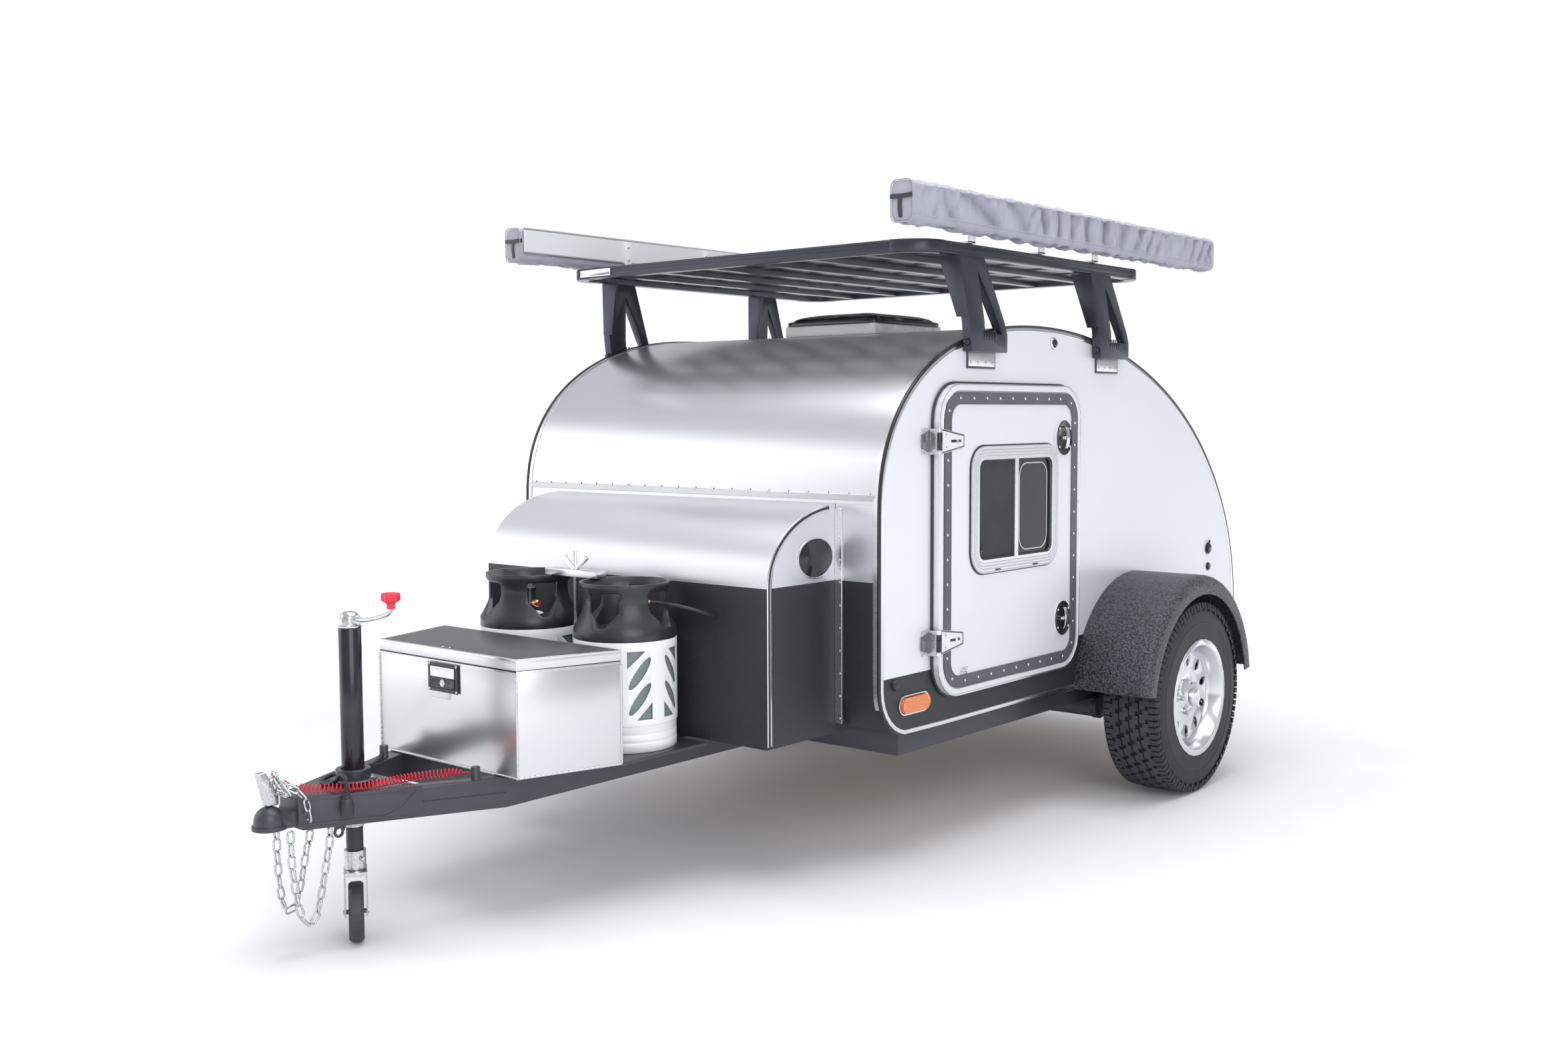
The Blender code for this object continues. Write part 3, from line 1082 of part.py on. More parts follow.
def make_axle():
    """The rubber-sprung axle: its tube, a trailing arm, a spindle and a brake back plate on each side."""
    tube_y = AXLE_Y - AXLE_SETBACK
    half = AXLE_TUBE / 2
    top = FRAME_BASE_Z - SEAT_GAP
    reach = FRAME_HALF_W + AXLE_ARM_T / 2
    axle = block("axle", (-reach, tube_y - half, top - AXLE_TUBE), (reach, tube_y + half, top), FRAME_PAINT)
    pieces = []
    for side, word in ((1, "left"), (-1, "right")):
        centre = top - half
        tilt = math.degrees(math.atan2(AXLE_Z - centre, AXLE_Y - tube_y))
        arm = (arc((tube_y, centre), AXLE_ARM_R, tilt + 270, tilt + 90, 8)
               + arc((AXLE_Y, AXLE_Z), AXLE_ARM_R * 0.8, tilt + 90, tilt - 90, 8))
        low, high = span(side, FRAME_HALF_W + SEAT_GAP, FRAME_HALF_W + AXLE_ARM_T)
        pieces.append(extruded(f"axle_arm_{word}", [arm], "x", low, high, FRAME_PAINT))
        pieces.append(rod(f"axle_spindle_{word}", (side * reach, AXLE_Y, AXLE_Z),
                      (side * (WHEEL_X + SPINDLE_R), AXLE_Y, AXLE_Z), SPINDLE_R, ZINC))
        plate = WHEEL_X - RIM_W / 4 - RUNNING_GAP * 2
        pieces.append(rod(f"back_plate_{word}", (side * (plate - BACK_PLATE_T), AXLE_Y, AXLE_Z),
                      (side * plate, AXLE_Y, AXLE_Z), BACK_PLATE_R, FRAME_PAINT, 28))
    join(axle, *pieces)


def make_wheels():
    edge = RIM_W / 2
    seat = edge - RIM_LIP_T
    rim_profile = [(RIM_FLANGE_R * radius, edge * x) for radius, x in RIM_FACE_SHARES]
    rim_profile += [(RIM_FLANGE_R, edge), (RIM_FLANGE_R, seat + SEAT_GAP),
                    (BEAD_R - SEAT_GAP, seat + SEAT_GAP),
                    (BEAD_R - SEAT_GAP, -seat - SEAT_GAP), (RIM_FLANGE_R, -seat - SEAT_GAP),
                    (RIM_FLANGE_R, -edge)]
    rim_profile += [(RIM_FLANGE_R * radius, edge * x) for radius, x in RIM_BACK_SHARES]
    rim_profile += [(DRUM_R, edge * 0.3), (DRUM_R, -edge / 2), (SPINDLE_R + SLIDING_GAP, -edge / 2),
                    (SPINDLE_R + SLIDING_GAP, edge * 0.3), (0.0, edge * 0.3)]
    above = RIM_FLANGE_R + SEAT_GAP * 4
    rise = TYRE_R - above
    wall = [(above + rise * radius, TYRE_W / 2 * x) for radius, x in TYRE_WALL_SHARES]
    tread = []
    for share in reversed(TREAD_GROOVE_SHARES):
        middle = TYRE_W / 2 * share
        bottom = TYRE_R - TREAD_GROOVE_DEPTH
        tread += [(TYRE_R, middle + TREAD_GROOVE_W / 2), (bottom, middle),
                  (TYRE_R, middle - TREAD_GROOVE_W / 2)]
    tyre_profile = [(radius, -x) for radius, x in reversed(wall)] + [(above, -seat), (BEAD_R, -seat),
                    (BEAD_R, seat), (above, seat)] + wall + tread
    for side, word, aim in ((1, "left", "x"), (-1, "right", "-x")):
        place = (side * WHEEL_X, AXLE_Y, AXLE_Z)
        rim = turned(f"rim_{word}", rim_profile, place, aim, POLISHED_RIM, WHEEL_STEPS)
        holes = []
        for i in range(RIM_HOLE_COUNT):
            angle = math.tau * (i + RIM_HOLE_TURN_SHARE) / RIM_HOLE_COUNT
            hole = rod(f"rim_hole_{word}_{i}", (0.0, 0.0, 0.0), (edge * 2, 0.0, 0.0), RIM_HOLE_R,
                       POLISHED_RIM, 10)
            hole.scale = (RIM_HOLE_STRETCH, 1.0, 1.0)
            hole.location = (side * (WHEEL_X + edge * 0.75), AXLE_Y + RIM_HOLE_PITCH_R * math.cos(angle),
                             AXLE_Z + RIM_HOLE_PITCH_R * math.sin(angle))
            hole.rotation_euler = (Matrix.Rotation(angle - math.pi / 2, 4, "X")
                                   @ Matrix.Rotation(math.pi / 2, 4, "Y")).to_euler()
            holes.append(hole)
        cut(rim, *holes)
        tyre = cut(turned(f"tyre_{word}", tyre_profile, place, aim, TYRE_RUBBER, WHEEL_STEPS),
                   lug_grooves(word, place))
        centre = pivot(f"wheel_centre_{word}", place)
        for piece in (rim, tyre):
            carried(piece, centre)


def lug_grooves(word, place):
    """The gaps between the tyre's shoulder lugs, all in one cutter."""
    grooves = bmesh.new()
    inner = TYRE_W / 2 * LUG_REACH_SHARE
    outer = TYRE_W / 2 + CUT_OVERRUN
    deep, clear = TYRE_R - LUG_GROOVE_DEPTH, TYRE_R + CUT_OVERRUN
    wedge = ((0.0, deep), (LUG_GROOVE_W, clear), (-LUG_GROOVE_W, clear))
    for i in range(LUG_COUNT):
        turn = Matrix.Translation(place) @ Matrix.Rotation(math.tau * (i + 0.5) / LUG_COUNT, 4, "X")
        for end in (-1, 1):
            near, far = [[grooves.verts.new(turn @ Vector((end * x, y, z))) for y, z in wedge]
                         for x in (inner, outer)]
            grooves.faces.new(near)
            grooves.faces.new(far[::-1])
            for j in range(3):
                k = (j + 1) % 3
                grooves.faces.new((near[k], near[j], far[j], far[k]))
    bmesh.ops.recalc_face_normals(grooves, faces=grooves.faces)
    mesh = bpy.data.meshes.new(f"lug_grooves_{word}")
    grooves.to_mesh(mesh)
    grooves.free()
    return dressed(placed(bpy.data.objects.new(f"lug_grooves_{word}", mesh)), f"lug_grooves_{word}",
                   TYRE_RUBBER)


def make_fenders():
    """Each fender is its cross-section swept about the wheel's centre, then given its thickness."""
    reach = FENDER_OUT_X - BODY_SIDE_X - SEAT_GAP
    bend = arc((reach - FENDER_EDGE_R, FENDER_R - FENDER_EDGE_R), FENDER_EDGE_R, 90, 0, 5)
    section = [(0.0, FENDER_R)] + bend + [(reach, FENDER_R - FENDER_LIP_H - FENDER_EDGE_R)]
    for side, word in ((1, "left"), (-1, "right")):
        shell = bmesh.new()
        rows = []
        for i in range(FENDER_STEPS + 1):
            angle = FENDER_START_ANGLE + (math.pi - 2 * FENDER_START_ANGLE) * i / FENDER_STEPS
            rows.append([shell.verts.new((side * (BODY_SIDE_X + SEAT_GAP + x), AXLE_Y + r * math.cos(angle),
                         AXLE_Z + r * math.sin(angle))) for x, r in section])
        for row, next_row in zip(rows, rows[1:]):
            for i in range(len(section) - 1):
                shell.faces.new((row[i], row[i + 1], next_row[i + 1], next_row[i]))
        bmesh.ops.recalc_face_normals(shell, faces=shell.faces)
        mesh = bpy.data.meshes.new(f"fender_{word}")
        shell.to_mesh(mesh)
        shell.free()
        fender = smooth(dressed(placed(bpy.data.objects.new(f"fender_{word}", mesh)), f"fender_{word}",
                                BLACK_LINER))
        solid = fender.modifiers.new("thickness", "SOLIDIFY")
        solid.thickness = FENDER_T
        solid.offset = 0.0


def make_vent():
    half = VENT_SIZE / 2
    roof = offset(FRONT_CURVE[PROFILE_STEPS // 2:] + rear_curve(0.0, HATCH_SPLIT_ANGLE)[1:], -SEAT_GAP)
    low, high = VENT_Y - half, VENT_Y + half
    under = [(low, underside_at(roof, low))] + [p for p in roof if low < p[0] < high]
    under.append((high, underside_at(roof, high)))
    base = extruded("vent_base", [under + [(high, VENT_TOP_Z), (low, VENT_TOP_Z)]], "x", -half, half,
                    BOTTLE_WHITE)
    throat = VENT_THROAT / 2
    cut(base, block("vent_throat", (-throat, VENT_Y - throat, NOSE_CURVE_Z), (throat, VENT_Y + throat,
        BODY_TOP_Z * 2), BOTTLE_WHITE))
    lid = block("vent_lid", (-VENT_LID_SIZE / 2, VENT_Y - VENT_LID_SIZE / 2, VENT_TOP_Z + SEAT_GAP),
                (VENT_LID_SIZE / 2, VENT_Y + VENT_LID_SIZE / 2, VENT_TOP_Z + VENT_LID_H), BLACK_PLASTIC)
    hollow = block("vent_lid_hollow", (VENT_LID_T - VENT_LID_SIZE / 2,
                                       VENT_Y + VENT_LID_T - VENT_LID_SIZE / 2,
                   VENT_TOP_Z - CUT_OVERRUN), (VENT_LID_SIZE / 2 - VENT_LID_T, VENT_Y + VENT_LID_SIZE / 2
                   - VENT_LID_T, VENT_TOP_Z + VENT_LID_H - VENT_LID_T), BLACK_PLASTIC)
    for thing in (lid, hollow):
        middle = max(point.co.z for point in thing.data.vertices)
        for point in thing.data.vertices:
            if point.co.z > middle - SEAT_GAP:
                point.co.x *= VENT_LID_TAPER_SHARE
                point.co.y = VENT_Y + (point.co.y - VENT_Y) * VENT_LID_TAPER_SHARE
    cut(lid, hollow)
    carried(lid, pivot("vent_pivot", (0.0, VENT_Y - VENT_LID_SIZE / 2, VENT_TOP_Z + SEAT_GAP)))


def make_rack():
    """The roof platform: its rail, its planks across it on lengthwise bearers, and the awnings' brackets."""
    front, rear = RACK_FRONT_Y, RACK_FRONT_Y + RACK_LENGTH
    outline = rounded_box(-RACK_HALF_W, front, RACK_HALF_W, rear, RACK_CORNER_R)
    inner = rounded_box(RACK_RAIL_W - RACK_HALF_W, front + RACK_RAIL_W, RACK_HALF_W - RACK_RAIL_W,
                        rear - RACK_RAIL_W, RACK_CORNER_R - RACK_RAIL_W)
    rack = extruded("rack_platform", [outline, inner], "z", RACK_BASE_Z, RACK_TOP_Z, RACK_BLACK)
    room = RACK_LENGTH - RACK_RAIL_W * 2
    plank = (room - PLANK_GAP * (PLANK_COUNT + 1)) / PLANK_COUNT
    deck = RACK_TOP_Z - PLANK_DROP
    reach = RACK_HALF_W - RACK_RAIL_W / 2
    for i in range(PLANK_COUNT):
        low = front + RACK_RAIL_W + PLANK_GAP + i * (plank + PLANK_GAP)
        join(rack, block(f"rack_plank_{i}", (-reach, low, deck - PLANK_T), (reach, low + plank, deck),
                         RACK_BLACK))
    pitch = (RACK_HALF_W * 2 - RACK_RAIL_W) / (BEARER_COUNT + 1)
    under = RACK_TOP_Z - PLANK_T
    for i in range(BEARER_COUNT):
        low = RACK_RAIL_W / 2 - RACK_HALF_W + pitch * (i + 1) - BEARER_W / 2
        join(rack, block(f"rack_bearer_{i}", (low, front + RACK_RAIL_W / 2, under - BEARER_H),
                         (low + BEARER_W, rear - RACK_RAIL_W / 2, under), RACK_BLACK))
    for side, word, shares in AWNING_BRACKETS:
        for i, share in enumerate(shares):
            low_y = front + RACK_LENGTH * share
            face = AWNING_IN_X - SEAT_GAP
            foot_low, foot_high = span(side, face - BRACKET_FOOT, face)
            post_low, post_high = span(side, face - BRACKET_T, face)
            outline = [(foot_low, RACK_TOP_Z - SEAT_GAP), (foot_high, RACK_TOP_Z - SEAT_GAP),
                       (foot_high, RACK_TOP_Z + BRACKET_T), (foot_low, RACK_TOP_Z + BRACKET_T)]
            foot = extruded(f"bracket_foot_{word}_{i}", [outline], "y", low_y, low_y + BRACKET_W, RACK_BLACK)
            post = block(f"bracket_post_{word}_{i}", (post_low, low_y, RACK_TOP_Z),
                         (post_high, low_y + BRACKET_W,
                         AWNING_TOP_Z - AWNING_CORNER_R), RACK_BLACK)
            join(rack, foot, post)



def lean_in(thing, start, end, distance):
    """Bends a piece that was drawn along x sideways, from nothing at one height to a distance at another."""
    shape = bmesh.new()
    shape.from_mesh(thing.data)
    everything = shape.verts[:] + shape.edges[:] + shape.faces[:]
    bmesh.ops.bisect_plane(shape, geom=everything, plane_co=(0.0, start, 0.0), plane_no=(0.0, 1.0, 0.0))
    for point in shape.verts:
        if point.co.y > start:
            point.co.z += distance * (point.co.y - start) / (end - start)
    shape.to_mesh(thing.data)
    shape.free()


def leg_flange(name, side, foot_y, slope, top):
    """The leg's front plate, over the roof: it follows the leg's sloping front edge and widens upwards."""
    low = BODY_TOP_Z + LEG_FLANGE_RISE
    outer = BODY_SIDE_X + LEG_PLATE_T + SEAT_GAP * 2 + LEG_T
    head_x = outer - LEG_LEAN - SEAT_GAP
    foot_x = outer - LEG_LEAN * (low - BODY_TOP_Z) / (top - BODY_TOP_Z) - SEAT_GAP * 3
    outline = [(side * (foot_x - LEG_FLANGE_LOW_W), low), (side * foot_x, low), (side * head_x, top),
               (side * (head_x - LEG_FLANGE_TOP_W), top)]
    flange = extruded(name, [outline], "y", foot_y - LEG_FLANGE_T / 2, foot_y + LEG_FLANGE_T, RACK_BLACK)
    for point in flange.data.vertices:
        point.co.z -= (point.co.y - LEG_BASE_Z) * slope
    return flange


def make_rack_legs():
    for side, word in ((1, "left"), (-1, "right")):
        for setback, place in ((LEG_FRONT_SETBACK, "front"), (LEG_REAR_SETBACK, "rear")):
            foot = RACK_FRONT_Y + setback
            top = RACK_BASE_Z - SEAT_GAP
            head_rear = foot + LEG_FOOT_HALF_L * 0.2 - LEG_FORWARD + LEG_HEAD_L / 2
            outline = [(foot - LEG_FOOT_HALF_L, LEG_BASE_Z), (foot + LEG_FOOT_HALF_L, LEG_BASE_Z),
                       (foot + LEG_FOOT_HALF_L, LEG_BASE_Z + LEG_STRUT_W), (head_rear, top),
                       (head_rear - LEG_HEAD_L, top)]
            rise = top - LEG_BASE_Z
            window = [(foot - LEG_STRUT_W / 2, LEG_BASE_Z + LEG_STRUT_W),
                      (foot + LEG_FOOT_HALF_L - LEG_STRUT_W / 2, LEG_BASE_Z + LEG_STRUT_W),
                      (head_rear - LEG_STRUT_W * 0.8, LEG_BASE_Z + rise * 0.86)]
            inner = BODY_SIDE_X + LEG_PLATE_T + SEAT_GAP * 2
            leg = extruded(f"rack_leg_{place}_{word}", [outline, window], "x",
                           *span(side, inner, inner + LEG_T), RACK_BLACK)
            lean_in(leg, BODY_TOP_Z + SEAT_GAP, top, -side * LEG_LEAN)
            slope = (head_rear - LEG_HEAD_L - foot + LEG_FOOT_HALF_L) / rise
            join(leg, leg_flange(f"leg_flange_{place}_{word}", side, foot - LEG_FOOT_HALF_L, slope, top))
            low, high = span(side, BODY_SIDE_X + SEAT_GAP, inner + SEAT_GAP)
            plate = extruded(f"leg_plate_{place}_{word}", [[
                             (foot - LEG_PLATE_HALF_L, LEG_BASE_Z - LEG_PLATE_H),
                             (foot + LEG_PLATE_HALF_L, LEG_BASE_Z - LEG_PLATE_H),
                             (foot + LEG_PLATE_HALF_L, LEG_BASE_Z + LEG_STRUT_W / 2),
                             (foot - LEG_PLATE_HALF_L, LEG_BASE_Z + LEG_STRUT_W / 2)]], "x", low, high,
                             BRIGHT_ALUMINIUM)
            join(leg, plate)


def make_awnings():
    front = BODY_FRONT_Y + AWNING_FRONT_SETBACK
    for side, word in ((1, "left"), (-1, "right")):
        low, high = span(side, AWNING_IN_X, AWNING_OUT_X)
        outline = rounded_box(low, AWNING_BASE_Z, high, AWNING_TOP_Z, AWNING_CORNER_R)
        extruded(f"awning_{word}", [outline], "y", front, front + AWNING_LENGTH, AWNING_GREY)


def make_lamps():
    for side, word in ((1, "left"), (-1, "right")):
        lamp_z = (BODY_BASE_Z + REAR_CORNER_R + SILL_TOP_Z) / 2
        rod(f"tail_lamp_{word}", (side * TAIL_LAMP_X, BODY_REAR_Y + SEAT_GAP, lamp_z),
            (side * TAIL_LAMP_X, BODY_REAR_Y + SEAT_GAP + TAIL_LAMP_DEPTH, lamp_z), TAIL_LAMP_R * 0.8,
            RED_LENS, 24)
        front = BODY_FRONT_Y + MARKER_SETBACK - MARKER_LENGTH / 2
        low, high = span(side, BODY_SIDE_X + SEAT_GAP, BODY_SIDE_X + MARKER_DEPTH)
        outline = rounded_box(front, MARKER_Z - MARKER_HEIGHT / 2, front + MARKER_LENGTH,
                              MARKER_Z + MARKER_HEIGHT / 2, MARKER_HEIGHT * 0.49)
        extruded(f"side_marker_{word}", [outline], "x", low, high, AMBER_LENS)


def smooth_route(points, steps=4):
    """Points on a smooth curve through the chosen ones."""
    made = []
    for i in range(len(points) - 1):
        before, start = points[max(i - 1, 0)], points[i]
        end, after = points[i + 1], points[min(i + 2, len(points) - 1)]
        for j in range(steps):
            t = j / steps
            shares = (-t + 2 * t ** 2 - t ** 3, 2 - 5 * t ** 2 + 3 * t ** 3, t + 4 * t ** 2 - 3 * t ** 3,
                      t ** 3 - t ** 2)
            made.append(tuple(sum(share * value for share, value in zip(shares, values)) / 2
                              for values in zip(before, start, end, after)))
    return made + [points[-1]]


def chain_links(name, route):
    """Flat links along a route, each turned a quarter from the last and sunk into it, as one body."""
    line = smooth_route(route, 6)
    spots = [Vector(point) for point in line]
    lengths = [(b - a).length for a, b in zip(spots, spots[1:])]
    count = round((sum(lengths) - CHAIN_LINK_L / 2) / CHAIN_PITCH)
    step = (sum(lengths) - CHAIN_LINK_L) / count
    outline = [(-CHAIN_LINK_L / 2, -CHAIN_LINK_W / 4), (-CHAIN_LINK_L / 4, -CHAIN_LINK_W / 2),
               (CHAIN_LINK_L / 4, -CHAIN_LINK_W / 2), (CHAIN_LINK_L / 2, -CHAIN_LINK_W / 4)]
    outline += [(-u, -v) for u, v in outline]
    sets = [bmesh.new(), bmesh.new()]
    for i in range(count + 1):
        along = CHAIN_LINK_L / 2 + step * i
        for a, b, length in zip(spots, spots[1:], lengths):
            if along <= length or b is spots[-1]:
                heading = (b - a).normalized()
                middle = a + heading * along
                break
            along -= length
        across = heading.cross(Vector((0.0, 1.0, 0.0))).normalized()
        flat = heading.cross(across)
        if i % 2:
            across, flat = flat, -across
        link = sets[i % 2]
        low, high = [[link.verts.new(middle + heading * u + across * v + flat * side * CHAIN_LINK_T / 2)
                      for u, v in outline] for side in (-1, 1)]
        link.faces.new(low[::-1])
        link.faces.new(high)
        for j in range(len(outline)):
            k = (j + 1) % len(outline)
            link.faces.new((low[j], low[k], high[k], high[j]))
    pieces = []
    for i, link in enumerate(sets):
        bmesh.ops.recalc_face_normals(link, faces=link.faces)
        mesh = bpy.data.meshes.new(f"{name}_{i}")
        link.to_mesh(mesh)
        link.free()
        pieces.append(dressed(placed(bpy.data.objects.new(f"{name}_{i}", mesh)), f"{name}_{i}", ZINC))
    pieces[0].name = name
    return join(*pieces)


# Routes as (x, y behind the coupler's tip, depth below the frame's underside)
CHAIN_ROUTES = {
    "left": ((0.045, 0.180, 0.0005), (0.045, 0.180, 0.040), (0.047, 0.169, 0.084), (0.046, 0.150, 0.174),
             (0.045, 0.132, 0.226), (0.043, 0.106, 0.228), (0.040, 0.090, 0.180), (0.036, 0.080, 0.094),
             (0.034, 0.078, 0.040), (0.034, 0.078, 0.0005)),
    "right": ((-0.045, 0.180, 0.0005), (-0.045, 0.180, 0.040), (-0.047, 0.170, 0.084),
              (-0.046, 0.151, 0.164), (-0.045, 0.133, 0.212), (-0.043, 0.108, 0.214),
              (-0.040, 0.092, 0.168), (-0.036, 0.083, 0.084), (-0.034, 0.081, 0.040),
              (-0.034, 0.081, 0.0005)),
}
# Routes as (x, y behind the coupler's tip, height of the centre line above the coupler's cover)
BREAKAWAY_ROUTE = ((0.018, 0.075, 0.046), (0.036, 0.115, 0.022), (0.072, 0.190, 0.0145),
                   (0.100, 0.260, 0.0128),
                   (0.108, 0.320, 0.0128), (0.120, 0.390, 0.0128), (0.148, 0.460, 0.0128),
                   (0.1913, 0.5058, 0.0128))
CABLE_ROUTE = ((0.108, 0.190, 0.0105), (0.107, 0.191, 0.028), (0.096, 0.194, 0.043), (0.070, 0.200, 0.044),
               (0.042, 0.202, 0.024), (0.006, 0.202, 0.010), (-0.045, 0.218, 0.0075),
               (-0.078, 0.265, 0.0075),
               (-0.078, 0.320, 0.0075), (-0.088, 0.380, 0.0075), (-0.130, 0.440, 0.006),
               (-0.193, 0.5046, 0.006))


def make_lines():
    for word, route in CHAIN_ROUTES.items():
        hung = [(x, COUPLER_TIP_Y + y, FRAME_BASE_Z - depth) for x, y, depth in route]
        chain_links(f"safety_chain_{word}", hung)
    cover = FRAME_TOP_Z + COUPLER_PLATE_T
    for name, route, radius, material in (("breakaway_cable", BREAKAWAY_ROUTE, COIL_R, RED_CABLE),
                                          ("trailer_cable", CABLE_ROUTE, CABLE_R, BLACK_PLASTIC)):
        laid = [(x, COUPLER_TIP_Y + y, cover + height) for x, y, height in route]
        tube(name, smooth_route(laid, 3), radius, material)
    x, y, height = CABLE_ROUTE[0]
    top = cover + height - SEAT_GAP
    turned("trailer_plug", [(0.0, top), (PLUG_NECK_R, top), (PLUG_R, top - PLUG_LENGTH * 0.25),
           (PLUG_R, top - PLUG_LENGTH), (0.0, top - PLUG_LENGTH)], (x, COUPLER_TIP_Y + y, 0.0), "z",
           BLACK_PLASTIC, 20)


MAKERS = (make_frame, make_coupler, make_jack, make_toolbox, make_bottles, make_nose_box, make_side_walls,
          make_skins, make_hatch, make_inside, make_doors, make_axle, make_wheels, make_fenders, make_vent,
          make_rack, make_rack_legs, make_awnings, make_lamps, make_lines)
for make in MAKERS:
    make()
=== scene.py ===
import math

import bmesh
import bpy
from mathutils import Matrix, Vector, noise


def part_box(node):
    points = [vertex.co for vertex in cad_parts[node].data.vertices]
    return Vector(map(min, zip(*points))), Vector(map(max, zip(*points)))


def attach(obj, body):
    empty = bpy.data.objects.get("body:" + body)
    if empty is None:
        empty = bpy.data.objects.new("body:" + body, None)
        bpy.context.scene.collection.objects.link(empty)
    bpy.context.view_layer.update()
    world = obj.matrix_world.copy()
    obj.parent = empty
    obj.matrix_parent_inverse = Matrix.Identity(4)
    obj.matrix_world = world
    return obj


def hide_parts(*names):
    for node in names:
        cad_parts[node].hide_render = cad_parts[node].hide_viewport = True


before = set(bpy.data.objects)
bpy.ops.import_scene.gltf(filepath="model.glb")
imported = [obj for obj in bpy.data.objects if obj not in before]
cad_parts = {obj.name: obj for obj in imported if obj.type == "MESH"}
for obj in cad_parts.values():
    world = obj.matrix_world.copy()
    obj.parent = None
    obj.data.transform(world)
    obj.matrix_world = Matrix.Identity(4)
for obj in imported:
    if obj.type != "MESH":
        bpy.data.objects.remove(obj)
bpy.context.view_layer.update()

SLOTS = {name: piece.material_slots[0].material.name.split(".")[0] for name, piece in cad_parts.items()
         if piece.material_slots}

# Places that the CAD part gives, in metres
BODY_SIDE_X = 0.762
BODY_FRONT_Y = -0.4623
BODY_REAR_Y = 1.9677
APEX_Y = 0.4097
BODY_TOP_Z = 1.62
BODY_BASE_Z = 0.4003
NOSE_BLACK_Z = 0.861
SIDE_BLACK_Z = 0.581
AXLE_Y = 1.0747
TYRE_R = 0.34
TREAD_START_R = 0.3352
WHEEL_X = 0.928
LUG_RING_R = 0.0575
COUPLER_TIP_Y = -1.98
FRAME_BASE_Z = 0.324
# How far the tongue spreads to each side for each metre back
TONGUE_SPREAD = 0.4663
# The closest points that count as one
MERGE_GAP = 0.00002
# Routes as (x, y, height above the coupler's cover)
BREAKAWAY_ROUTE = ((0.018, -1.905, 0.046), (0.036, -1.865, 0.022), (0.072, -1.79, 0.0145),
                   (0.1, -1.72, 0.0128), (0.108, -1.66, 0.0128), (0.12, -1.59, 0.0128),
                   (0.148, -1.52, 0.0128), (0.1913, -1.4742, 0.0128))
CABLE_ROUTE = ((0.108, -1.79, 0.0105), (0.107, -1.789, 0.028), (0.096, -1.786, 0.043), (0.07, -1.78, 0.044),
               (0.042, -1.778, 0.024), (0.006, -1.778, 0.01), (-0.045, -1.762, 0.0075),
               (-0.078, -1.715, 0.0075), (-0.078, -1.66, 0.0075), (-0.088, -1.6, 0.0075),
               (-0.13, -1.54, 0.006), (-0.193, -1.4754, 0.006))
COVER_TOP_Z = 0.4063


# Shader maths as Python expressions
class Reading:
    """A socket's value. Python's operators on it add Math nodes."""

    def __init__(self, finish, socket):
        self.finish = finish
        self.socket = socket

    def maths(self, operation, *values):
        return self.finish.node("ShaderNodeMath", {"operation": operation}, dict(enumerate(values)))

    def __add__(self, other):
        return self.maths("ADD", self, other)

    def __radd__(self, other):
        return self.maths("ADD", other, self)

    def __sub__(self, other):
        return self.maths("SUBTRACT", self, other)

    def __rsub__(self, other):
        return self.maths("SUBTRACT", other, self)

    def __mul__(self, other):
        return self.maths("MULTIPLY", self, other)

    def __rmul__(self, other):
        return self.maths("MULTIPLY", other, self)

    def sine(self):
        return self.maths("SINE", self)

    def size(self):
        return self.maths("ABSOLUTE", self)

    def above(self, edge, blur=0.0006):
        """0 below the edge and 1 above it."""
        return self.finish.node("ShaderNodeMapRange", {}, {0: self, 1: edge - blur, 2: edge + blur, 3: 0.0,
                                                           4: 1.0})


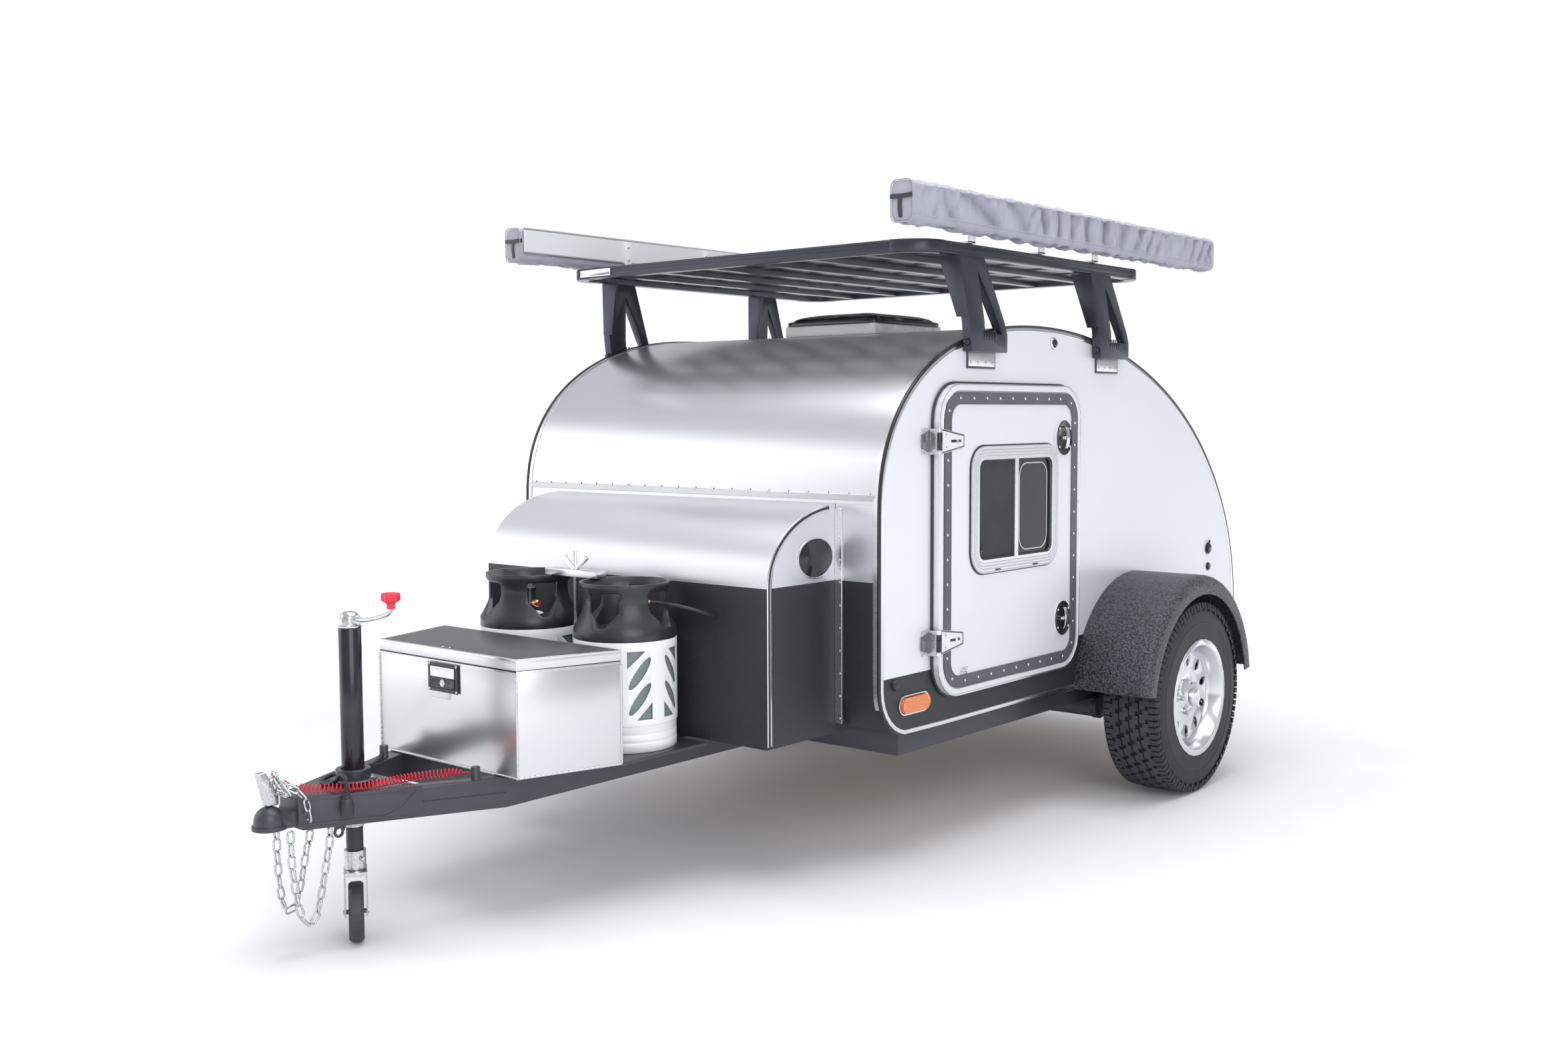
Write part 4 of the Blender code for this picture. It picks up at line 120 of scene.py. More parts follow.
class Finish:
    """A material of one Principled shader, with one method that adds its other nodes."""

    def __init__(self, name, **shader):
        self.material = bpy.data.materials.new(name)
        self.material.use_nodes = True
        self.tree = self.material.node_tree
        self.tree.nodes.clear()
        self.shader = self.tree.nodes.new("ShaderNodeBsdfPrincipled")
        output = self.tree.nodes.new("ShaderNodeOutputMaterial")
        self.tree.links.new(self.shader.outputs[0], output.inputs[0])
        self.coat({key.replace("_", " ").title(): value for key, value in shader.items()})

    def fill(self, node, inputs):
        for key, value in inputs.items():
            socket = node.inputs[key]
            if isinstance(value, Reading):
                self.tree.links.new(value.socket, socket)
            elif isinstance(value, (tuple, list)) and socket.type == "RGBA":
                socket.default_value = (*value[:3], 1.0)
            else:
                socket.default_value = value

    def node(self, kind, settings, inputs, output=0):
        node = self.tree.nodes.new(kind)
        for key, value in settings.items():
            if key != "stops":
                setattr(node, key, value)
                continue
            ramp = node.color_ramp
            while len(ramp.elements) < len(value):
                ramp.elements.new(0.5)
            for element, (place, colour) in zip(ramp.elements, value):
                element.position = place
                element.color = (*colour, 1.0)
        self.fill(node, inputs)
        return Reading(self, node.outputs[output])

    def coat(self, inputs):
        self.fill(self.shader, {key.replace("Ior", "IOR"): value for key, value in inputs.items()})
        return self

    def place(self, stretch=(1, 1, 1), turn=(0, 0, 0)):
        coordinates = self.node("ShaderNodeTexCoord", {}, {}, "Object")
        return self.node("ShaderNodeMapping", {}, {"Vector": coordinates, "Scale": stretch,
                                                   "Rotation": turn})

    def axes(self):
        """The x, y and z of a point, in metres."""
        coordinates = self.node("ShaderNodeTexCoord", {}, {}, "Object")
        split = self.tree.nodes.new("ShaderNodeSeparateXYZ")
        self.fill(split, {0: coordinates})
        return [Reading(self, socket) for socket in split.outputs]

    def mottle(self, scale, detail=3.0, roughness=0.55, stretch=(1, 1, 1), turn=(0, 0, 0)):
        return self.node("ShaderNodeTexNoise", {},
                         {"Vector": self.place(stretch, turn), "Scale": scale, "Detail": detail,
                          "Roughness": roughness})

    def cells(self, scale, feature="F1", stretch=(1, 1, 1), turn=(0, 0, 0)):
        return self.node("ShaderNodeTexVoronoi", {"feature": feature},
                         {"Vector": self.place(stretch, turn), "Scale": scale})

    def mix(self, mask, first, second):
        return self.node("ShaderNodeMix", {"data_type": "RGBA"}, {0: mask, 6: first, 7: second}, 2)

    def ramp(self, reading, stops):
        return self.node("ShaderNodeValToRGB", {"stops": stops}, {0: reading})

    def relief(self, height, depth):
        """Raises the surface by height times depth, which is in metres."""
        bump = self.node("ShaderNodeBump", {}, {"Strength": 1.0, "Distance": depth, "Height": height})
        return self.coat({"Normal": bump})


def shades(colour, low, high):
    return tuple(c * low for c in colour), tuple(min(c * high, 1.0) for c in colour)


# Finishes of the trailer
def silver_skin(name, colour, metal, shine, black_below=None):
    """Satin silver coachwork, with a textured black band where it has one, its grain painted lighter where
    it rises and darker in its pits as painted highlight and shade.
    """
    skin = Finish(name, specular_ior_level=0.5)
    haze = skin.mottle(2.2, 2.0)
    peel = skin.mottle(420.0, 1.0)
    dark, light = shades(colour, 0.955, 1.03)
    tone = skin.mix(haze, dark, light)
    rough = haze * 0.05 + (shine - 0.02) + peel * 0.03
    height = peel * 0.35
    if black_below is None:
        return skin.coat({"Base Color": tone, "Roughness": rough, "Metallic": metal}).relief(height, 0.00008)
    z = skin.axes()[2]
    upper = z.above(black_below)
    # The band's colour follows its pebbled relief: painted highlight on the raised grain, painted shade in
    # the pits.
    pebble_height_and_shade = skin.cells(620.0)
    tone = skin.mix(upper, skin.mix(pebble_height_and_shade, (0.006, 0.006, 0.009), (0.034, 0.035, 0.044)), tone)
    return skin.coat({"Base Color": tone, "Roughness": upper * rough + (1 - upper) * 0.42,
                      "Metallic": upper * metal}).relief(upper * height * 0.4 + (1 - upper) * pebble_height_and_shade,
                                                         0.0003)


def painted_steel():
    paint = Finish("chassis_grey_paint", coat_weight=0.25, coat_roughness=0.25)
    peel = paint.mottle(260.0, 2.0)
    dust = paint.mottle(5.0, 4.0)
    tone = paint.mix(dust, (0.034, 0.035, 0.046), (0.06, 0.062, 0.078))
    return paint.coat({"Base Color": tone, "Roughness": dust * 0.18 + 0.3, "Metallic": 0.25}).relief(peel,
                                                                                                     0.00018)


def zinc_plate(name="bright_zinc"):
    zinc = Finish(name, metallic=1.0)
    spangle = zinc.cells(160.0)
    scuff = zinc.mottle(38.0, 4.0)
    tone = zinc.mix(spangle, (0.42, 0.45, 0.47), (0.7, 0.72, 0.73))
    zinc.coat({"Base Color": tone, "Roughness": scuff * 0.22 + 0.14})
    return zinc.relief(scuff * 0.6 + spangle * 0.4, 0.0003)


def moulded_black(name, shine=0.36, grain=520.0, depth=0.00018, colour=(0.022, 0.022, 0.027)):
    plastic = Finish(name, specular_ior_level=0.55)
    texture = plastic.mottle(grain, 2.0)
    cloud = plastic.mottle(9.0, 3.0)
    dark, light = shades(colour, 0.75, 1.45)
    return plastic.coat({"Base Color": plastic.mix(cloud, dark, light),
                         "Roughness": cloud * 0.12 + shine}).relief(texture, depth)


def pebbled_black():
    """The thick bed-liner coat of the fenders, with painted highlights on the pebbles' tops and painted
    shade between them.
    """
    coat = Finish("fender_pebble_coat", specular_ior_level=0.5)
    pebble_height_and_shade = coat.cells(150.0)
    grit = coat.mottle(900.0, 2.0)
    # Pebble tops painted light and the low gaps between them painted dark, as painted highlight and painted
    # shade.
    tone = coat.mix(pebble_height_and_shade * 1.4, (0.12, 0.126, 0.15), (0.016, 0.017, 0.024))
    coat.coat({"Base Color": tone, "Roughness": grit * 0.25 + 0.16})
    return coat.relief(grit * 0.3 - pebble_height_and_shade * 0.9, 0.003)


def brushed_aluminium(name="brushed_aluminium", stretch=(1, 1, 30), shine=0.22, colour=(0.7, 0.71, 0.73)):
    metal = Finish(name, metallic=1.0)
    lines = metal.mottle(26.0, 5.0, 0.7, stretch)
    haze = metal.mottle(3.0, 3.0)
    tone = metal.mix(haze, *shades(colour, 0.9, 1.1))
    return metal.coat({"Base Color": tone, "Roughness": lines * 0.12 + shine}).relief(lines, 0.00005)


def bottle_shell():
    shell = Finish("bottle_casing_white", specular_ior_level=0.5)
    peel = shell.mottle(300.0, 1.0)
    tint = shell.mottle(4.0, 2.0)
    return shell.coat({"Base Color": shell.mix(tint, (0.78, 0.79, 0.8), (0.88, 0.88, 0.89)),
                       "Roughness": tint * 0.1 + 0.3}).relief(peel, 0.0001)


def birch_ply():
    wood = Finish("birch_plywood")
    grain = wood.mottle(7.0, 6.0, 0.65, (1, 9, 9))
    rays = wood.mottle(60.0, 3.0, 0.6, (1, 12, 12))
    tone = wood.ramp(grain * 0.75 + rays * 0.25, [(0.3, (0.36, 0.21, 0.1)), (0.52, (0.58, 0.4, 0.22)),
                                                 (0.72, (0.7, 0.53, 0.33))])
    return wood.coat({"Base Color": tone, "Roughness": rays * 0.2 + 0.38}).relief(grain * 0.5 + rays * 0.5,
                                                                                  0.0002)


def tinted_glass():
    glass = Finish("tinted_window_glass", coat_weight=0.12, coat_roughness=0.04, specular_ior_level=0.22)
    smear = glass.mottle(6.0, 3.0)
    return glass.coat({"Base Color": glass.mix(smear, (0.006, 0.006, 0.009), (0.022, 0.022, 0.028)),
                       "Roughness": smear * 0.1 + 0.03})


def polished_metal():
    metal = Finish("polished_rim_metal", metallic=1.0)
    rings = metal.mottle(46.0, 3.0, 0.6, (30, 1, 1))
    haze = metal.mottle(7.0, 3.0)
    return metal.coat({"Base Color": metal.mix(haze, (0.6, 0.61, 0.63), (0.78, 0.79, 0.81)),
                       "Roughness": haze * 0.06 + 0.15 + rings * 0.05})


def tyre_rubber():
    rubber = Finish("tyre_rubber", specular_ior_level=0.45)
    dust = rubber.mottle(14.0, 5.0, 0.65)
    grain = rubber.mottle(700.0, 2.0)
    y, z = rubber.axes()[1:]
    # Tread blocks get a lighter dusty grey; the carcass, sidewalls and groove bottoms stay dark, which in
    # the grooves is painted shade.
    tread_dust_and_groove_shade = ((y - AXLE_Y) * (y - AXLE_Y) + (z - TYRE_R) * (z - TYRE_R)).above(TREAD_START_R ** 2, 0.0008)
    wall = rubber.mix(dust, (0.006, 0.006, 0.009), (0.022, 0.022, 0.028))
    worn = rubber.mix(dust, (0.02, 0.02, 0.026), (0.072, 0.073, 0.086))
    return rubber.coat({"Base Color": rubber.mix(tread_dust_and_groove_shade, wall, worn),
                        "Roughness": dust * 0.25 + 0.4}).relief(grain, 0.00025)


def black_lining():
    lining = Finish("black_lining_felt", sheen_weight=0.3, sheen_roughness=0.5)
    fibres = lining.mottle(800.0, 3.0)
    return lining.coat({"Base Color": lining.mix(fibres, (0.01, 0.01, 0.012), (0.04, 0.04, 0.046)),
                        "Roughness": fibres * 0.1 + 0.85}).relief(fibres, 0.0004)


def rack_anodised():
    """Dark blue-grey anodised extrusions."""
    metal = Finish("rack_dark_anodised", specular_ior_level=0.6)
    lines = metal.mottle(30.0, 4.0, 0.6, (1, 1, 24))
    haze = metal.mottle(3.5, 3.0)
    return metal.coat({"Base Color": metal.mix(haze, (0.03, 0.033, 0.045), (0.058, 0.064, 0.083)),
                       "Roughness": lines * 0.1 + 0.26, "Metallic": 0.55}).relief(lines, 0.00003)


def awning_cloth():
    """Coated fabric: a plain weave seen only close by, with soft wear on it and painted shade in the valleys
    of its folds.
    """
    cloth = Finish("awning_coated_fabric", sheen_weight=0.25, sheen_roughness=0.4)
    x, y, z = cloth.axes()
    weave = (y * 4200.0).sine() * ((z + x) * 4200.0).sine()
    wear = cloth.mottle(11.0, 4.0)
    crease = cloth.mottle(55.0, 3.0, 0.6, (1, 0.35, 1), (0.5, 0.0, 0.0))
    # Painted shade: the cloth's colour is darkened where the folds' valleys lie.
    fold = cloth.node("ShaderNodeAttribute", {"attribute_name": "fold"}, {}, "Fac")
    tone = cloth.mix(wear, (0.275, 0.285, 0.35), (0.375, 0.385, 0.45))
    tone = cloth.mix(fold, tone, (0.075, 0.08, 0.115))
    cloth.coat({"Base Color": tone, "Roughness": wear * 0.15 + 0.52})
    return cloth.relief(weave * 0.06 + crease * 0.9, 0.0011)


def lens(name, deep, pale):
    """A moulded lamp lens with its cells."""
    plastic = Finish(name, coat_weight=1.0, coat_roughness=0.05)
    cells = plastic.cells(210.0, "F1")
    return plastic.coat({"Base Color": plastic.mix(cells, deep, pale),
                         "Roughness": cells * 0.2 + 0.1}).relief(cells, 0.0006)


def cable_sheath(name, colour, shine=0.34):
    sheath = Finish(name, specular_ior_level=0.5)
    scuff = sheath.mottle(90.0, 3.0)
    dark, light = shades(colour, 0.8, 1.15)
    return sheath.coat({"Base Color": sheath.mix(scuff, dark, light),
                        "Roughness": scuff * 0.16 + shine}).relief(scuff, 0.0002)


def fly_screen():
    """A dark woven screen: its fine grid lets a little of the pane behind through."""
    net = Finish("fly_screen_net", specular_ior_level=0.35)
    y, z = net.axes()[1:]
    grid = (y * 1900.0).sine().size() * (z * 1900.0).sine().size()
    haze = net.mottle(8.0, 3.0)
    return net.coat({"Base Color": net.mix(haze, (0.022, 0.022, 0.027), (0.06, 0.06, 0.068)),
                     "Roughness": grid * 0.3 + 0.45}).relief(grid, 0.0005)


def wound_fibre():
    """Grey-green glass fibre in fine level turns."""
    fibre = Finish("wound_glass_fibre", coat_weight=0.3, coat_roughness=0.2)
    z = fibre.axes()[2]
    turns = (z * 1250.0).sine()
    cloud = fibre.mottle(22.0, 4.0)
    tone = fibre.mix(cloud * 0.7 + turns * 0.15 + 0.1, (0.1, 0.135, 0.135), (0.24, 0.3, 0.295))
    return fibre.coat({"Base Color": tone, "Roughness": cloud * 0.15 + 0.34}).relief(turns, 0.0004)


FINISHES = {
    "roof_silver": silver_skin("roof_silver", (0.665, 0.675, 0.71), 0.9, 0.27),
    "nose_silver": silver_skin("nose_silver", (0.69, 0.7, 0.735), 0.8, 0.34, NOSE_BLACK_Z),
    "side_silver": silver_skin("side_silver", (0.74, 0.75, 0.795), 0.3, 0.34, SIDE_BLACK_Z),
    "door_silver": silver_skin("door_silver", (0.73, 0.74, 0.785), 0.3, 0.34),
    "chassis": painted_steel(),
    "zinc": zinc_plate(),
    "black_plastic": moulded_black("moulded_black_plastic"),
    "satin_black": moulded_black("satin_black_paint", 0.22, 240.0, 0.00008, (0.014, 0.014, 0.018)),
    "fender": pebbled_black(),
    "aluminium": brushed_aluminium(),
    "trim_chrome": brushed_aluminium("bright_trim", (1, 1, 1), 0.12, (0.68, 0.69, 0.72)),
    "bottle": bottle_shell(),
    "ply": birch_ply(),
    "glass": tinted_glass(),
    "rim": polished_metal(),
    "rubber": tyre_rubber(),
    "lining": black_lining(),
    "rack": rack_anodised(),
    "awning": awning_cloth(),
    "red_lens": lens("red_lens_plastic", (0.3, 0.004, 0.006), (0.62, 0.02, 0.02)),
    "amber_lens": lens("amber_lens_plastic", (0.5, 0.075, 0.003), (0.86, 0.23, 0.01)),
    "red_sheath": cable_sheath("red_cable_sheath", (0.72, 0.018, 0.045)),
    "black_sheath": cable_sheath("black_cable_sheath", (0.02, 0.02, 0.024), 0.42),
    "brass": brushed_aluminium("brass_fittings", (1, 1, 1), 0.2, (0.72, 0.47, 0.2)),
    "red_knob": cable_sheath("red_knob_plastic", (0.74, 0.02, 0.055), 0.3),
    "box_silver": silver_skin("box_satin_silver", (0.68, 0.685, 0.7), 0.95, 0.27),
    "collar": moulded_black("collar_satin_black", 0.26, 200.0, 0.00012, (0.02, 0.021, 0.027)),
    "gloss_black": moulded_black("gloss_black_plastic", 0.08, 90.0, 0.00005, (0.01, 0.01, 0.013)),
    "band": moulded_black("door_band_grey", 0.34, 380.0, 0.0001, (0.07, 0.072, 0.088)),
    "lid_coat": moulded_black("lid_charcoal_coat", 0.3, 420.0, 0.00016, (0.06, 0.062, 0.072)),
    "window_silver": silver_skin("window_frame_silver", (0.6, 0.61, 0.65), 0.7, 0.28),
    "hinge_steel": brushed_aluminium("hinge_dark_steel", (1, 1, 1), 0.16, (0.2, 0.205, 0.22)),
    "strip": brushed_aluminium("seam_strip_metal", (30, 1, 1), 0.18, (0.46, 0.47, 0.49)),
    "bracket_silver": silver_skin("bracket_silver", (0.74, 0.75, 0.78), 0.35, 0.34),
    "screen": fly_screen(),
    "bottle_fibre": wound_fibre(),
    "regulator": moulded_black("regulator_grey_green", 0.3, 300.0, 0.0001, (0.18, 0.22, 0.21)),
    "jack_tube": moulded_black("jack_gloss_black", 0.12, 120.0, 0.00006, (0.012, 0.012, 0.016)),
}
SLOT_FINISHES = {
    "silver_panel": "roof_silver", "aluminium_skin": "aluminium", "frame_paint": "chassis", "zinc": "zinc",
    "black_plastic": "black_plastic", "bright_aluminium": "aluminium", "bottle_white": "bottle",
    "plywood": "ply", "dark_glass": "glass", "polished_rim": "rim", "tyre_rubber": "rubber",
    "black_liner": "lining", "rack_black": "rack", "awning_grey": "awning", "red_lens": "red_lens",
    "amber_lens": "amber_lens", "red_cable": "red_sheath",
}
NODE_FINISHES = {
    "side_wall_left": "side_silver", "side_wall_right": "side_silver", "door_left": "door_silver",
    "door_right": "door_silver", "front_panel": "nose_silver", "nose_box": "nose_silver",
    "roof_panel": "roof_silver", "galley_hatch": "roof_silver", "fender_left": "fender",
    "fender_right": "fender", "jack_tube": "satin_black", "vent_base": "bottle", "vent_lid": "satin_black",
    "trailer_cable": "black_sheath", "trailer_plug": "black_sheath",
}


def dress_nodes():
    """Gives every CAD node its finish, by its material slot or by its own name."""
    for name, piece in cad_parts.items():
        finish = NODE_FINISHES.get(name) or SLOT_FINISHES[SLOTS[name]]
        for own in piece.material_slots:
            own.material = FINISHES[finish].material


def look_from(place, yaw, pitch, roll, focal):
    """The camera at the photograph's place: yaw turns left from +Y, pitch up from level."""
    camera = bpy.data.cameras.new("photo_camera")
    camera.sensor_width = 36.0
    camera.lens = focal
    camera.clip_end = 200.0
    holder = bpy.data.objects.new("photo_camera", camera)
    bpy.context.scene.collection.objects.link(holder)
    turn = Matrix.Rotation(yaw, 4, "Z") @ Matrix.Rotation(math.pi / 2 + pitch, 4, "X")
    turn = turn @ Matrix.Rotation(roll, 4, "Z")
    holder.matrix_world = Matrix.Translation(place) @ turn
    bpy.context.scene.camera = holder


# Modelling in edit mode
def leave_edit():
    if bpy.context.mode != "OBJECT":
        bpy.ops.object.mode_set(mode="OBJECT")


def alone(piece):
    leave_edit()
    bpy.ops.object.select_all(action="DESELECT")
    piece.select_set(True)
    bpy.context.view_layer.objects.active = piece
    return piece


def begin(shape, place=(0, 0, 0), turn=(0, 0, 0), stretch=(1, 1, 1), **sizes):
    """A primitive in its place, alone in the selection, with its place in its mesh."""
    leave_edit()
    bpy.ops.object.select_all(action="DESELECT")
    getattr(bpy.ops.mesh, f"primitive_{shape}_add")(**sizes)
    piece = bpy.context.object
    move = Matrix.LocRotScale(Vector(place), Matrix.Identity(3).to_quaternion(), None)
    for axis, angle in zip("XYZ", turn):
        move = move @ Matrix.Rotation(angle, 4, axis)
    piece.data.transform(move @ Matrix.Diagonal((*stretch, 1)))
    return piece


def slab(low, high):
    """A cube between two corners, to be shaped further."""
    middle = [(a + b) / 2 for a, b in zip(low, high)]
    return begin("cube", middle, stretch=[b - a for a, b in zip(low, high)], size=1)


def choose(piece, kind, test):
    """Edit mode, with the verts, edges or faces that pass the test selected."""
    alone(piece)
    bpy.ops.object.mode_set(mode="EDIT")
    bpy.ops.mesh.select_mode(type={"verts": "VERT", "edges": "EDGE", "faces": "FACE"}[kind])
    bpy.ops.mesh.select_all(action="DESELECT")
    shape = bmesh.from_edit_mesh(piece.data)
    shape.normal_update()
    for part in getattr(shape, kind):
        if test(part):
            part.select_set(True)
    bmesh.update_edit_mesh(piece.data)


def facing(axis, sign, least=0.9):
    return lambda face: face.normal["xyz".index(axis)] * sign > least


def extrude(move):
    bpy.ops.mesh.extrude_region_move(TRANSFORM_OT_translate={"value": move})


def turned_out():
    """Turns every face outwards and leaves edit mode."""
    bpy.ops.mesh.select_all(action="SELECT")
    bpy.ops.mesh.normals_make_consistent(inside=False)
    leave_edit()


def pressed(piece, axis, sign, inset, push, extruded=True):
    """Insets the face that looks along an axis, and extrudes or moves it along the axis."""
    choose(piece, "faces", facing(axis, sign))
    bpy.ops.mesh.inset(thickness=inset)
    move = [push if letter == axis else 0.0 for letter in "xyz"]
    if extruded:
        extrude(move)
    else:
        bpy.ops.transform.translate(value=move)
    leave_edit()
    return piece


def flat_face(points):
    """One flat face through the points, selected in edit mode."""
    piece = begin("circle", vertices=len(points), fill_type="NGON")
    for vert, point in zip(piece.data.vertices, points):
        vert.co = point
    choose(piece, "faces", lambda face: True)
    return piece


def modified(piece, kind, **settings):
    alone(piece)
    change = piece.modifiers.new(kind.lower(), kind)
    for key, value in settings.items():
        setattr(change, key, value)
    bpy.ops.object.modifier_apply(modifier=change.name)
    return piece


def eased(piece, width, segments=2, angle=30):
    """Rounds the edges that are sharper than the angle."""
    return modified(piece, "BEVEL", width=width, segments=segments, limit_method="ANGLE",
                    angle_limit=math.radians(angle))


def cut(piece, cutter):
    modified(piece, "BOOLEAN", operation="DIFFERENCE", solver="EXACT", object=cutter)
    bpy.data.objects.remove(cutter)


def merged(pieces):
    alone(pieces[0])
    for piece in pieces[1:]:
        piece.select_set(True)
    if len(pieces) > 1:
        bpy.ops.object.join()
    return pieces[0]


def copied(piece, move):
    """A copy with its own mesh, moved by a matrix. A mirroring one turns its faces back outwards."""
    copy = piece.copy()
    copy.data = piece.data.copy()
    bpy.context.scene.collection.objects.link(copy)
    copy.data.transform(move)
    if move.determinant() < 0:
        copy.data.flip_normals()
    return copy


def repeated(piece, moves):
    """One piece of all the copies, each moved by its matrix."""
    copies = [copied(piece, move) for move in moves]
    bpy.data.objects.remove(piece)
    return merged(copies)


def mirrored(piece):
    """A copy on the trailer's other side."""
    return copied(piece, Matrix.Diagonal((-1, 1, 1, 1)))


def moved(x=0.0, y=0.0, z=0.0):
    return Matrix.Translation((x, y, z))


def aimed(start, way):
    """The turn that brings one direction onto another."""
    return Vector(start).rotation_difference(Vector(way)).to_matrix().to_4x4()


def turned_about(centre, axis, angle):
    return Matrix.Translation(centre) @ Matrix.Rotation(angle, 4, axis) @ Matrix.Translation(-Vector(centre))


def finished(piece, name, finish, body="trailer", angle=38):
    """Names the piece, smooths it, gives it its finish and hangs it on a body."""
    alone(piece)
    bpy.ops.object.shade_smooth_by_angle(angle=math.radians(angle))
    piece.name = name
    piece.data.name = name
    piece.data.materials.clear()
    piece.data.materials.append(FINISHES[finish].material)
    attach(piece, body)
    return piece


def paired(piece, name, finish, bodies=("trailer", "trailer"), angle=38):
    """The piece on the left, and its mirror image on the right."""
    other = mirrored(piece)
    return [finished(piece, f"{name}_left", finish, bodies[0], angle),
            finished(other, f"{name}_right", finish, bodies[1], angle)]


def spun(profile, place, axis, steps=48):
    """A profile of (radius, height) points, drawn point by point and spun about the axis through place."""
    piece = begin("plane", size=0.001)
    choose(piece, "verts", lambda vert: True)
    bpy.ops.mesh.merge(type="CENTER")
    spots = [Vector((radius, 0.0, height)) for radius, height in profile]
    bpy.ops.transform.translate(value=spots[0])
    for before, after in zip(spots, spots[1:]):
        bpy.ops.mesh.extrude_vertices_move(TRANSFORM_OT_translate={"value": after - before})
    bpy.ops.mesh.select_all(action="SELECT")
    bpy.ops.mesh.spin(steps=steps, angle=math.tau, center=(0, 0, 0), axis=(0, 0, 1))
    bpy.ops.mesh.select_all(action="SELECT")
    bpy.ops.mesh.remove_doubles(threshold=MERGE_GAP)
    turned_out()
    aims = {"z": (0, 0, 0), "-z": (math.pi, 0, 0), "x": (0, math.pi / 2, 0), "-x": (0, -math.pi / 2, 0),
            "y": (-math.pi / 2, 0, 0), "-y": (math.pi / 2, 0, 0)}
    turn = Matrix.Identity(4)
    for letter, angle in zip("XYZ", aims[axis]):
        turn = turn @ Matrix.Rotation(angle, 4, letter)
    piece.data.transform(Matrix.Translation(place) @ turn)
    return piece


def drawn(path, axis, width, depth, closed=False):
    """A bar of a width in the path's plane and a depth along the plane's axis, extruded along the path."""
    path = [Vector(point) for point in path]
    number = "xyz".index(axis)
    normal = Vector([float(i == number) for i in range(3)])
    headings = []
    count = len(path)
    for i in range(count):
        before = path[i - 1] if closed or i else path[0]
        after = path[(i + 1) % count] if closed or i < count - 1 else path[-1]
        headings.append((after - before).normalized())
    start = headings[0]
    across = normal.cross(start).normalized()
    piece = begin("plane", size=1)
    frame_turn = Matrix((normal * depth, across * width, start)).transposed().to_4x4()
    piece.data.transform(Matrix.Translation(path[0]) @ frame_turn)
    choose(piece, "faces", lambda face: True)
    stops = list(range(1, count)) + ([0] if closed else [])
    last = 0
    for i in stops:
        extrude(path[i] - path[last])
        angle = math.atan2(headings[last].cross(headings[i]).dot(normal), headings[last].dot(headings[i]))
        if abs(angle) > 1e-5:
            bpy.ops.transform.rotate(value=-angle, orient_axis=axis.upper(), orient_type="GLOBAL",
                                     center_override=path[i])
        last = i
    if closed:
        bpy.ops.mesh.delete(type="ONLY_FACE")
        choose(piece, "faces", lambda face: abs(face.normal.dot(start)) > 0.999
               and (face.calc_center_median() - path[0]).length < 1e-5)
        bpy.ops.mesh.delete(type="ONLY_FACE")
    bpy.ops.mesh.select_all(action="SELECT")
    bpy.ops.mesh.remove_doubles(threshold=MERGE_GAP)
    turned_out()
    return piece


def arc(centre, radius, start, end, steps=6):
    """Points on an arc of a plane, with its angles in degrees."""
    angles = [math.radians(start + (end - start) * i / steps) for i in range(steps + 1)]
    return [(centre[0] + radius * math.cos(a), centre[1] + radius * math.sin(a)) for a in angles]


def rounded(low_u, low_v, high_u, high_v, radius, steps=6):
    corners = ((high_u - radius, low_v + radius, -90), (high_u - radius, high_v - radius, 0),
               (low_u + radius, high_v - radius, 90), (low_u + radius, low_v + radius, 180))
    return [point for u, v, start in corners for point in arc((u, v), radius, start, start + 90, steps)]


def spaced(points, count, closed=True):
    """Places at even steps along a line, each with its heading's angle."""
    ring = [Vector((*point, 0.0)) for point in points]
    if closed:
        ring.append(ring[0])
    lengths = [(b - a).length for a, b in zip(ring, ring[1:])]
    total = sum(lengths)
    found = []
    for i in range(count):
        target = total * i / (count if closed else count - 1)
        for a, b, length in zip(ring, ring[1:], lengths):
            if target <= length + 1e-9 and length > 1e-9:
                spot = a.lerp(b, min(target / length, 1.0))
                found.append((spot.x, spot.y, math.atan2(b.y - a.y, b.x - a.x)))
                break
            target -= length
    return found


def dome_head(radius, height, steps=10):
    """A low rivet or screw head at the origin, its top towards +x."""
    return spun([(radius, 0.0), (radius * 0.92, height * 0.55), (radius * 0.6, height * 0.92),
                 (0.0, height)],
                (0, 0, 0), "x", steps)


def smooth_line(points, steps=6):
    """A smooth curve through chosen points."""
    spots = [Vector(point) for point in points]
    line = []
    for i in range(len(spots) - 1):
        before = spots[max(i - 1, 0)]
        after = spots[min(i + 2, len(spots) - 1)]
        for j in range(steps):
            t = j / steps
            line.append(0.5 * (2 * spots[i] + (spots[i + 1] - before) * t
                               + (2 * before - 5 * spots[i] + 4 * spots[i + 1] - after) * t ** 2
                               + (3 * spots[i] - before - 3 * spots[i + 1] + after) * t ** 3))
    return line + [spots[-1]]


def length_of(line):
    return sum((b - a).length for a, b in zip(line, line[1:]))


def round_curve(name, line, radius, resolution):
    """A curve of one open spline with a round section."""
    curve = bpy.data.curves.new(name, "CURVE")
    curve.dimensions = "3D"
    curve.bevel_depth = radius
    curve.bevel_resolution = resolution
    curve.use_fill_caps = True
    spline = curve.splines.new("POLY")
    spline.points.add(len(line) - 1)
    for point, spot in zip(spline.points, line):
        point.co = (*spot, 1.0)
    spline.use_smooth = True
    piece = bpy.data.objects.new(name, curve)
    bpy.context.scene.collection.objects.link(piece)
    return piece


def corded(name, line, radius, finish, body="trailer"):
    """A cord, which stays a curve."""
    piece = round_curve(name, line, radius, 2)
    piece.data.materials.append(FINISHES[finish].material)
    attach(piece, body)
    return piece


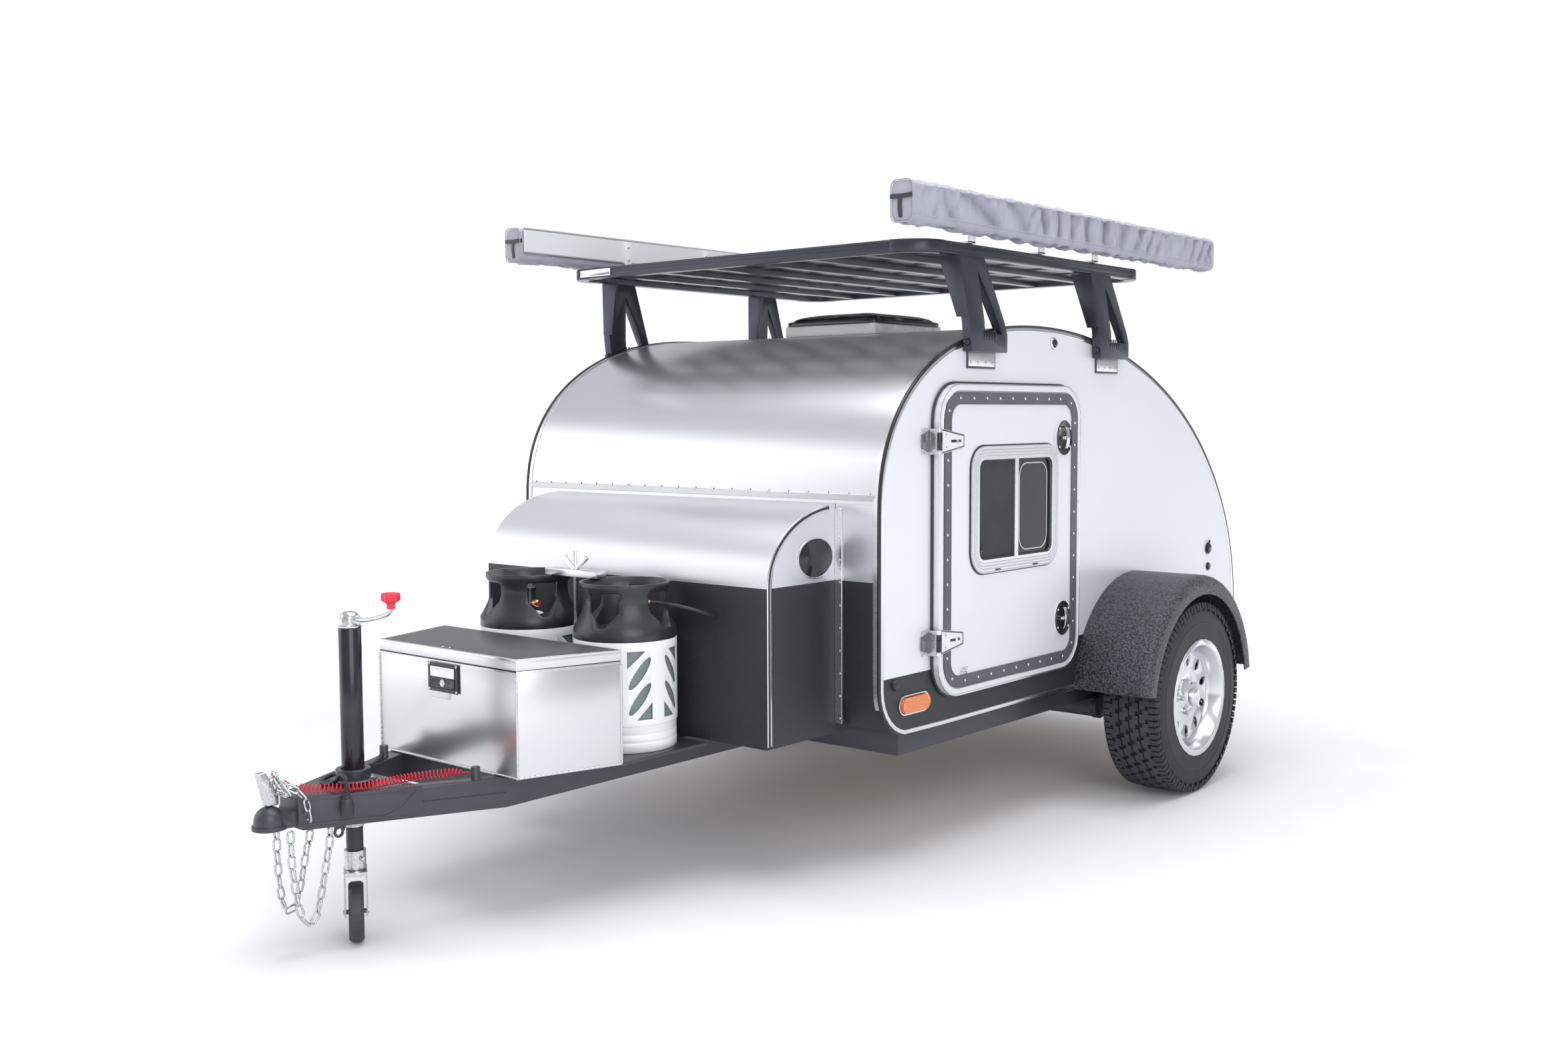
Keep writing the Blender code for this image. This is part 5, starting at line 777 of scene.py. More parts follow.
def bar_along(line, radius, steps=6):
    """A round bar along a line, as a mesh."""
    piece = round_curve("bar", line, radius, steps // 2)
    alone(piece)
    bpy.ops.object.convert(target="MESH")
    return piece


def taken(node):
    """A copy of a CAD node's mesh, its doubles merged and its flat faces made whole again."""
    piece = bpy.data.objects.new(node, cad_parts[node].data.copy())
    bpy.context.scene.collection.objects.link(piece)
    choose(piece, "verts", lambda vert: True)
    bpy.ops.mesh.remove_doubles(threshold=MERGE_GAP)
    bpy.ops.mesh.dissolve_limited(angle_limit=math.radians(1.5))
    leave_edit()
    return piece


def refined(node, finish, width=0.0015, body="trailer", segments=2, angle=40):
    """The CAD node's own form with its edges eased, shown in its place."""
    piece = taken(node)
    if width:
        eased(piece, width, segments, angle)
    finished(piece, f"{node}_eased", finish, body)
    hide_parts(node)
    return piece


# (CAD node, its finish, the ease of its edges, its body)
EASED_NODES = (
    ("frame", "chassis", 0.0035, "trailer"),
    ("coupler", "chassis", 0.0012, "trailer"),
    ("coupler_lever", "zinc", 0.003, "trailer"),
    ("toolbox", "box_silver", 0.0016, "trailer"),
    ("toolbox_lid", "box_silver", 0.0016, "box_lid"),
    ("rack_platform", "rack", 0.0016, "trailer"),
    ("rack_leg_front_left", "rack", 0.0014, "trailer"),
    ("rack_leg_front_right", "rack", 0.0014, "trailer"),
    ("rack_leg_rear_left", "rack", 0.0014, "trailer"),
    ("rack_leg_rear_right", "rack", 0.0014, "trailer"),
    ("bottle_collar_left", "collar", 0.0022, "trailer"),
    ("bottle_collar_right", "collar", 0.0022, "trailer"),
    ("bottle_clamp", "aluminium", 0.001, "trailer"),
    ("jack_fork", "zinc", 0.0008, "caster_fork"),
    ("vent_base", "bottle", 0.005, "trailer"),
    ("galley_hatch", "roof_silver", 0.0014, "hatch"),
    ("fender_left", "fender", 0.002, "trailer"),
    ("fender_right", "fender", 0.002, "trailer"),
    ("axle", "chassis", 0.0015, "trailer"),
    ("roof_panel", "roof_silver", 0.0, "trailer"),
    ("front_panel", "nose_silver", 0.0, "trailer"),
    ("nose_box", "nose_silver", 0.0, "trailer"),
    ("rim_left", "rim", 0.0012, "wheel_left"),
    ("rim_right", "rim", 0.0012, "wheel_right"),
)


def refine_nodes():
    for node, finish, width, body in EASED_NODES:
        refined(node, finish, width, body)


# Cords, which come first
def over_cover(route):
    return [(x, y, COVER_TOP_Z + height) for x, y, height in route]


def make_breakaway_cord():
    """The coiled red cable from the lever to the eye on the frame, with its straight ends."""
    line = smooth_line(over_cover(BREAKAWAY_ROUTE), 24)
    total = length_of(line)
    winding, wire, pitch = 0.0098, 0.0016, 0.0098
    start, end = 0.03, total - 0.018
    turns = round((end - start) / pitch)
    steps = turns * 14
    coil = []
    run = 0.0
    stations = [(0.0, line[0])]
    for a, b in zip(line, line[1:]):
        run += (b - a).length
        stations.append((run, b))

    def at(along):
        for (s0, a), (s1, b) in zip(stations, stations[1:]):
            if along <= s1:
                return a.lerp(b, (along - s0) / max(s1 - s0, 1e-9)), (b - a).normalized()
        return stations[-1][1], (stations[-1][1] - stations[-2][1]).normalized()

    for i in range(5):
        coil.append(at(start * i / 5)[0])
    for i in range(steps + 1):
        share = i / steps
        middle, heading = at(start + (end - start) * share)
        side = heading.cross(Vector((0, 0, 1))).normalized()
        up = side.cross(heading)
        grown = winding * min(1.0, share * turns / 1.2, (1 - share) * turns / 1.2)
        angle = math.tau * turns * share
        coil.append(middle + (side * math.cos(angle) + up * math.sin(angle)) * grown)
    for i in range(1, 5):
        coil.append(at(end + (total - end) * i / 4)[0])
    cord = corded("breakaway_coil", coil, wire, "red_sheath")
    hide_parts("breakaway_cable")
    length_of(coil)


def make_light_cable():
    """The black lead that loops round the jack and hangs its plug over the cover's side."""
    line = smooth_line(over_cover(CABLE_ROUTE), 5)[::-1]
    cable = corded("light_cable", line, 0.0058, "black_sheath")
    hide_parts("trailer_cable")
    low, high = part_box("trailer_plug")
    x, y = (low.x + high.x) / 2, (low.y + high.y) / 2
    top, base = high.z, low.z
    radius = (high.x - low.x) / 2
    ribs = [(0.0062, 0.0), (0.0085, -0.001)]
    for i in range(4):
        ribs += [(0.0088 + i * 0.0006, -0.003 - i * 0.004), (0.0078 + i * 0.0006, -0.0045 - i * 0.004)]
    drop = top - base
    body = ribs + [(radius * 0.8, -0.02), (radius * 0.97, -0.026), (radius, -0.034), (radius, -drop + 0.01),
                   (radius * 0.985, -drop + 0.0015), (radius * 0.94, -drop), (radius * 0.84, -drop),
                   (radius * 0.82, -drop + 0.012), (0.0, -drop + 0.012)]
    plug = finished(spun(body, (x, y, top), "z", 28), "light_plug", "black_plastic")
    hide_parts("trailer_plug")
    pin = spun([(0.0019, 0.0), (0.0019, -0.0075), (0.0012, -0.0085), (0.0, -0.0085)], (0, 0, 0), "z", 8)
    spots = [(0.0, 0.0)] + arc((0.0, 0.0), radius * 0.52, 0, 300, 5)
    pins = finished(repeated(pin, [moved(x + u, y + v, base + 0.0125) for u, v in spots]), "plug_pins",
                    "brass")
    length_of(line)


# Wheels and fenders
def hub(side=1):
    return Vector((side * WHEEL_X, AXLE_Y, TYRE_R))


def make_tyres():
    """A carcass with its moulded sidewall rings, four rows of interlocking tread blocks and a row of
    shoulder lugs on each side.
    """
    side = [(0.19, 0.098), (0.196, 0.1015), (0.202, 0.1012), (0.2045, 0.0985), (0.2075, 0.0995),
            (0.208, 0.101), (0.214, 0.1016), (0.246, 0.1022), (0.262, 0.1022), (0.263, 0.103),
            (0.266, 0.103), (0.267, 0.102), (0.285, 0.1012), (0.3, 0.0985), (0.301, 0.0993), (0.304, 0.099),
            (0.305, 0.0972), (0.312, 0.096), (0.3225, 0.0905), (0.33, 0.08), (0.3315, 0.05)]
    profile = side + [(0.3322, 0.0)] + [(r, -x) for r, x in reversed(side)]
    carcass = spun(profile, hub(), "x", 96)
    rows = []
    pitches = 46
    top = hub() + Vector((0, 0, 0.33))
    pitch = math.tau * 0.336 / pitches

    def around(lug, shift):
        return repeated(lug, [turned_about(hub(), "X", math.tau * (i + shift) / pitches)
                              for i in range(pitches)])

    for place, half, shift, lift in ((-0.0555, 0.0165, 0.5, 0.0), (-0.0185, 0.0165, 0.0, 0.0006),
                                     (0.0185, 0.0165, 0.5, 0.0006), (0.0555, 0.0165, 0.0, 0.0)):
        lug = begin("grid", top + Vector((place, 0, lift)), x_subdivisions=3, y_subdivisions=3, size=1,
                    stretch=(half * 2.12, pitch * 1.04, 1))
        x0 = top.x + place
        y0 = top.y
        choose(lug, "faces", lambda face: (face.calc_center_median().x - x0)
               * (face.calc_center_median().y - y0) < -half * pitch * 0.2)
        bpy.ops.mesh.delete(type="FACE")
        choose(lug, "faces", lambda face: True)
        extrude((0, 0, 0.0094 - lift))
        bpy.ops.transform.resize(value=(0.9, 0.94, 1), center_override=(x0, y0, top.z))
        turned_out()
        rows.append(around(lug, shift))
    for end in (-1, 1):
        for shift, reach in ((0.0, 0.0195), (0.5, 0.0125)):
            lug = begin("cube", top + Vector((end * (0.0855 - 0.002), 0, 0.0005)), size=1,
                        stretch=(0.025, pitch * 0.4, 0.0155))
            choose(lug, "faces", facing("x", end))
            extrude((end * 0.005, 0, -reach))
            bpy.ops.transform.resize(value=(1, 0.86, 0.75), center_override=top + Vector((end * 0.098, 0,
                                                                                          -reach)))
            leave_edit()
            eased(lug, 0.0012, 1)
            rows.append(around(lug, shift))
    tyre = merged([carcass] + rows)
    for vert in tyre.data.vertices:
        out = vert.co - hub()
        far = math.hypot(out.y, out.z)
        most = TYRE_R - 0.0001
        crown = most - 0.0045 * min(abs(out.x) / 0.09, 1.0) ** 3
        if far > crown:
            vert.co.y = hub().y + out.y * crown / far
            vert.co.z = hub().z + out.z * crown / far
    for piece in paired(tyre, "tread_tyre", "rubber", ("wheel_left", "wheel_right"), 30):
        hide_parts(piece.name.replace("tread_tyre", "tyre"))


def make_wheel_trim():
    """The lug nuts and the centre cap of each rim."""
    for word, body, end in (("left", "wheel_left", 1), ("right", "wheel_right", -1)):
        centre = hub(end)
        disc_x = centre.x + end * 0.0545
        nut = begin("cone", vertices=6, radius1=0.0105, radius2=0.0085, depth=0.016, end_fill_type="NGON")
        pressed(nut, "z", 1, 0.0022, 0.004)
        eased(nut, 0.0012, 2)
        nut.data.transform(Matrix.Rotation(end * math.pi / 2, 4, "Y"))
        nuts = repeated(nut, [Matrix.Translation((disc_x + end * 0.008, centre.y + LUG_RING_R * math.cos(a),
                                                  centre.z + LUG_RING_R * math.sin(a)))
                              for a in (math.tau * (i + 0.5) / 5 for i in range(5))])
        finished(nuts, f"lug_nuts_{word}", "trim_chrome", body)
        cap = spun([(0.033, 0.0), (0.0335, 0.01), (0.0315, 0.0125), (0.03, 0.012), (0.028, 0.015),
                    (0.015, 0.0185), (0.0, 0.0195)], (centre.x + end * 0.0765, centre.y, centre.z),
                   "x" if end > 0 else "-x", 36)
        finished(cap, f"centre_cap_{word}", "trim_chrome", body)


# Body trim
def superellipse(steps=28):
    points = []
    for i in range(steps + 1):
        angle = math.pi / 2 * i / steps
        along = math.cos(angle) ** (2 / 2.3) if i < steps else 0.0
        up = math.sin(angle) ** (2 / 2.3) if i else 0.0
        points.append((APEX_Y - (APEX_Y - BODY_FRONT_Y) * along, 1.05 + (BODY_TOP_Z - 1.05) * up))
    return points


def body_profile():
    """The side's outline from the bottom of the front round over the roof to the rear sill, as (y, z)."""
    lower = arc((BODY_FRONT_Y + 0.15, BODY_BASE_Z + 0.15), 0.15, 270, 180, 8)
    rear = [(APEX_Y + 1.558 * math.sin(a), 0.57 + 1.05 * math.cos(a))
            for a in (math.pi / 2 * (i + 1) / 34 for i in range(34))]
    corner = arc((BODY_REAR_Y - 0.05, BODY_BASE_Z + 0.05), 0.05, 0, -90, 5)
    return lower + superellipse() + rear + corner


def set_in(points, distance):
    """A line of (u, v) points moved to its right-hand side."""
    found = []
    for i, (u, v) in enumerate(points):
        before, after = points[max(i - 1, 0)], points[min(i + 1, len(points) - 1)]
        du, dv = after[0] - before[0], after[1] - before[1]
        length = math.hypot(du, dv) or 1.0
        found.append((u + dv / length * distance, v - du / length * distance))
    return found


def make_edge_trim():
    """The bright bead along each side's outline, with its black moulding over the corner."""
    outline = [(y, BODY_BASE_Z) for y in (0.655, 0.4, 0.15, -0.15)] + body_profile()[1:-3]
    bead = drawn([(BODY_SIDE_X - 0.0042, y, z) for y, z in set_in(outline, 0.01)], "x", 0.015, 0.012)
    paired(eased(bead, 0.0032, 3), "edge_trim", "trim_chrome")
    insert = drawn([(BODY_SIDE_X - 0.003, y, z) for y, z in set_in(outline, -0.0006)], "x", 0.009, 0.0105)
    paired(eased(insert, 0.0024, 2), "edge_insert", "satin_black")


def make_roof_flange():
    """The trim's flat leg, which laps over the skins along both sides."""
    outline = body_profile()[6:-3]
    leg = drawn([(BODY_SIDE_X - 0.011, y, z) for y, z in set_in(outline, -0.0012)], "x", 0.0022, 0.024)
    paired(leg, "edge_lap", "aluminium")


def riveted(name, spots, finish, body="trailer", radius=0.0034, height=0.0016):
    """Rivet heads at places, each with the direction that it faces."""
    head = dome_head(radius, height)
    moves = [Matrix.Translation(spot) @ aimed((1, 0, 0), way) for spot, way in spots]
    return finished(repeated(head, moves), name, finish, body, 60)


def make_seam_strip():
    """The riveted strip that covers the seam between the front panel and the roof."""
    points = [(y, z) for y, z in superellipse(60) if 1.078 <= z <= 1.118]
    line = set_in(points, -0.001)
    strip = drawn([(0.0, y, z) for y, z in line], "x", 0.0024, 1.492)
    finished(eased(strip, 0.0008, 1), "seam_strip", "strip")
    y, z = line[len(line) // 2]
    (y0, z0), (y1, z1) = line[0], line[-1]
    out = Vector((0, -(z1 - z0), y1 - y0)).normalized()
    spots = [(Vector((-0.72 + 1.44 * i / 19, y, z)) + out * 0.001, out) for i in range(20)]
    riveted("seam_rivets", spots, "trim_chrome", "trailer", 0.0052, 0.003)


# The doors, with everything that is screwed to them
DOOR_Y, DOOR_Z, DOOR_R = (-0.2063, 0.6387), (0.488, 1.433), 0.11
WINDOW_Y, WINDOW_Z, WINDOW_R = (-0.0383, 0.4817), (0.85, 1.243), 0.07
DOOR_FACE_X = 0.788
HINGE_HEIGHTS = (1.261, 0.664)
LATCH_HEIGHTS = (1.262, 0.662)
LATCH_Y = 0.5207
HINGE_PIN = (0.797, -0.2193, 0.0)
BAND_INSET = 0.044
DOORS = ("door_leaf_left", "door_leaf_right")
DOOR_EDGE = (DOOR_Y, DOOR_Z, DOOR_R)
WINDOW_EDGE = (WINDOW_Y, WINDOW_Z, WINDOW_R)


def frame_line(ys, zs, radius, inset, x, steps=8):
    """A closed line in from a rounded outline, as points at one x."""
    return [(x, y, z) for y, z in rounded(ys[0] + inset, zs[0] + inset, ys[1] - inset, zs[1] - inset,
                                          max(radius - inset, 0.004), steps)]


def framed(edge, inset, x, width, depth, ease, rounds=2):
    """A bar with eased edges along an outline, given as its ys, its zs and its corners' radius."""
    return eased(drawn(frame_line(*edge, inset, x), "x", width, depth, True), ease, rounds)


def make_door_edges():
    """The rubber lip, the rolled bright flange and the dark screwed band round each door."""
    paired(framed(DOOR_EDGE, -0.003, 0.7668, 0.0062, 0.007, 0.0016), "door_rubber", "black_plastic", DOORS)
    roll = framed(DOOR_EDGE, 0.0035, 0.7876, 0.007, 0.0044, 0.0018, 3)
    paired(roll, "door_rolled_edge", "trim_chrome", DOORS)
    step = framed(DOOR_EDGE, 0.0225, 0.788, 0.003, 0.003, 0.0008, 1)
    paired(step, "door_flange_step", "trim_chrome", DOORS)
    band = drawn(frame_line(DOOR_Y, DOOR_Z, DOOR_R, BAND_INSET, 0.7898), "x", 0.0372, 0.0042, True)
    pressed(band, "x", 1, 0.004, -0.0007)
    paired(eased(band, 0.0007, 1), "door_band", "band", DOORS)


def screw(radius=0.0046):
    """A round screw head facing +x, with a cross in it."""
    head = dome_head(radius, radius * 0.55, 12)
    slot = slab((radius * 0.3, -radius * 0.55, -radius * 0.09), (radius, radius * 0.55, radius * 0.09))
    other = copied(slot, Matrix.Rotation(math.pi / 2, 4, "X"))
    for cutter in (slot, other):
        cut(head, cutter)
    return head


def make_door_screws():
    ring = [(y, z) for _, y, z in frame_line(DOOR_Y, DOOR_Z, DOOR_R, BAND_INSET, 0.0)]
    spots = [(y, z) for y, z, _ in spaced(ring, 42)
             if not (y < -0.1 and min(abs(z - height) for height in HINGE_HEIGHTS) < 0.046)]
    spots = [(DOOR_FACE_X + 0.003, y, z) for y, z in spots]
    spots += [(DOOR_FACE_X, 0.625, z) for z in (1.05, 0.95)]
    for height in LATCH_HEIGHTS:
        spots += [(0.7958, LATCH_Y + u, height + v) for u in (-0.034, 0.034) for v in (-0.03, 0.03)]
    head = screw()
    screws = repeated(head, [Matrix.Translation(spot) @ Matrix.Rotation(0.7 * i, 4, "X")
                             for i, spot in enumerate(spots)])
    paired(screws, "door_screws", "trim_chrome", DOORS, 50)


def make_latches():
    """Each latch's oval dish, its bowed lever and the shaft across it."""
    dish = spun([(0.0572, 0.0), (0.0575, 0.003), (0.056, 0.0046), (0.052, 0.0046), (0.05, 0.0034),
                 (0.046, 0.002), (0.02, 0.0014), (0.0, 0.0014)], (0, 0, 0), "x", 48)
    dish.data.transform(Matrix.Diagonal((1, 0.095 / 0.115, 1, 1)))
    bow = [(0.0055 + 0.0105 * math.cos(a), 0.0, 0.036 * math.sin(a)) for a in
           (math.pi * (i / 12 - 0.5) for i in range(13))]
    lever = drawn(bow, "y", 0.0034, 0.017)
    eased(lever, 0.0012, 2)
    shaft = spun([(0.0, -0.025), (0.004, -0.025), (0.005, -0.0235), (0.005, -0.011), (0.0066, -0.01),
                  (0.0066, 0.01), (0.005, 0.011), (0.005, 0.0235), (0.004, 0.025), (0.0, 0.025)],
                 (0.0068, 0.0, 0.0), "y", 16)
    places = [moved(0.7921, LATCH_Y, height) for height in LATCH_HEIGHTS]
    paired(repeated(dish, places), "latch_dish", "gloss_black", DOORS)
    paired(repeated(lever, places), "latch_lever", "trim_chrome", DOORS)
    paired(repeated(shaft, places), "latch_shaft", "trim_chrome", DOORS)


def make_hinges():
    """The tapered straps on the doors, and the wall plates and black knuckles on the body."""
    strap = slab((0.7884, -0.2005, -0.037), (0.7938, -0.079, 0.037))
    choose(strap, "verts", lambda vert: vert.co.y > -0.1)
    bpy.ops.transform.resize(value=(1, 1, 0.5), center_override=(0.79, -0.079, 0.0))
    pressed(strap, "x", 1, 0.005, -0.0018)
    eased(strap, 0.0011, 2)
    slot = slab((0.7916, -0.15, -0.0046), (0.7932, -0.096, 0.0046))
    eased(slot, 0.0022, 3, 60)
    bolt = begin("cylinder", (0.7936, -0.118, 0.0), (0, math.pi / 2, 0), vertices=6, radius=0.0062,
                 depth=0.0034)
    pressed(bolt, "x", 1, 0.0026, -0.0016)
    head = screw(0.0052)
    heads = repeated(head, [moved(0.7922, -0.176, 0.019), moved(0.7922, -0.176, -0.019)])
    lifts = [moved(z=height) for height in HINGE_HEIGHTS]
    paired(repeated(strap, lifts), "hinge_strap", "hinge_steel", DOORS)
    paired(repeated(slot, lifts), "hinge_slot", "gloss_black", DOORS)
    paired(repeated(merged([bolt, heads]), lifts), "hinge_bolts", "trim_chrome", DOORS)
    plate = slab((0.7626, -0.262, -0.034), (0.7712, -0.225, 0.034))
    choose(plate, "verts", lambda vert: vert.co.y < -0.25)
    bpy.ops.transform.resize(value=(1, 1, 0.62), center_override=(0.77, -0.25, 0.0))
    leave_edit()
    eased(plate, 0.0014, 2)
    knuckle = spun([(0.0, -0.026), (0.0098, -0.026), (0.0103, -0.025), (0.0103, 0.025), (0.0098, 0.026),
                    (0.0, 0.026)], HINGE_PIN, "z", 20)
    ring = spun([(0.0, -0.006), (0.0086, -0.006), (0.0098, -0.005), (0.0098, 0.005), (0.0086, 0.006),
                 (0.0, 0.006)], HINGE_PIN, "z", 20)
    rings = repeated(ring, [moved(z=0.033), moved(z=-0.033)])
    paired(repeated(plate, lifts), "hinge_plate", "hinge_steel")
    paired(repeated(knuckle, lifts), "hinge_knuckle", "gloss_black")
    paired(repeated(rings, lifts), "hinge_rings", "trim_chrome")


def make_window_trim():
    """The frame's ridges and gasket, the fly screen in front and the sliding pane behind the middle bar."""
    ridges = []
    for inset, width, x in ((0.0035, 0.0066, 0.793), (0.0135, 0.0052, 0.7934), (0.0225, 0.0052, 0.7934),
                            (0.0315, 0.005, 0.793)):
        ridges.append(framed(WINDOW_EDGE, inset, x, width, 0.008, 0.0014))
    paired(merged(ridges), "window_ridges", "window_silver", DOORS)
    gasket = framed(WINDOW_EDGE, -0.0022, 0.789, 0.0038, 0.0036, 0.001)
    paired(gasket, "window_gasket", "gloss_black", DOORS)
    seal = framed(WINDOW_EDGE, 0.044, 0.7862, 0.006, 0.008, 0.0012)
    paired(seal, "window_inner_seal", "black_plastic", DOORS)
    bar = slab((0.785, 0.2155, 0.8905), (0.793, 0.2285, 1.2025))
    paired(eased(bar, 0.002, 3), "window_bar_cover", "window_silver", DOORS)
    screen = slab((0.7845, 0.006, 0.8925), (0.7856, 0.213, 1.2005))
    paired(eased(screen, 0.0004, 1), "fly_screen", "screen", DOORS)
    pane = frame_line((0.233, 0.44), (0.89, 1.203), 0.06, 0.018, 0.785)
    paired(eased(drawn(pane, "x", 0.0042, 0.003, True), 0.001, 2), "sliding_pane_edge", "window_silver",
           DOORS)
    catch = slab((0.7856, 0.01, 0.906), (0.7905, 0.028, 0.933))
    pressed(catch, "x", 1, 0.004, 0.0026)
    paired(eased(catch, 0.0012, 2), "window_catch", "gloss_black", DOORS)
    drain = slab((0.7966, -0.015, -0.0022), (0.7974, 0.015, 0.0022))
    eased(drain, 0.0018, 2, 60)
    paired(repeated(drain, [moved(y=0.11, z=0.858), moved(y=0.335, z=0.858)]), "drain_slots", "gloss_black",
           DOORS)


# The tool box, the gas bottles and the nose box
BOX_FRONT_Y, BOX_REAR_Y = -1.4048, -1.1138
BOX_FRONT_X, BOX_REAR_X = 0.296, 0.38
BOX_FOOT_Z = 0.4038
BOTTLES = ((0.207, "left", 17.0), (-0.207, "right", 5.0))
BOTTLE_Y = -0.9308


def box_plan(piece, inset=0.0):
    """Narrows a slab drawn at the rear width to the tool box's plan."""
    choose(piece, "verts", lambda vert: vert.co.y < (BOX_FRONT_Y + BOX_REAR_Y) / 2)
    share = (BOX_FRONT_X - inset) / (BOX_REAR_X - inset)
    bpy.ops.transform.resize(value=(share, 1, 1), center_override=(0, BOX_FRONT_Y, 0))
    leave_edit()
    return piece


def box_slab(inset, low_z, high_z):
    return box_plan(slab((inset - BOX_REAR_X, BOX_FRONT_Y + inset, low_z),
                         (BOX_REAR_X - inset, BOX_REAR_Y - inset, high_z)), inset)


def weld_bead(length, radius=0.0032, ripple=0.0026):
    """A rippled bead along z from the origin."""
    count = round(length / ripple)
    rows = [(0.0, 0.0)]
    for i in range(count):
        z = length * (i + 0.5) / count
        rows += [(radius * (0.8 + 0.14 * (i % 3 == 0)), z - ripple * 0.42),
                 (radius * (1.0 + 0.1 * (i % 2)), z)]
    return spun(rows + [(0.0, length)], (0, 0, 0), "z", 8)


def make_box_trim():
    """The dark lid top in its bright rim, the seal, the welded edges and the rivets."""
    top = box_slab(0.0105, 0.7128, 0.7146)
    finished(eased(top, 0.0008, 2), "box_lid_top", "lid_coat", "box_lid")
    rim = box_slab(-0.0006, 0.7085, 0.7136)
    pressed(rim, "z", 1, 0.01, -0.0004)
    finished(eased(rim, 0.0012, 3), "box_lid_rim", "trim_chrome", "box_lid")
    seal = box_slab(0.0004, 0.68, 0.6845)
    choose(seal, "faces", lambda face: abs(face.normal.z) > 0.9)
    bpy.ops.mesh.inset(thickness=0.0035)
    leave_edit()
    seal.data.transform(Matrix.Translation((0, -0.0006, 0)))
    finished(eased(seal, 0.0012, 2), "box_seal", "gloss_black")
    lip = box_slab(-0.0012, 0.6765, 0.6798)
    choose(lip, "faces", lambda face: abs(face.normal.z) > 0.9)
    bpy.ops.mesh.inset(thickness=0.003)
    leave_edit()
    finished(eased(lip, 0.001, 2), "box_lip", "trim_chrome")
    upright = weld_bead(0.27)
    corners = [moved(side * x, y, 0.4055) for x, y in ((BOX_FRONT_X + 0.0004, BOX_FRONT_Y),
                                                      (BOX_REAR_X, BOX_REAR_Y)) for side in (-1, 1)]
    uprights = repeated(upright, corners)
    low = weld_bead(BOX_FRONT_X * 2)
    low.data.transform(Matrix.Translation((-BOX_FRONT_X, BOX_FRONT_Y,
                                           BOX_FOOT_Z)) @ Matrix.Rotation(math.pi / 2, 4, "Y"))
    run = Vector((BOX_REAR_X - BOX_FRONT_X, BOX_REAR_Y - BOX_FRONT_Y, 0))
    side = weld_bead(run.length)
    turn = aimed((0, 0, 1), run.normalized())
    side.data.transform(Matrix.Translation((BOX_FRONT_X, BOX_FRONT_Y, BOX_FOOT_Z)) @ turn)
    other = mirrored(side)
    finished(merged([uprights, low, side, other]), "box_weld_beads", "box_silver", angle=60)
    riveted("box_lid_rivets", [((x, -1.383, 0.7144), (0, 0, 1)) for x in (-0.036, -0.006)], "trim_chrome",
            "box_lid", 0.0036, 0.0014)


LATCH_X, LATCH_Z = -0.002, 0.6365
LATCH_HALF_W, LATCH_HALF_H = 0.064, 0.0395


def latch_slab(left, low, right, high, back, front, inset=0.0, push=0.0, ease=0.0016):
    """A slab on the tool box's front, in shares of the latch's half width and half height."""
    piece = slab((LATCH_X + LATCH_HALF_W * left, BOX_FRONT_Y - front, LATCH_Z + LATCH_HALF_H * low),
                 (LATCH_X + LATCH_HALF_W * right, BOX_FRONT_Y - back, LATCH_Z + LATCH_HALF_H * high))
    if inset:
        pressed(piece, "y", -1, inset, push)
    return eased(piece, ease, 3)


def make_box_latch():
    """The black flush latch: its frame with four screws, its bright paddle and its lock."""
    finished(latch_slab(-1, -1, 1, 1, 0.0036, 0.0068, 0.01, 0.0022), "latch_plate", "gloss_black")
    finished(latch_slab(-0.8, 0.02, 0.8, 0.72, 0.004, 0.0082, 0.004, 0.0008), "latch_paddle", "trim_chrome")
    finished(latch_slab(-0.8, -0.72, 0.8, -0.02, 0.004, 0.0076, 0.005, 0.0012), "latch_grip", "gloss_black")
    low_z = LATCH_Z - LATCH_HALF_H * 0.38
    barrel = spun([(0.0, -0.003), (0.0105, -0.003), (0.0105, 0.001), (0.009, 0.0022), (0.0062, 0.0022),
                   (0.0058, 0.0014), (0.0, 0.0014)], (LATCH_X, BOX_FRONT_Y - 0.0066, low_z), "-y", 28)
    finished(barrel, "latch_lock", "zinc")
    key = slab((LATCH_X - 0.0008, BOX_FRONT_Y - 0.0084, low_z - 0.0035),
               (LATCH_X + 0.0008, BOX_FRONT_Y - 0.0074, low_z + 0.0035))
    finished(eased(key, 0.0004, 1), "latch_keyway", "gloss_black")
    head = screw(0.0036)
    head.data.transform(Matrix.Rotation(-math.pi / 2, 4, "Z"))
    finished(repeated(head, [moved(LATCH_X + u, BOX_FRONT_Y - 0.0066, LATCH_Z + v) for u in (-0.0585, 0.0585)
                             for v in (-0.0345, 0.0345)]), "latch_screws", "trim_chrome", angle=50)


def leaf(middle_u, middle_z, long, wide, lean, steps=14):
    """A leaning oval opening's outline."""
    points = []
    for i in range(steps):
        a = math.tau * i / steps
        u, v = long * math.cos(a), wide * math.sin(a)
        points.append((middle_u + u * math.cos(lean) - v * math.sin(lean),
                       middle_z + u * math.sin(lean) + v * math.cos(lean)))
    return points


# One panel of the casing's openings as (distance round the bottle, height) points in metres
CASING_OPENINGS = (
    [(-0.036, 0.69), (0.016, 0.69), (-0.036, 0.642)],
    leaf(0.0, 0.628, 0.054, 0.0135, math.radians(55)),
    leaf(0.0, 0.556, 0.054, 0.0135, math.radians(55)),
    [(0.036, 0.546), (0.036, 0.498), (-0.01, 0.498)],
)


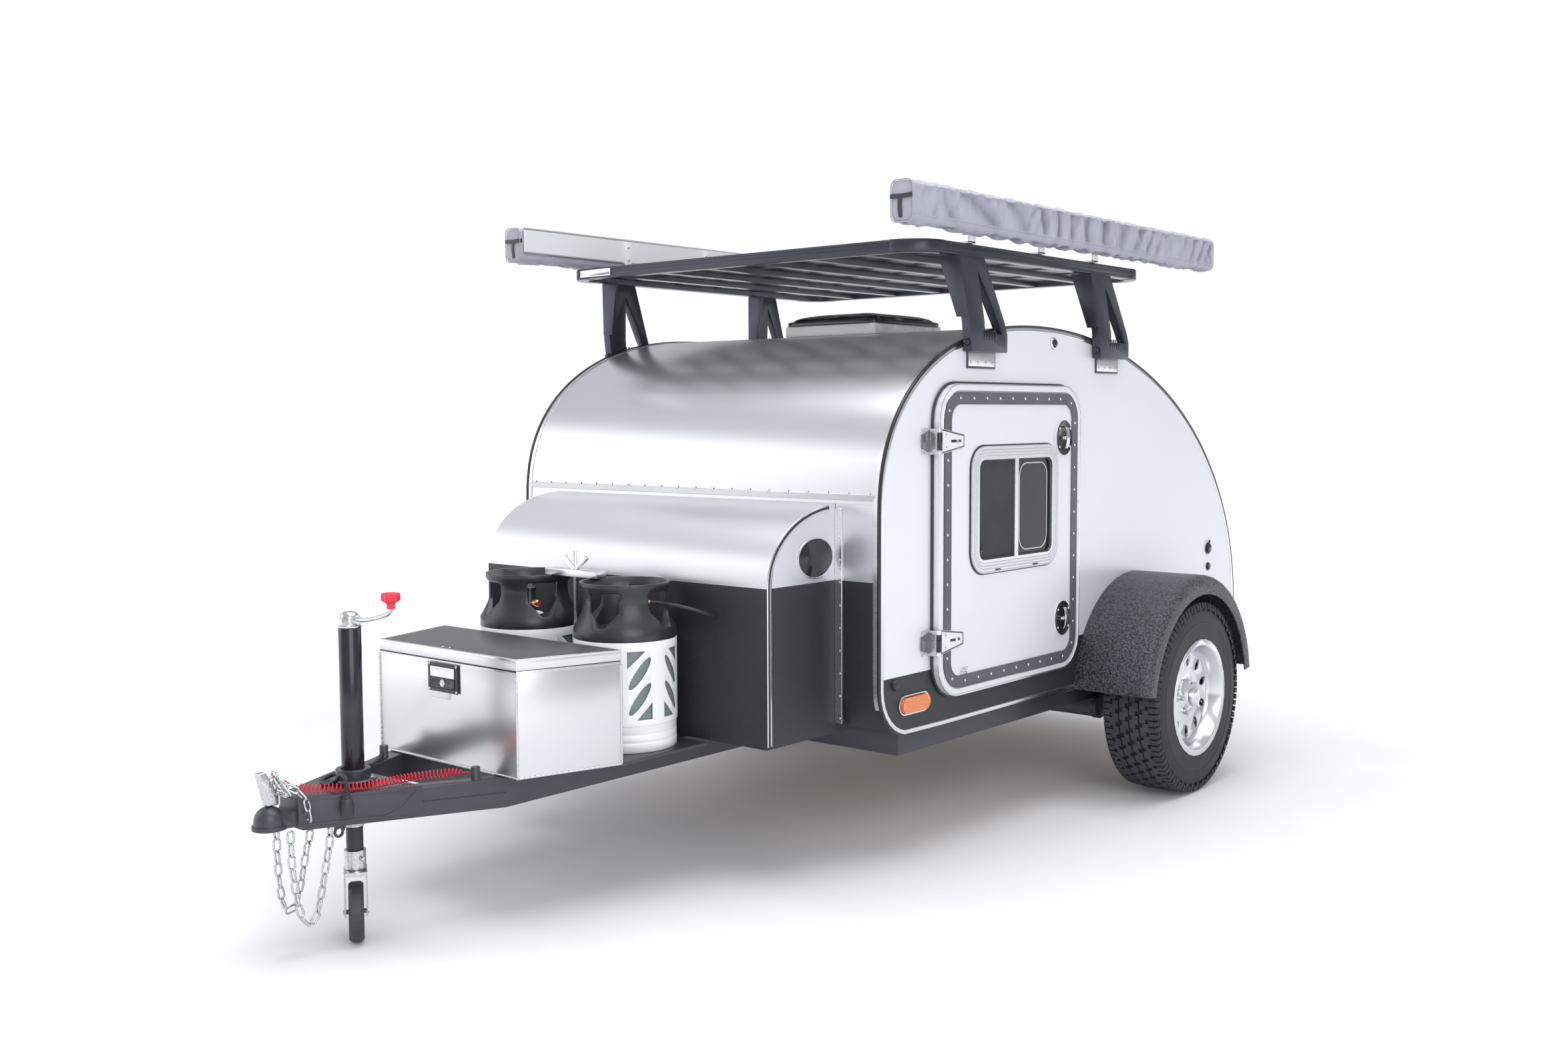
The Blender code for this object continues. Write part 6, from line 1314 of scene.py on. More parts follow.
def make_bottle_casings():
    """White casings with their leaf openings, over bottles of wound grey-green glass fibre."""
    for x, word, turn in BOTTLES:
        centre = (x, BOTTLE_Y, 0.0)
        shell = spun([(0.1438, 0.7148), (0.1462, 0.7148), (0.1468, 0.7138), (0.1468, 0.696), (0.1468, 0.496),
                      (0.147, 0.493), (0.147, 0.483), (0.1462, 0.48), (0.1446, 0.479), (0.144, 0.476),
                      (0.144, 0.458), (0.1428, 0.456), (0.144, 0.4545), (0.144, 0.437), (0.142, 0.4355),
                      (0.142, 0.433), (0.1444, 0.431), (0.1448, 0.429), (0.1444, 0.407), (0.143, 0.4056),
                      (0.139, 0.4056), (0.139, 0.479), (0.1438, 0.485), (0.1438, 0.7148)], centre, "z", 96)
        cutters = []
        for i in range(8):
            for outline in CASING_OPENINGS:
                flat = flat_face([(0.13, u * (1 if i % 2 else -1), z) for u, z in outline])
                extrude((0.03, 0, 0))
                turned_out()
                flat.data.transform(Matrix.Translation(centre) @ Matrix.Rotation(math.radians(turn + 45 * i),
                                                                                 4, "Z"))
                cutters.append(flat)
        cutter = merged(cutters)
        cut(shell, cutter)
        finished(eased(shell, 0.0007, 1, 50), f"bottle_casing_{word}", "bottle", angle=45)
        rows = [(0.0, 0.71), (0.13, 0.71)]
        rows += [(0.1412 + 0.0008 * (i % 2), 0.706 - 0.0052 * i) for i in range(44)]
        liner = spun(rows + [(0.13, 0.47), (0.0, 0.47)], centre, "z", 56)
        piece = finished(liner, f"bottle_liner_{word}", "bottle_fibre")
        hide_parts(f"bottle_{word}")


def make_valves():
    """Brass valves in the collars, each with its hand wheel, a red mark and a pale disc below."""
    for x, word, _ in BOTTLES:
        body = spun([(0.0, 0.0), (0.015, 0.0), (0.015, 0.014), (0.0105, 0.018), (0.0105, 0.05),
                     (0.0125, 0.052), (0.0125, 0.062), (0.006, 0.066), (0.006, 0.072), (0.0, 0.072)],
                    (x, BOTTLE_Y, 0.742), "z", 20)
        outlet = spun([(0.0, 0.0), (0.0085, 0.0), (0.0085, 0.016), (0.0105, 0.018), (0.0105, 0.03),
                       (0.008, 0.034), (0.0, 0.034)], (x + 0.008, BOTTLE_Y, 0.778), "x", 18)
        wheel = spun([(0.0, 0.0), (0.018, 0.0), (0.0205, 0.003), (0.0205, 0.01), (0.018, 0.013),
                      (0.0, 0.014)],
                     (x, BOTTLE_Y, 0.814), "z", 24)
        disc = spun([(0.0, 0.004), (0.034, 0.004), (0.04, 0.0015), (0.041, 0.0)], (x, BOTTLE_Y, 0.7455), "z",
                    32)
        finished(merged([body, outlet]), f"bottle_valve_body_{word}", "brass")
        finished(wheel, f"bottle_valve_wheel_{word}", "satin_black")
        finished(disc, f"bottle_neck_disc_{word}", "bottle")
        mark = spun([(0.0072, 0.0), (0.0066, 0.003), (0.0, 0.0036)], (x + 0.041, BOTTLE_Y, 0.778), "x", 14)
        finished(mark, f"bottle_valve_mark_{word}", "red_knob")


def make_hose():
    """The gas hose from the left bottle's regulator to the nose box, and its brass end."""
    line = smooth_line([(0.262, -0.905, 0.812), (0.3, -0.89, 0.812), (0.345, -0.868, 0.806),
                        (0.385, -0.838, 0.795), (0.405, -0.803, 0.78), (0.41, -0.7705, 0.77)], 6)
    hose = corded("gas_hose", line, 0.0052, "black_sheath")
    ferrule = spun([(0.0, -0.014), (0.006, -0.014), (0.006, 0.0), (0.0088, 0.0), (0.0088, 0.016),
                    (0.0068, 0.018), (0.0068, 0.03), (0.0, 0.03)], (0, 0, 0), "x", 12)
    aim = (line[1] - line[0]).normalized()
    ferrule.data.transform(Matrix.Translation(line[0] - aim * 0.012) @ aimed((1, 0, 0), aim))
    finished(ferrule, "hose_ferrule", "brass")
    block = slab((0.222, -0.932, 0.79), (0.252, -0.898, 0.834))
    finished(eased(block, 0.005, 3), "gas_regulator", "regulator")
    length_of(line)


def make_nose_trim():
    """Black insert trims with bright edges on the nose box's sides, and rivets along its joint."""
    outline = [(-0.7688, 0.418), (-0.7688, 0.866)]
    outline += [(-0.4626 - 0.3062 * math.cos(a), 0.866 + 0.217 * math.sin(a))
                for a in (math.pi / 2 * (i + 1) / 16 for i in range(15))]
    bead = drawn([(0.5975, y, z) for y, z in set_in(outline, 0.011)], "x", 0.02, 0.008)
    paired(eased(bead, 0.0016, 2), "nose_trim", "trim_chrome")
    insert = drawn([(0.6004, y, z) for y, z in set_in(outline, 0.009)], "x", 0.0085, 0.004)
    paired(eased(insert, 0.0012, 2), "nose_insert", "satin_black")
    joint = drawn([(0.613, -0.4638, z) for z in (0.44, 0.7, 1.07)], "y", 0.026, 0.0024)
    paired(eased(joint, 0.0008, 1), "nose_joint_strip", "aluminium")
    spots = [((0.618, -0.465, 0.455 + 0.0665 * i), (0, -1, 0)) for i in range(10)]
    spots += [((-x, y, z), way) for (x, y, z), way in spots]
    riveted("nose_joint_rivets", spots, "trim_chrome")


# The jack, the chains and the coupler's small parts
JACK_Y = -1.698


def make_jack():
    """The glossy tube and its foot, the leg's pin, and the mount's ring with its bolts."""
    tube = spun([(0.0, 0.3), (0.027, 0.3), (0.0285, 0.302), (0.0285, 0.804), (0.0275, 0.8055),
                 (0.0, 0.8055)],
                (0.0, JACK_Y, 0.0), "z", 40)
    finished(tube, "jack_tube_round", "jack_tube")
    foot = spun([(0.029, 0.33), (0.03, 0.329), (0.03, 0.302), (0.0275, 0.298), (0.0235, 0.297),
                 (0.0235, 0.294), (0.0216, 0.2935)], (0.0, JACK_Y, 0.0), "z", 40)
    finished(foot, "jack_tube_foot", "zinc")
    pin = spun([(0.0, -0.036), (0.005, -0.036), (0.006, -0.0345), (0.006, -0.0315), (0.0042, -0.0305),
                (0.0042, 0.0305), (0.006, 0.0315), (0.006, 0.0345), (0.005, 0.036), (0.0, 0.036)],
               (0.0, JACK_Y, 0.212), "x", 14)
    finished(pin, "jack_leg_pin", "zinc", "jack_post")
    clamp = spun([(0.03, 0.444), (0.042, 0.444), (0.0436, 0.4424), (0.0436, 0.42), (0.056, 0.418),
                  (0.0575, 0.4165), (0.0575, 0.4075)], (0.0, JACK_Y, 0.0), "z", 40)
    finished(clamp, "jack_mount_ring", "chassis")
    heads = []
    for i in range(3):
        a = math.radians(30 + 120 * i)
        bolt = begin("cylinder", (0.05 * math.cos(a), JACK_Y + 0.05 * math.sin(a), 0.4205), vertices=6,
                     radius=0.0068, depth=0.005)
        pressed(bolt, "z", 1, 0.0016, 0.001, False)
        heads.append(bolt)
    finished(merged(heads), "jack_mount_bolts", "zinc")


# (x, y behind the coupler's tip, depth below the frame's underside)
CHAIN_ROUTES = {
    "left": ((0.045, 0.18, 0.0005), (0.045, 0.18, 0.04), (0.047, 0.169, 0.084), (0.046, 0.15, 0.174),
             (0.045, 0.132, 0.226), (0.043, 0.106, 0.228), (0.04, 0.09, 0.18), (0.036, 0.08, 0.094),
             (0.034, 0.078, 0.04), (0.034, 0.078, 0.0005)),
    "right": ((-0.045, 0.18, 0.0005), (-0.045, 0.18, 0.04), (-0.047, 0.17, 0.084), (-0.046, 0.151, 0.164),
              (-0.045, 0.133, 0.212), (-0.043, 0.108, 0.214), (-0.04, 0.092, 0.168), (-0.036, 0.083, 0.084),
              (-0.034, 0.081, 0.04), (-0.034, 0.081, 0.0005)),
}


def oval_link(long=0.037, wide=0.0225, wire=0.003, steps=20, sides=8):
    """One chain link at the origin: its length on z and its width on x."""
    ring = begin("torus", major_segments=steps, minor_segments=sides, major_radius=wide / 2 - wire,
                 minor_radius=wire)
    ring.data.transform(Matrix.Rotation(math.pi / 2, 4, "X"))
    choose(ring, "verts", lambda vert: vert.co.z > 0.00001)
    bpy.ops.transform.translate(value=(0, 0, (long - wide) / 2))
    bpy.ops.mesh.select_all(action="INVERT")
    bpy.ops.transform.translate(value=(0, 0, (wide - long) / 2))
    leave_edit()
    return ring


def along(line, target):
    """The place at a distance along a line, and the line's heading there."""
    for a, b in zip(line, line[1:]):
        if target <= (b - a).length:
            break
        target -= (b - a).length
    heading = (b - a).normalized()
    return a + heading * target, heading


def hung(place, heading, flat, twist):
    """A link's move to its place: its length on the heading, its width square to the flat direction."""
    side = flat.cross(heading).normalized()
    turn = Matrix((side, heading.cross(side), heading)).transposed().to_4x4()
    return Matrix.Translation(place) @ turn @ Matrix.Rotation(twist, 4, "Z")


def make_chains():
    """Zinc links along each loop, turned a quarter one from the next."""
    for word, route in CHAIN_ROUTES.items():
        line = smooth_line([(x, COUPLER_TIP_Y + y, FRAME_BASE_Z - depth) for x, y, depth in route], 10)
        total = length_of(line)
        count = round((total - 0.02) / 0.03)
        pitch = (total - 0.024) / (count - 1)
        moves = []
        for i in range(count):
            place, heading = along(line, 0.012 + pitch * i)
            flat = Vector((0.0, 1.0, 0.0)) if abs(heading.y) < 0.8 else Vector((0.0, 0.0, 1.0))
            moves.append(hung(place, heading, flat, math.pi / 2 * (i % 2) + 0.12 * math.sin(i * 2.3)))
        piece = finished(repeated(oval_link(), moves), f"chain_links_{word}", "zinc", angle=60)
        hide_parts(f"safety_chain_{word}")
    staples = []
    for side in (-1, 1):
        line = arc((0.0, FRAME_BASE_Z), 0.0105, 180, 360, 10)
        staple = drawn([(side * 0.0445 + u, -1.8, z) for u, z in line], "y", 0.005, 0.005)
        staples.append(eased(staple, 0.0012, 1))
    finished(merged(staples), "chain_staples", "zinc")


def hex_bolt(radius, height):
    """A hexagon head with its washer at the origin, facing +x."""
    washer = spun([(0.0, 0.0), (radius * 1.45, 0.0), (radius * 1.45, height * 0.2), (0.0, height * 0.2)],
                  (0, 0, 0), "x", 18)
    head = begin("cylinder", (height * 0.58, 0, 0), (0, math.pi / 2, 0), vertices=6, radius=radius,
                 depth=height * 0.8)
    pressed(head, "x", 1, radius * 0.2, height * 0.14, False)
    return merged([washer, head])


def make_coupler_parts():
    """The bolts on the coupler's slanted sides, its lips, the tongue's seams and the latch's pin."""
    bolt = hex_bolt(0.01, 0.009)
    place = (0.0616 + TONGUE_SPREAD * (-1.864 + 1.839), -1.864, 0.37)
    spot = Matrix.Translation(place) @ Matrix.Rotation(math.radians(-25), 4, "Z")
    paired(repeated(bolt, [spot]), "coupler_bolts", "chassis")
    lips = []
    for z, ys in ((0.4008, (-1.88, -1.613)), (0.3385, (-1.88, -1.69))):
        line = [(0.0424 + TONGUE_SPREAD * (y + 1.88), y, z) for y in ys]
        lips.append(eased(drawn(line, "z", 0.0034, 0.0058), 0.0014, 2))
    slant = [(0.0421 + TONGUE_SPREAD * (y + 1.88), y, z)
             for y, z in ((-1.69, 0.3385), (-1.656, 0.356), (-1.622, 0.396))]
    lips.append(bar_along(slant, 0.0024, 4))
    paired(merged(lips), "coupler_lips", "chassis")
    seam = [(0.2555 - TONGUE_SPREAD * max(-1.41 - y, 0.0), y, 0.364) for y in (-1.608, -1.54, -1.47, -1.411)]
    paired(drawn(seam, "z", 0.001, 0.0022), "tongue_seam", "gloss_black")
    pin = spun([(0.0, -0.03), (0.006, -0.03), (0.0072, -0.0285), (0.0072, -0.0245), (0.005, -0.0235),
                (0.005, 0.0235), (0.0072, 0.0245), (0.0072, 0.0285), (0.006, 0.03), (0.0, 0.03)],
               (0.0, -1.908, 0.418), "x", 16)
    finished(pin, "coupler_latch_pin", "zinc")


# The roof rack and its awnings
RACK_Y, RACK_X = (-0.2703, 1.1397), 0.77
AWNING_X, AWNING_Y, AWNING_Z = (0.786, 0.87), (-0.4603, 1.5097), (1.868, 1.995)
LEG_FEET = ((0.0547, 1), (0.8597, -1))
BRACKET_Y = {"left": (-0.0447, 0.3642, 0.7167), "right": (0.0399, 0.4629, 0.8577)}
# The most that the simulated cloth may move, and the depth of its deepest fold
AWNING_CAP = 0.012
FOLD_DEPTH = 0.0105


def make_rail_trim():
    """Grooves' lips along the rack's outer rails, and the moulded pieces round its corners."""
    runs = []
    for height, width in ((1.8225, 0.005), (1.835, 0.003), (1.8478, 0.005)):
        outline = [(x, y, height) for x, y in rounded(-RACK_X - 0.0006, RACK_Y[0] - 0.0006, RACK_X + 0.0006,
                                                      RACK_Y[1] + 0.0006, 0.1106, 10)]
        runs.append(eased(drawn(outline, "z", 0.003, width, True), 0.0007, 1))
    finished(merged(runs), "rack_rail_lips", "rack")
    corners = []
    for side in (-1, 1):
        for y, way in ((RACK_Y[0], 1), (RACK_Y[1], -1)):
            middle = (side * (RACK_X - 0.11), y + way * 0.11)
            start = {(1, 1): -90, (-1, 1): 180, (1, -1): 0, (-1, -1): 90}[(side, way)]
            line = [(u, v, 1.835) for u, v in arc(middle, 0.092, start - 6, start + 96, 12)]
            corners.append(eased(drawn(line, "z", 0.0404, 0.0385), 0.004, 3))
    finished(merged(corners), "rack_corner_pieces", "rack")
    caps = [slab((side * 0.725 - 0.018, y - 0.0012, 1.852), (side * 0.725 + 0.018, y + 0.0012, 1.8536))
            for side in (-1, 1) for y in (0.1, 0.77)]
    finished(eased(merged(caps), 0.0006, 1), "rack_joint_lines", "gloss_black")


def make_plank_screws():
    """A pair of pan heads at each end of every plank."""
    spots = []
    for i in range(6):
        y = RACK_Y[0] + 0.115 + (RACK_Y[1] - RACK_Y[0] - 0.23) * i / 5
        spots += [((side * 0.69, y + u, 1.8492), (0, 0, 1)) for side in (-1, 1) for u in (-0.03, 0.03)]
    riveted("plank_screws", spots, "zinc", "trailer", 0.0048, 0.002)


def make_leg_parts():
    """The vents in each foot, the hex knob at its front, and the mount plate's screws."""
    louvres, knobs, plates, heads = [], [], [], []
    for y, way in LEG_FEET:
        for i in range(5):
            u = y + (i - 2) * 0.015
            louvre = slab((0.795, u - 0.0032, 1.566), (0.7984, u + 0.0032, 1.596))
            louvres.append(eased(louvre, 0.0014, 2, 50))
        knob = begin("cylinder", (0.782, y - 0.106, 1.556), (math.pi / 2, 0, 0), vertices=6, radius=0.0115,
                     depth=0.014)
        pressed(knob, "y", -1, 0.0028, -0.0028, False)
        knobs.append(eased(knob, 0.001, 2))
        plates.append(eased(slab((0.7636, y - 0.074, 1.4865), (0.7672, y + 0.074, 1.5285)), 0.0012, 2))
        heads += [((0.7672, y + u, 1.4975), (1, 0, 0)) for u in (-0.062, -0.022, 0.022, 0.062)]
    paired(merged(louvres), "leg_louvres", "gloss_black")
    paired(merged(knobs), "leg_knobs", "gloss_black")
    paired(merged(plates), "leg_plates", "aluminium")
    screws = [((side * x, y, z), (side * way[0], 0, 0)) for (x, y, z), way in heads for side in (-1, 1)]
    riveted("leg_plate_screws", screws, "zinc", "trailer", 0.0046, 0.0022)


def make_bracket_bolts():
    """Two bolts on each awning bracket's upright, seen from inboard."""
    spots = []
    for side, word in ((1, "left"), (-1, "right")):
        spots += [((side * 0.7798, y + 0.016, z), (-side, 0, 0))
                  for y in BRACKET_Y[word] for z in (1.916, 1.962)]
    riveted("bracket_bolts", spots, "zinc", "trailer", 0.0052, 0.003)


def rolled_sleeve(rows=240, columns=44):
    """A closed fabric sleeve round the awning's roll, drawn out ring by ring from its front end."""
    x0, x1 = AWNING_X[0] + 0.0048, AWNING_X[1] - 0.0042
    z0, z1 = AWNING_Z[0] + 0.004, AWNING_Z[1] - 0.0046
    y0, y1 = AWNING_Y[0] + 0.005, AWNING_Y[1] - 0.005
    middle = Vector(((x0 + x1) / 2, (y0 + y1) / 2, (z0 + z1) / 2))
    section = spaced(rounded(x0, z0, x1, z1, 0.02, 9), columns)
    sleeve = flat_face([(x, y0, z) for x, z, _ in section])
    sizes = [0.97 + 0.03 * min(1.0, i / rows / 0.012, (1 - i / rows) / 0.012) for i in range(rows + 1)]
    bpy.ops.transform.resize(value=(sizes[0], 1, sizes[0]), center_override=middle)
    for before, after in zip(sizes, sizes[1:]):
        extrude((0, (y1 - y0) / rows, 0))
        if after != before:
            bpy.ops.transform.resize(value=(after / before, 1, after / before), center_override=middle)
    turned_out()
    return sleeve


def pleat(spot, share):
    """How a fold's valley draws the cloth in: wide slanting drapes in front, close gathers behind. It also
    gives the valley's share, which the cloth's colour takes as painted shade.
    """
    along = spot.y - AWNING_Y[0]
    tall = spot.z - (AWNING_Z[0] + AWNING_Z[1]) / 2
    wide = spot.x - (AWNING_X[0] + AWNING_X[1]) / 2
    slanted = along + tall * (1.05 - 1.5 * min(along, 1.2))
    wander = 2.4 * noise.noise(Vector((along * 3.6, tall * 7.0, 1.7)))
    broad = 1.0 - abs(math.sin(math.pi * (4.4 * slanted + 2.3 * slanted ** 2) + wander))
    close = 1.0 - abs(math.sin(math.pi * (15.0 * (along - 0.5 * tall) + 2.0 * along ** 2) - 1.7 * wander))
    broad *= 0.62 + 0.75 * noise.noise(Vector((along * 5.0, tall * 4.0, 8.3)))
    close *= max(0.2 + 1.6 * noise.noise(Vector((along * 7.0, tall * 6.0, 4.9))), 0.0)
    valley = min(0.8 * max(broad, 0.0) ** 1.4 + 0.55 * close ** 1.6, 1.0)
    depth = FOLD_DEPTH * valley * share
    fade = max(min(1.0, (along - 0.055) / 0.06, (AWNING_Y[1] - spot.y) / 0.04), 0.0)
    out = Vector((max(wide / 0.038, 0.0) ** 3, 0.0, (tall / 0.06) ** 3))
    return (out.normalized() * (depth * fade) if out.length > 0.05 else out * 0.0), valley * fade * share


def make_awnings():
    """Coated sleeves laced along two seams. The cloth is longer than its seams, so it gathers."""
    sleeve = rolled_sleeve()
    pins = sleeve.vertex_groups.new(name="seams")
    held = []
    for vert in sleeve.data.vertices:
        x, y, z = vert.co
        upper = z > AWNING_Z[1] - 0.016 and x > AWNING_X[0] + 0.01
        inner = x < AWNING_X[0] + 0.014
        lower = z < AWNING_Z[0] + 0.026
        ends = y < AWNING_Y[0] + 0.03 or y > AWNING_Y[1] - 0.03
        corner = abs(x - (AWNING_X[1] - 0.012)) < 0.009
        if inner or ends or (corner and (upper or lower)):
            held.append(vert.index)
    pins.add(held, 1.0, "REPLACE")
    rest = [vert.co.copy() for vert in sleeve.data.vertices]
    for vert in sleeve.data.vertices:
        wave = noise.noise(Vector((vert.co.y * 17.0 + vert.co.z * 9.0, vert.co.z * 7.0, 3.1)))
        out = Vector((1.0 if vert.co.x > 0.82 else 0.0, 0.0, (vert.co.z - 1.9315) * 6.0))
        if vert.index not in held:
            vert.co += out * (0.0022 * wave)
    cloth = sleeve.modifiers.new("cloth", "CLOTH")
    cloth.settings.vertex_group_mass = "seams"
    cloth.settings.quality = 7
    cloth.settings.mass = 0.25
    cloth.settings.tension_stiffness = 30.0
    cloth.settings.compression_stiffness = 30.0
    cloth.settings.shear_stiffness = 12.0
    cloth.settings.bending_stiffness = 0.25
    cloth.settings.shrink_min = -0.14
    cloth.settings.use_pressure = True
    cloth.settings.uniform_pressure_force = 0.6
    cloth.settings.effector_weights.gravity = 0.0
    cloth.collision_settings.use_self_collision = False
    cloth.point_cache.frame_end = 24
    for step in range(1, 25):
        bpy.context.scene.frame_set(step)
    alone(sleeve)
    bpy.ops.object.modifier_apply(modifier="cloth")
    bpy.context.scene.frame_set(1)
    fixed = set(held)
    fold_shade_values = sleeve.data.attributes.new("fold", "FLOAT", "POINT")
    for vert, start in zip(sleeve.data.vertices, rest):
        move = vert.co - start
        if move.length > AWNING_CAP:
            vert.co = start + move * (AWNING_CAP / move.length)
        draw, valley = pleat(start, 0.25 if vert.index in fixed else 1.0)
        vert.co -= draw
        # Each point's valley share, kept to darken the cloth's colour as painted shade.
        fold_shade_values.data[vert.index].value = valley
        vert.co.z = min(vert.co.z, AWNING_Z[1] - 0.0006)
        vert.co.x = max(vert.co.x, AWNING_X[0] + 0.004)
    modified(sleeve, "SUBSURF", levels=1, render_levels=1)
    for word, piece in (("left", sleeve), ("right", mirrored(sleeve))):
        piece.vertex_groups.clear()
        finished(piece, f"awning_sleeve_{word}", "awning", "trailer", 60)
        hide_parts(f"awning_{word}")


# Small fittings
KNOB_X = 0.178
OVAL_PLACE = (0.6002, -0.5554, 0.932)
# The plane on which the side wall's fittings sit, just clear of the skin
FITTING_X = 0.7621


def make_jack_head():
    """The geared head with its cap, the bent crank, the lobed red knob and the collar round the leg."""
    centre = (0.0, JACK_Y, 0.0)
    head = spun([(0.0, 0.8464), (0.011, 0.8464), (0.017, 0.844), (0.0225, 0.8385), (0.025, 0.831),
                 (0.0258, 0.82), (0.0262, 0.813), (0.029, 0.811), (0.029, 0.807), (0.0, 0.807)], centre, "z",
                40)
    boss = spun([(0.0, 0.0), (0.0125, 0.0), (0.0125, 0.03), (0.0105, 0.033), (0.0, 0.033)],
                (0.006, JACK_Y, 0.8263), "x", 28)
    cap = spun([(0.0, 0.0), (0.01, 0.0), (0.01, 0.026), (0.008, 0.0285), (0.0, 0.0285)],
               (-0.004, JACK_Y, 0.8263), "-x", 24)
    casting = finished(merged([head, boss, cap]), "jack_head_casting", "zinc")
    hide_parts("jack_head")
    arm = smooth_line([(0.03, JACK_Y, 0.8275), (0.07, JACK_Y, 0.83), (0.12, JACK_Y, 0.84),
                       (0.158, JACK_Y, 0.8505), (0.173, JACK_Y, 0.8585), (0.178, JACK_Y, 0.868),
                       (0.178, JACK_Y, 0.876)], 6)
    finished(bar_along(arm, 0.0056), "jack_crank_arm", "zinc")
    knob = spun([(0.0, 0.867), (0.009, 0.867), (0.01, 0.869), (0.0098, 0.876), (0.012, 0.881),
                 (0.019, 0.8855), (0.0232, 0.888), (0.0238, 0.8905), (0.0238, 0.902), (0.0225, 0.9058),
                 (0.019, 0.9072), (0.011, 0.906), (0.0, 0.9056)], (KNOB_X, JACK_Y, 0.0), "z", 72)
    for vert in knob.data.vertices:
        u, v = vert.co.x - KNOB_X, vert.co.y - JACK_Y
        if math.hypot(u, v) > 0.015:
            share = 1.0 - 0.13 * (0.5 - 0.5 * math.cos(6 * math.atan2(v, u)))
            vert.co.x, vert.co.y = KNOB_X + u * share, JACK_Y + v * share
    finished(knob, "jack_lobed_knob", "red_knob")
    collar = spun([(0.0216, 0.2322), (0.0262, 0.2322), (0.0273, 0.2312), (0.0273, 0.1832), (0.0262, 0.1821),
                   (0.0216, 0.1821)], centre, "z", 40)
    finished(collar, "jack_zinc_collar", "zinc", "jack_post")


def make_lever_chains():
    """The chains' last links, laid over the coupler's lever from side to side."""
    moves = []
    for points in (((0.056, -1.862, 0.348), (0.052, -1.868, 0.398), (0.038, -1.886, 0.426),
                    (0.016, -1.908, 0.44), (-0.012, -1.912, 0.442), (-0.036, -1.893, 0.427),
                    (-0.052, -1.872, 0.398), (-0.056, -1.864, 0.348)),
                   ((0.039, -1.905, 0.418), (0.019, -1.921, 0.45), (-0.001, -1.92, 0.464),
                    (-0.021, -1.918, 0.448), (-0.039, -1.902, 0.418))):
        line = smooth_line(points, 10)
        total = length_of(line)
        count = max(round(total / 0.029), 2)
        for i in range(count):
            place, heading = along(line, total * (i + 0.5) / count)
            twist = math.pi / 2 * (i % 2) + 0.3 * math.sin(i * 1.7)
            moves.append(hung(place, heading, Vector((0.0, 1.0, 0.0)), twist))
    finished(repeated(oval_link(), moves), "chain_links_over_lever", "zinc", angle=60)


def make_jack_bracket():
    """The dark bracket with an eye that hangs under the cover, in front of the jack."""
    outline = [(0.03, 0.0), (0.026, -0.01), (0.008, -0.013), (0.0, -0.03)]
    outline += [(-0.014 + 0.015 * math.cos(a), -0.028 + 0.015 * math.sin(a)) for a in
                (math.radians(-20 - 25 * i) for i in range(9))]
    outline += [(-0.029, -0.005), (-0.029, 0.0)]
    plate = flat_face([(0.0, -1.748 + u, 0.323 + v) for u, v in outline])
    extrude((0.006, 0, 0))
    turned_out()
    cut(plate, begin("cylinder", (0.003, -1.762, 0.295), (0, math.pi / 2, 0), vertices=20, radius=0.0085,
                     depth=0.03))
    plate.data.transform(moved(x=0.024))
    finished(eased(plate, 0.0012, 2, 40), "jack_eye_bracket", "chassis")


def oval_disc(rows):
    """A turned disc, made oval and set on the nose box's side."""
    disc = spun(rows, (0, 0, 0), "x", 56)
    disc.data.transform(Matrix.Diagonal((1, 1, 0.727, 1)))
    disc.data.transform(moved(*OVAL_PLACE))
    return disc


def make_plates():
    """Bare plates: the black oval on each side of the nose box, and the small one on the rack's front."""
    plate = oval_disc([(0.0, 0.0026), (0.076, 0.0026), (0.077, 0.002), (0.077, 0.0)])
    paired(plate, "nose_oval_plate", "gloss_black")
    rim = oval_disc([(0.0765, 0.0), (0.0765, 0.003), (0.0785, 0.0038), (0.0815, 0.0034), (0.0825, 0.0018),
                     (0.0825, 0.0)])
    paired(rim, "nose_oval_rim", "trim_chrome")
    tag = slab((-0.683, -0.2742, 1.823), (-0.531, -0.2712, 1.847))
    pressed(tag, "y", -1, 0.0026, 0.0008)
    finished(eased(tag, 0.0009, 2), "rack_bare_tag", "trim_chrome")


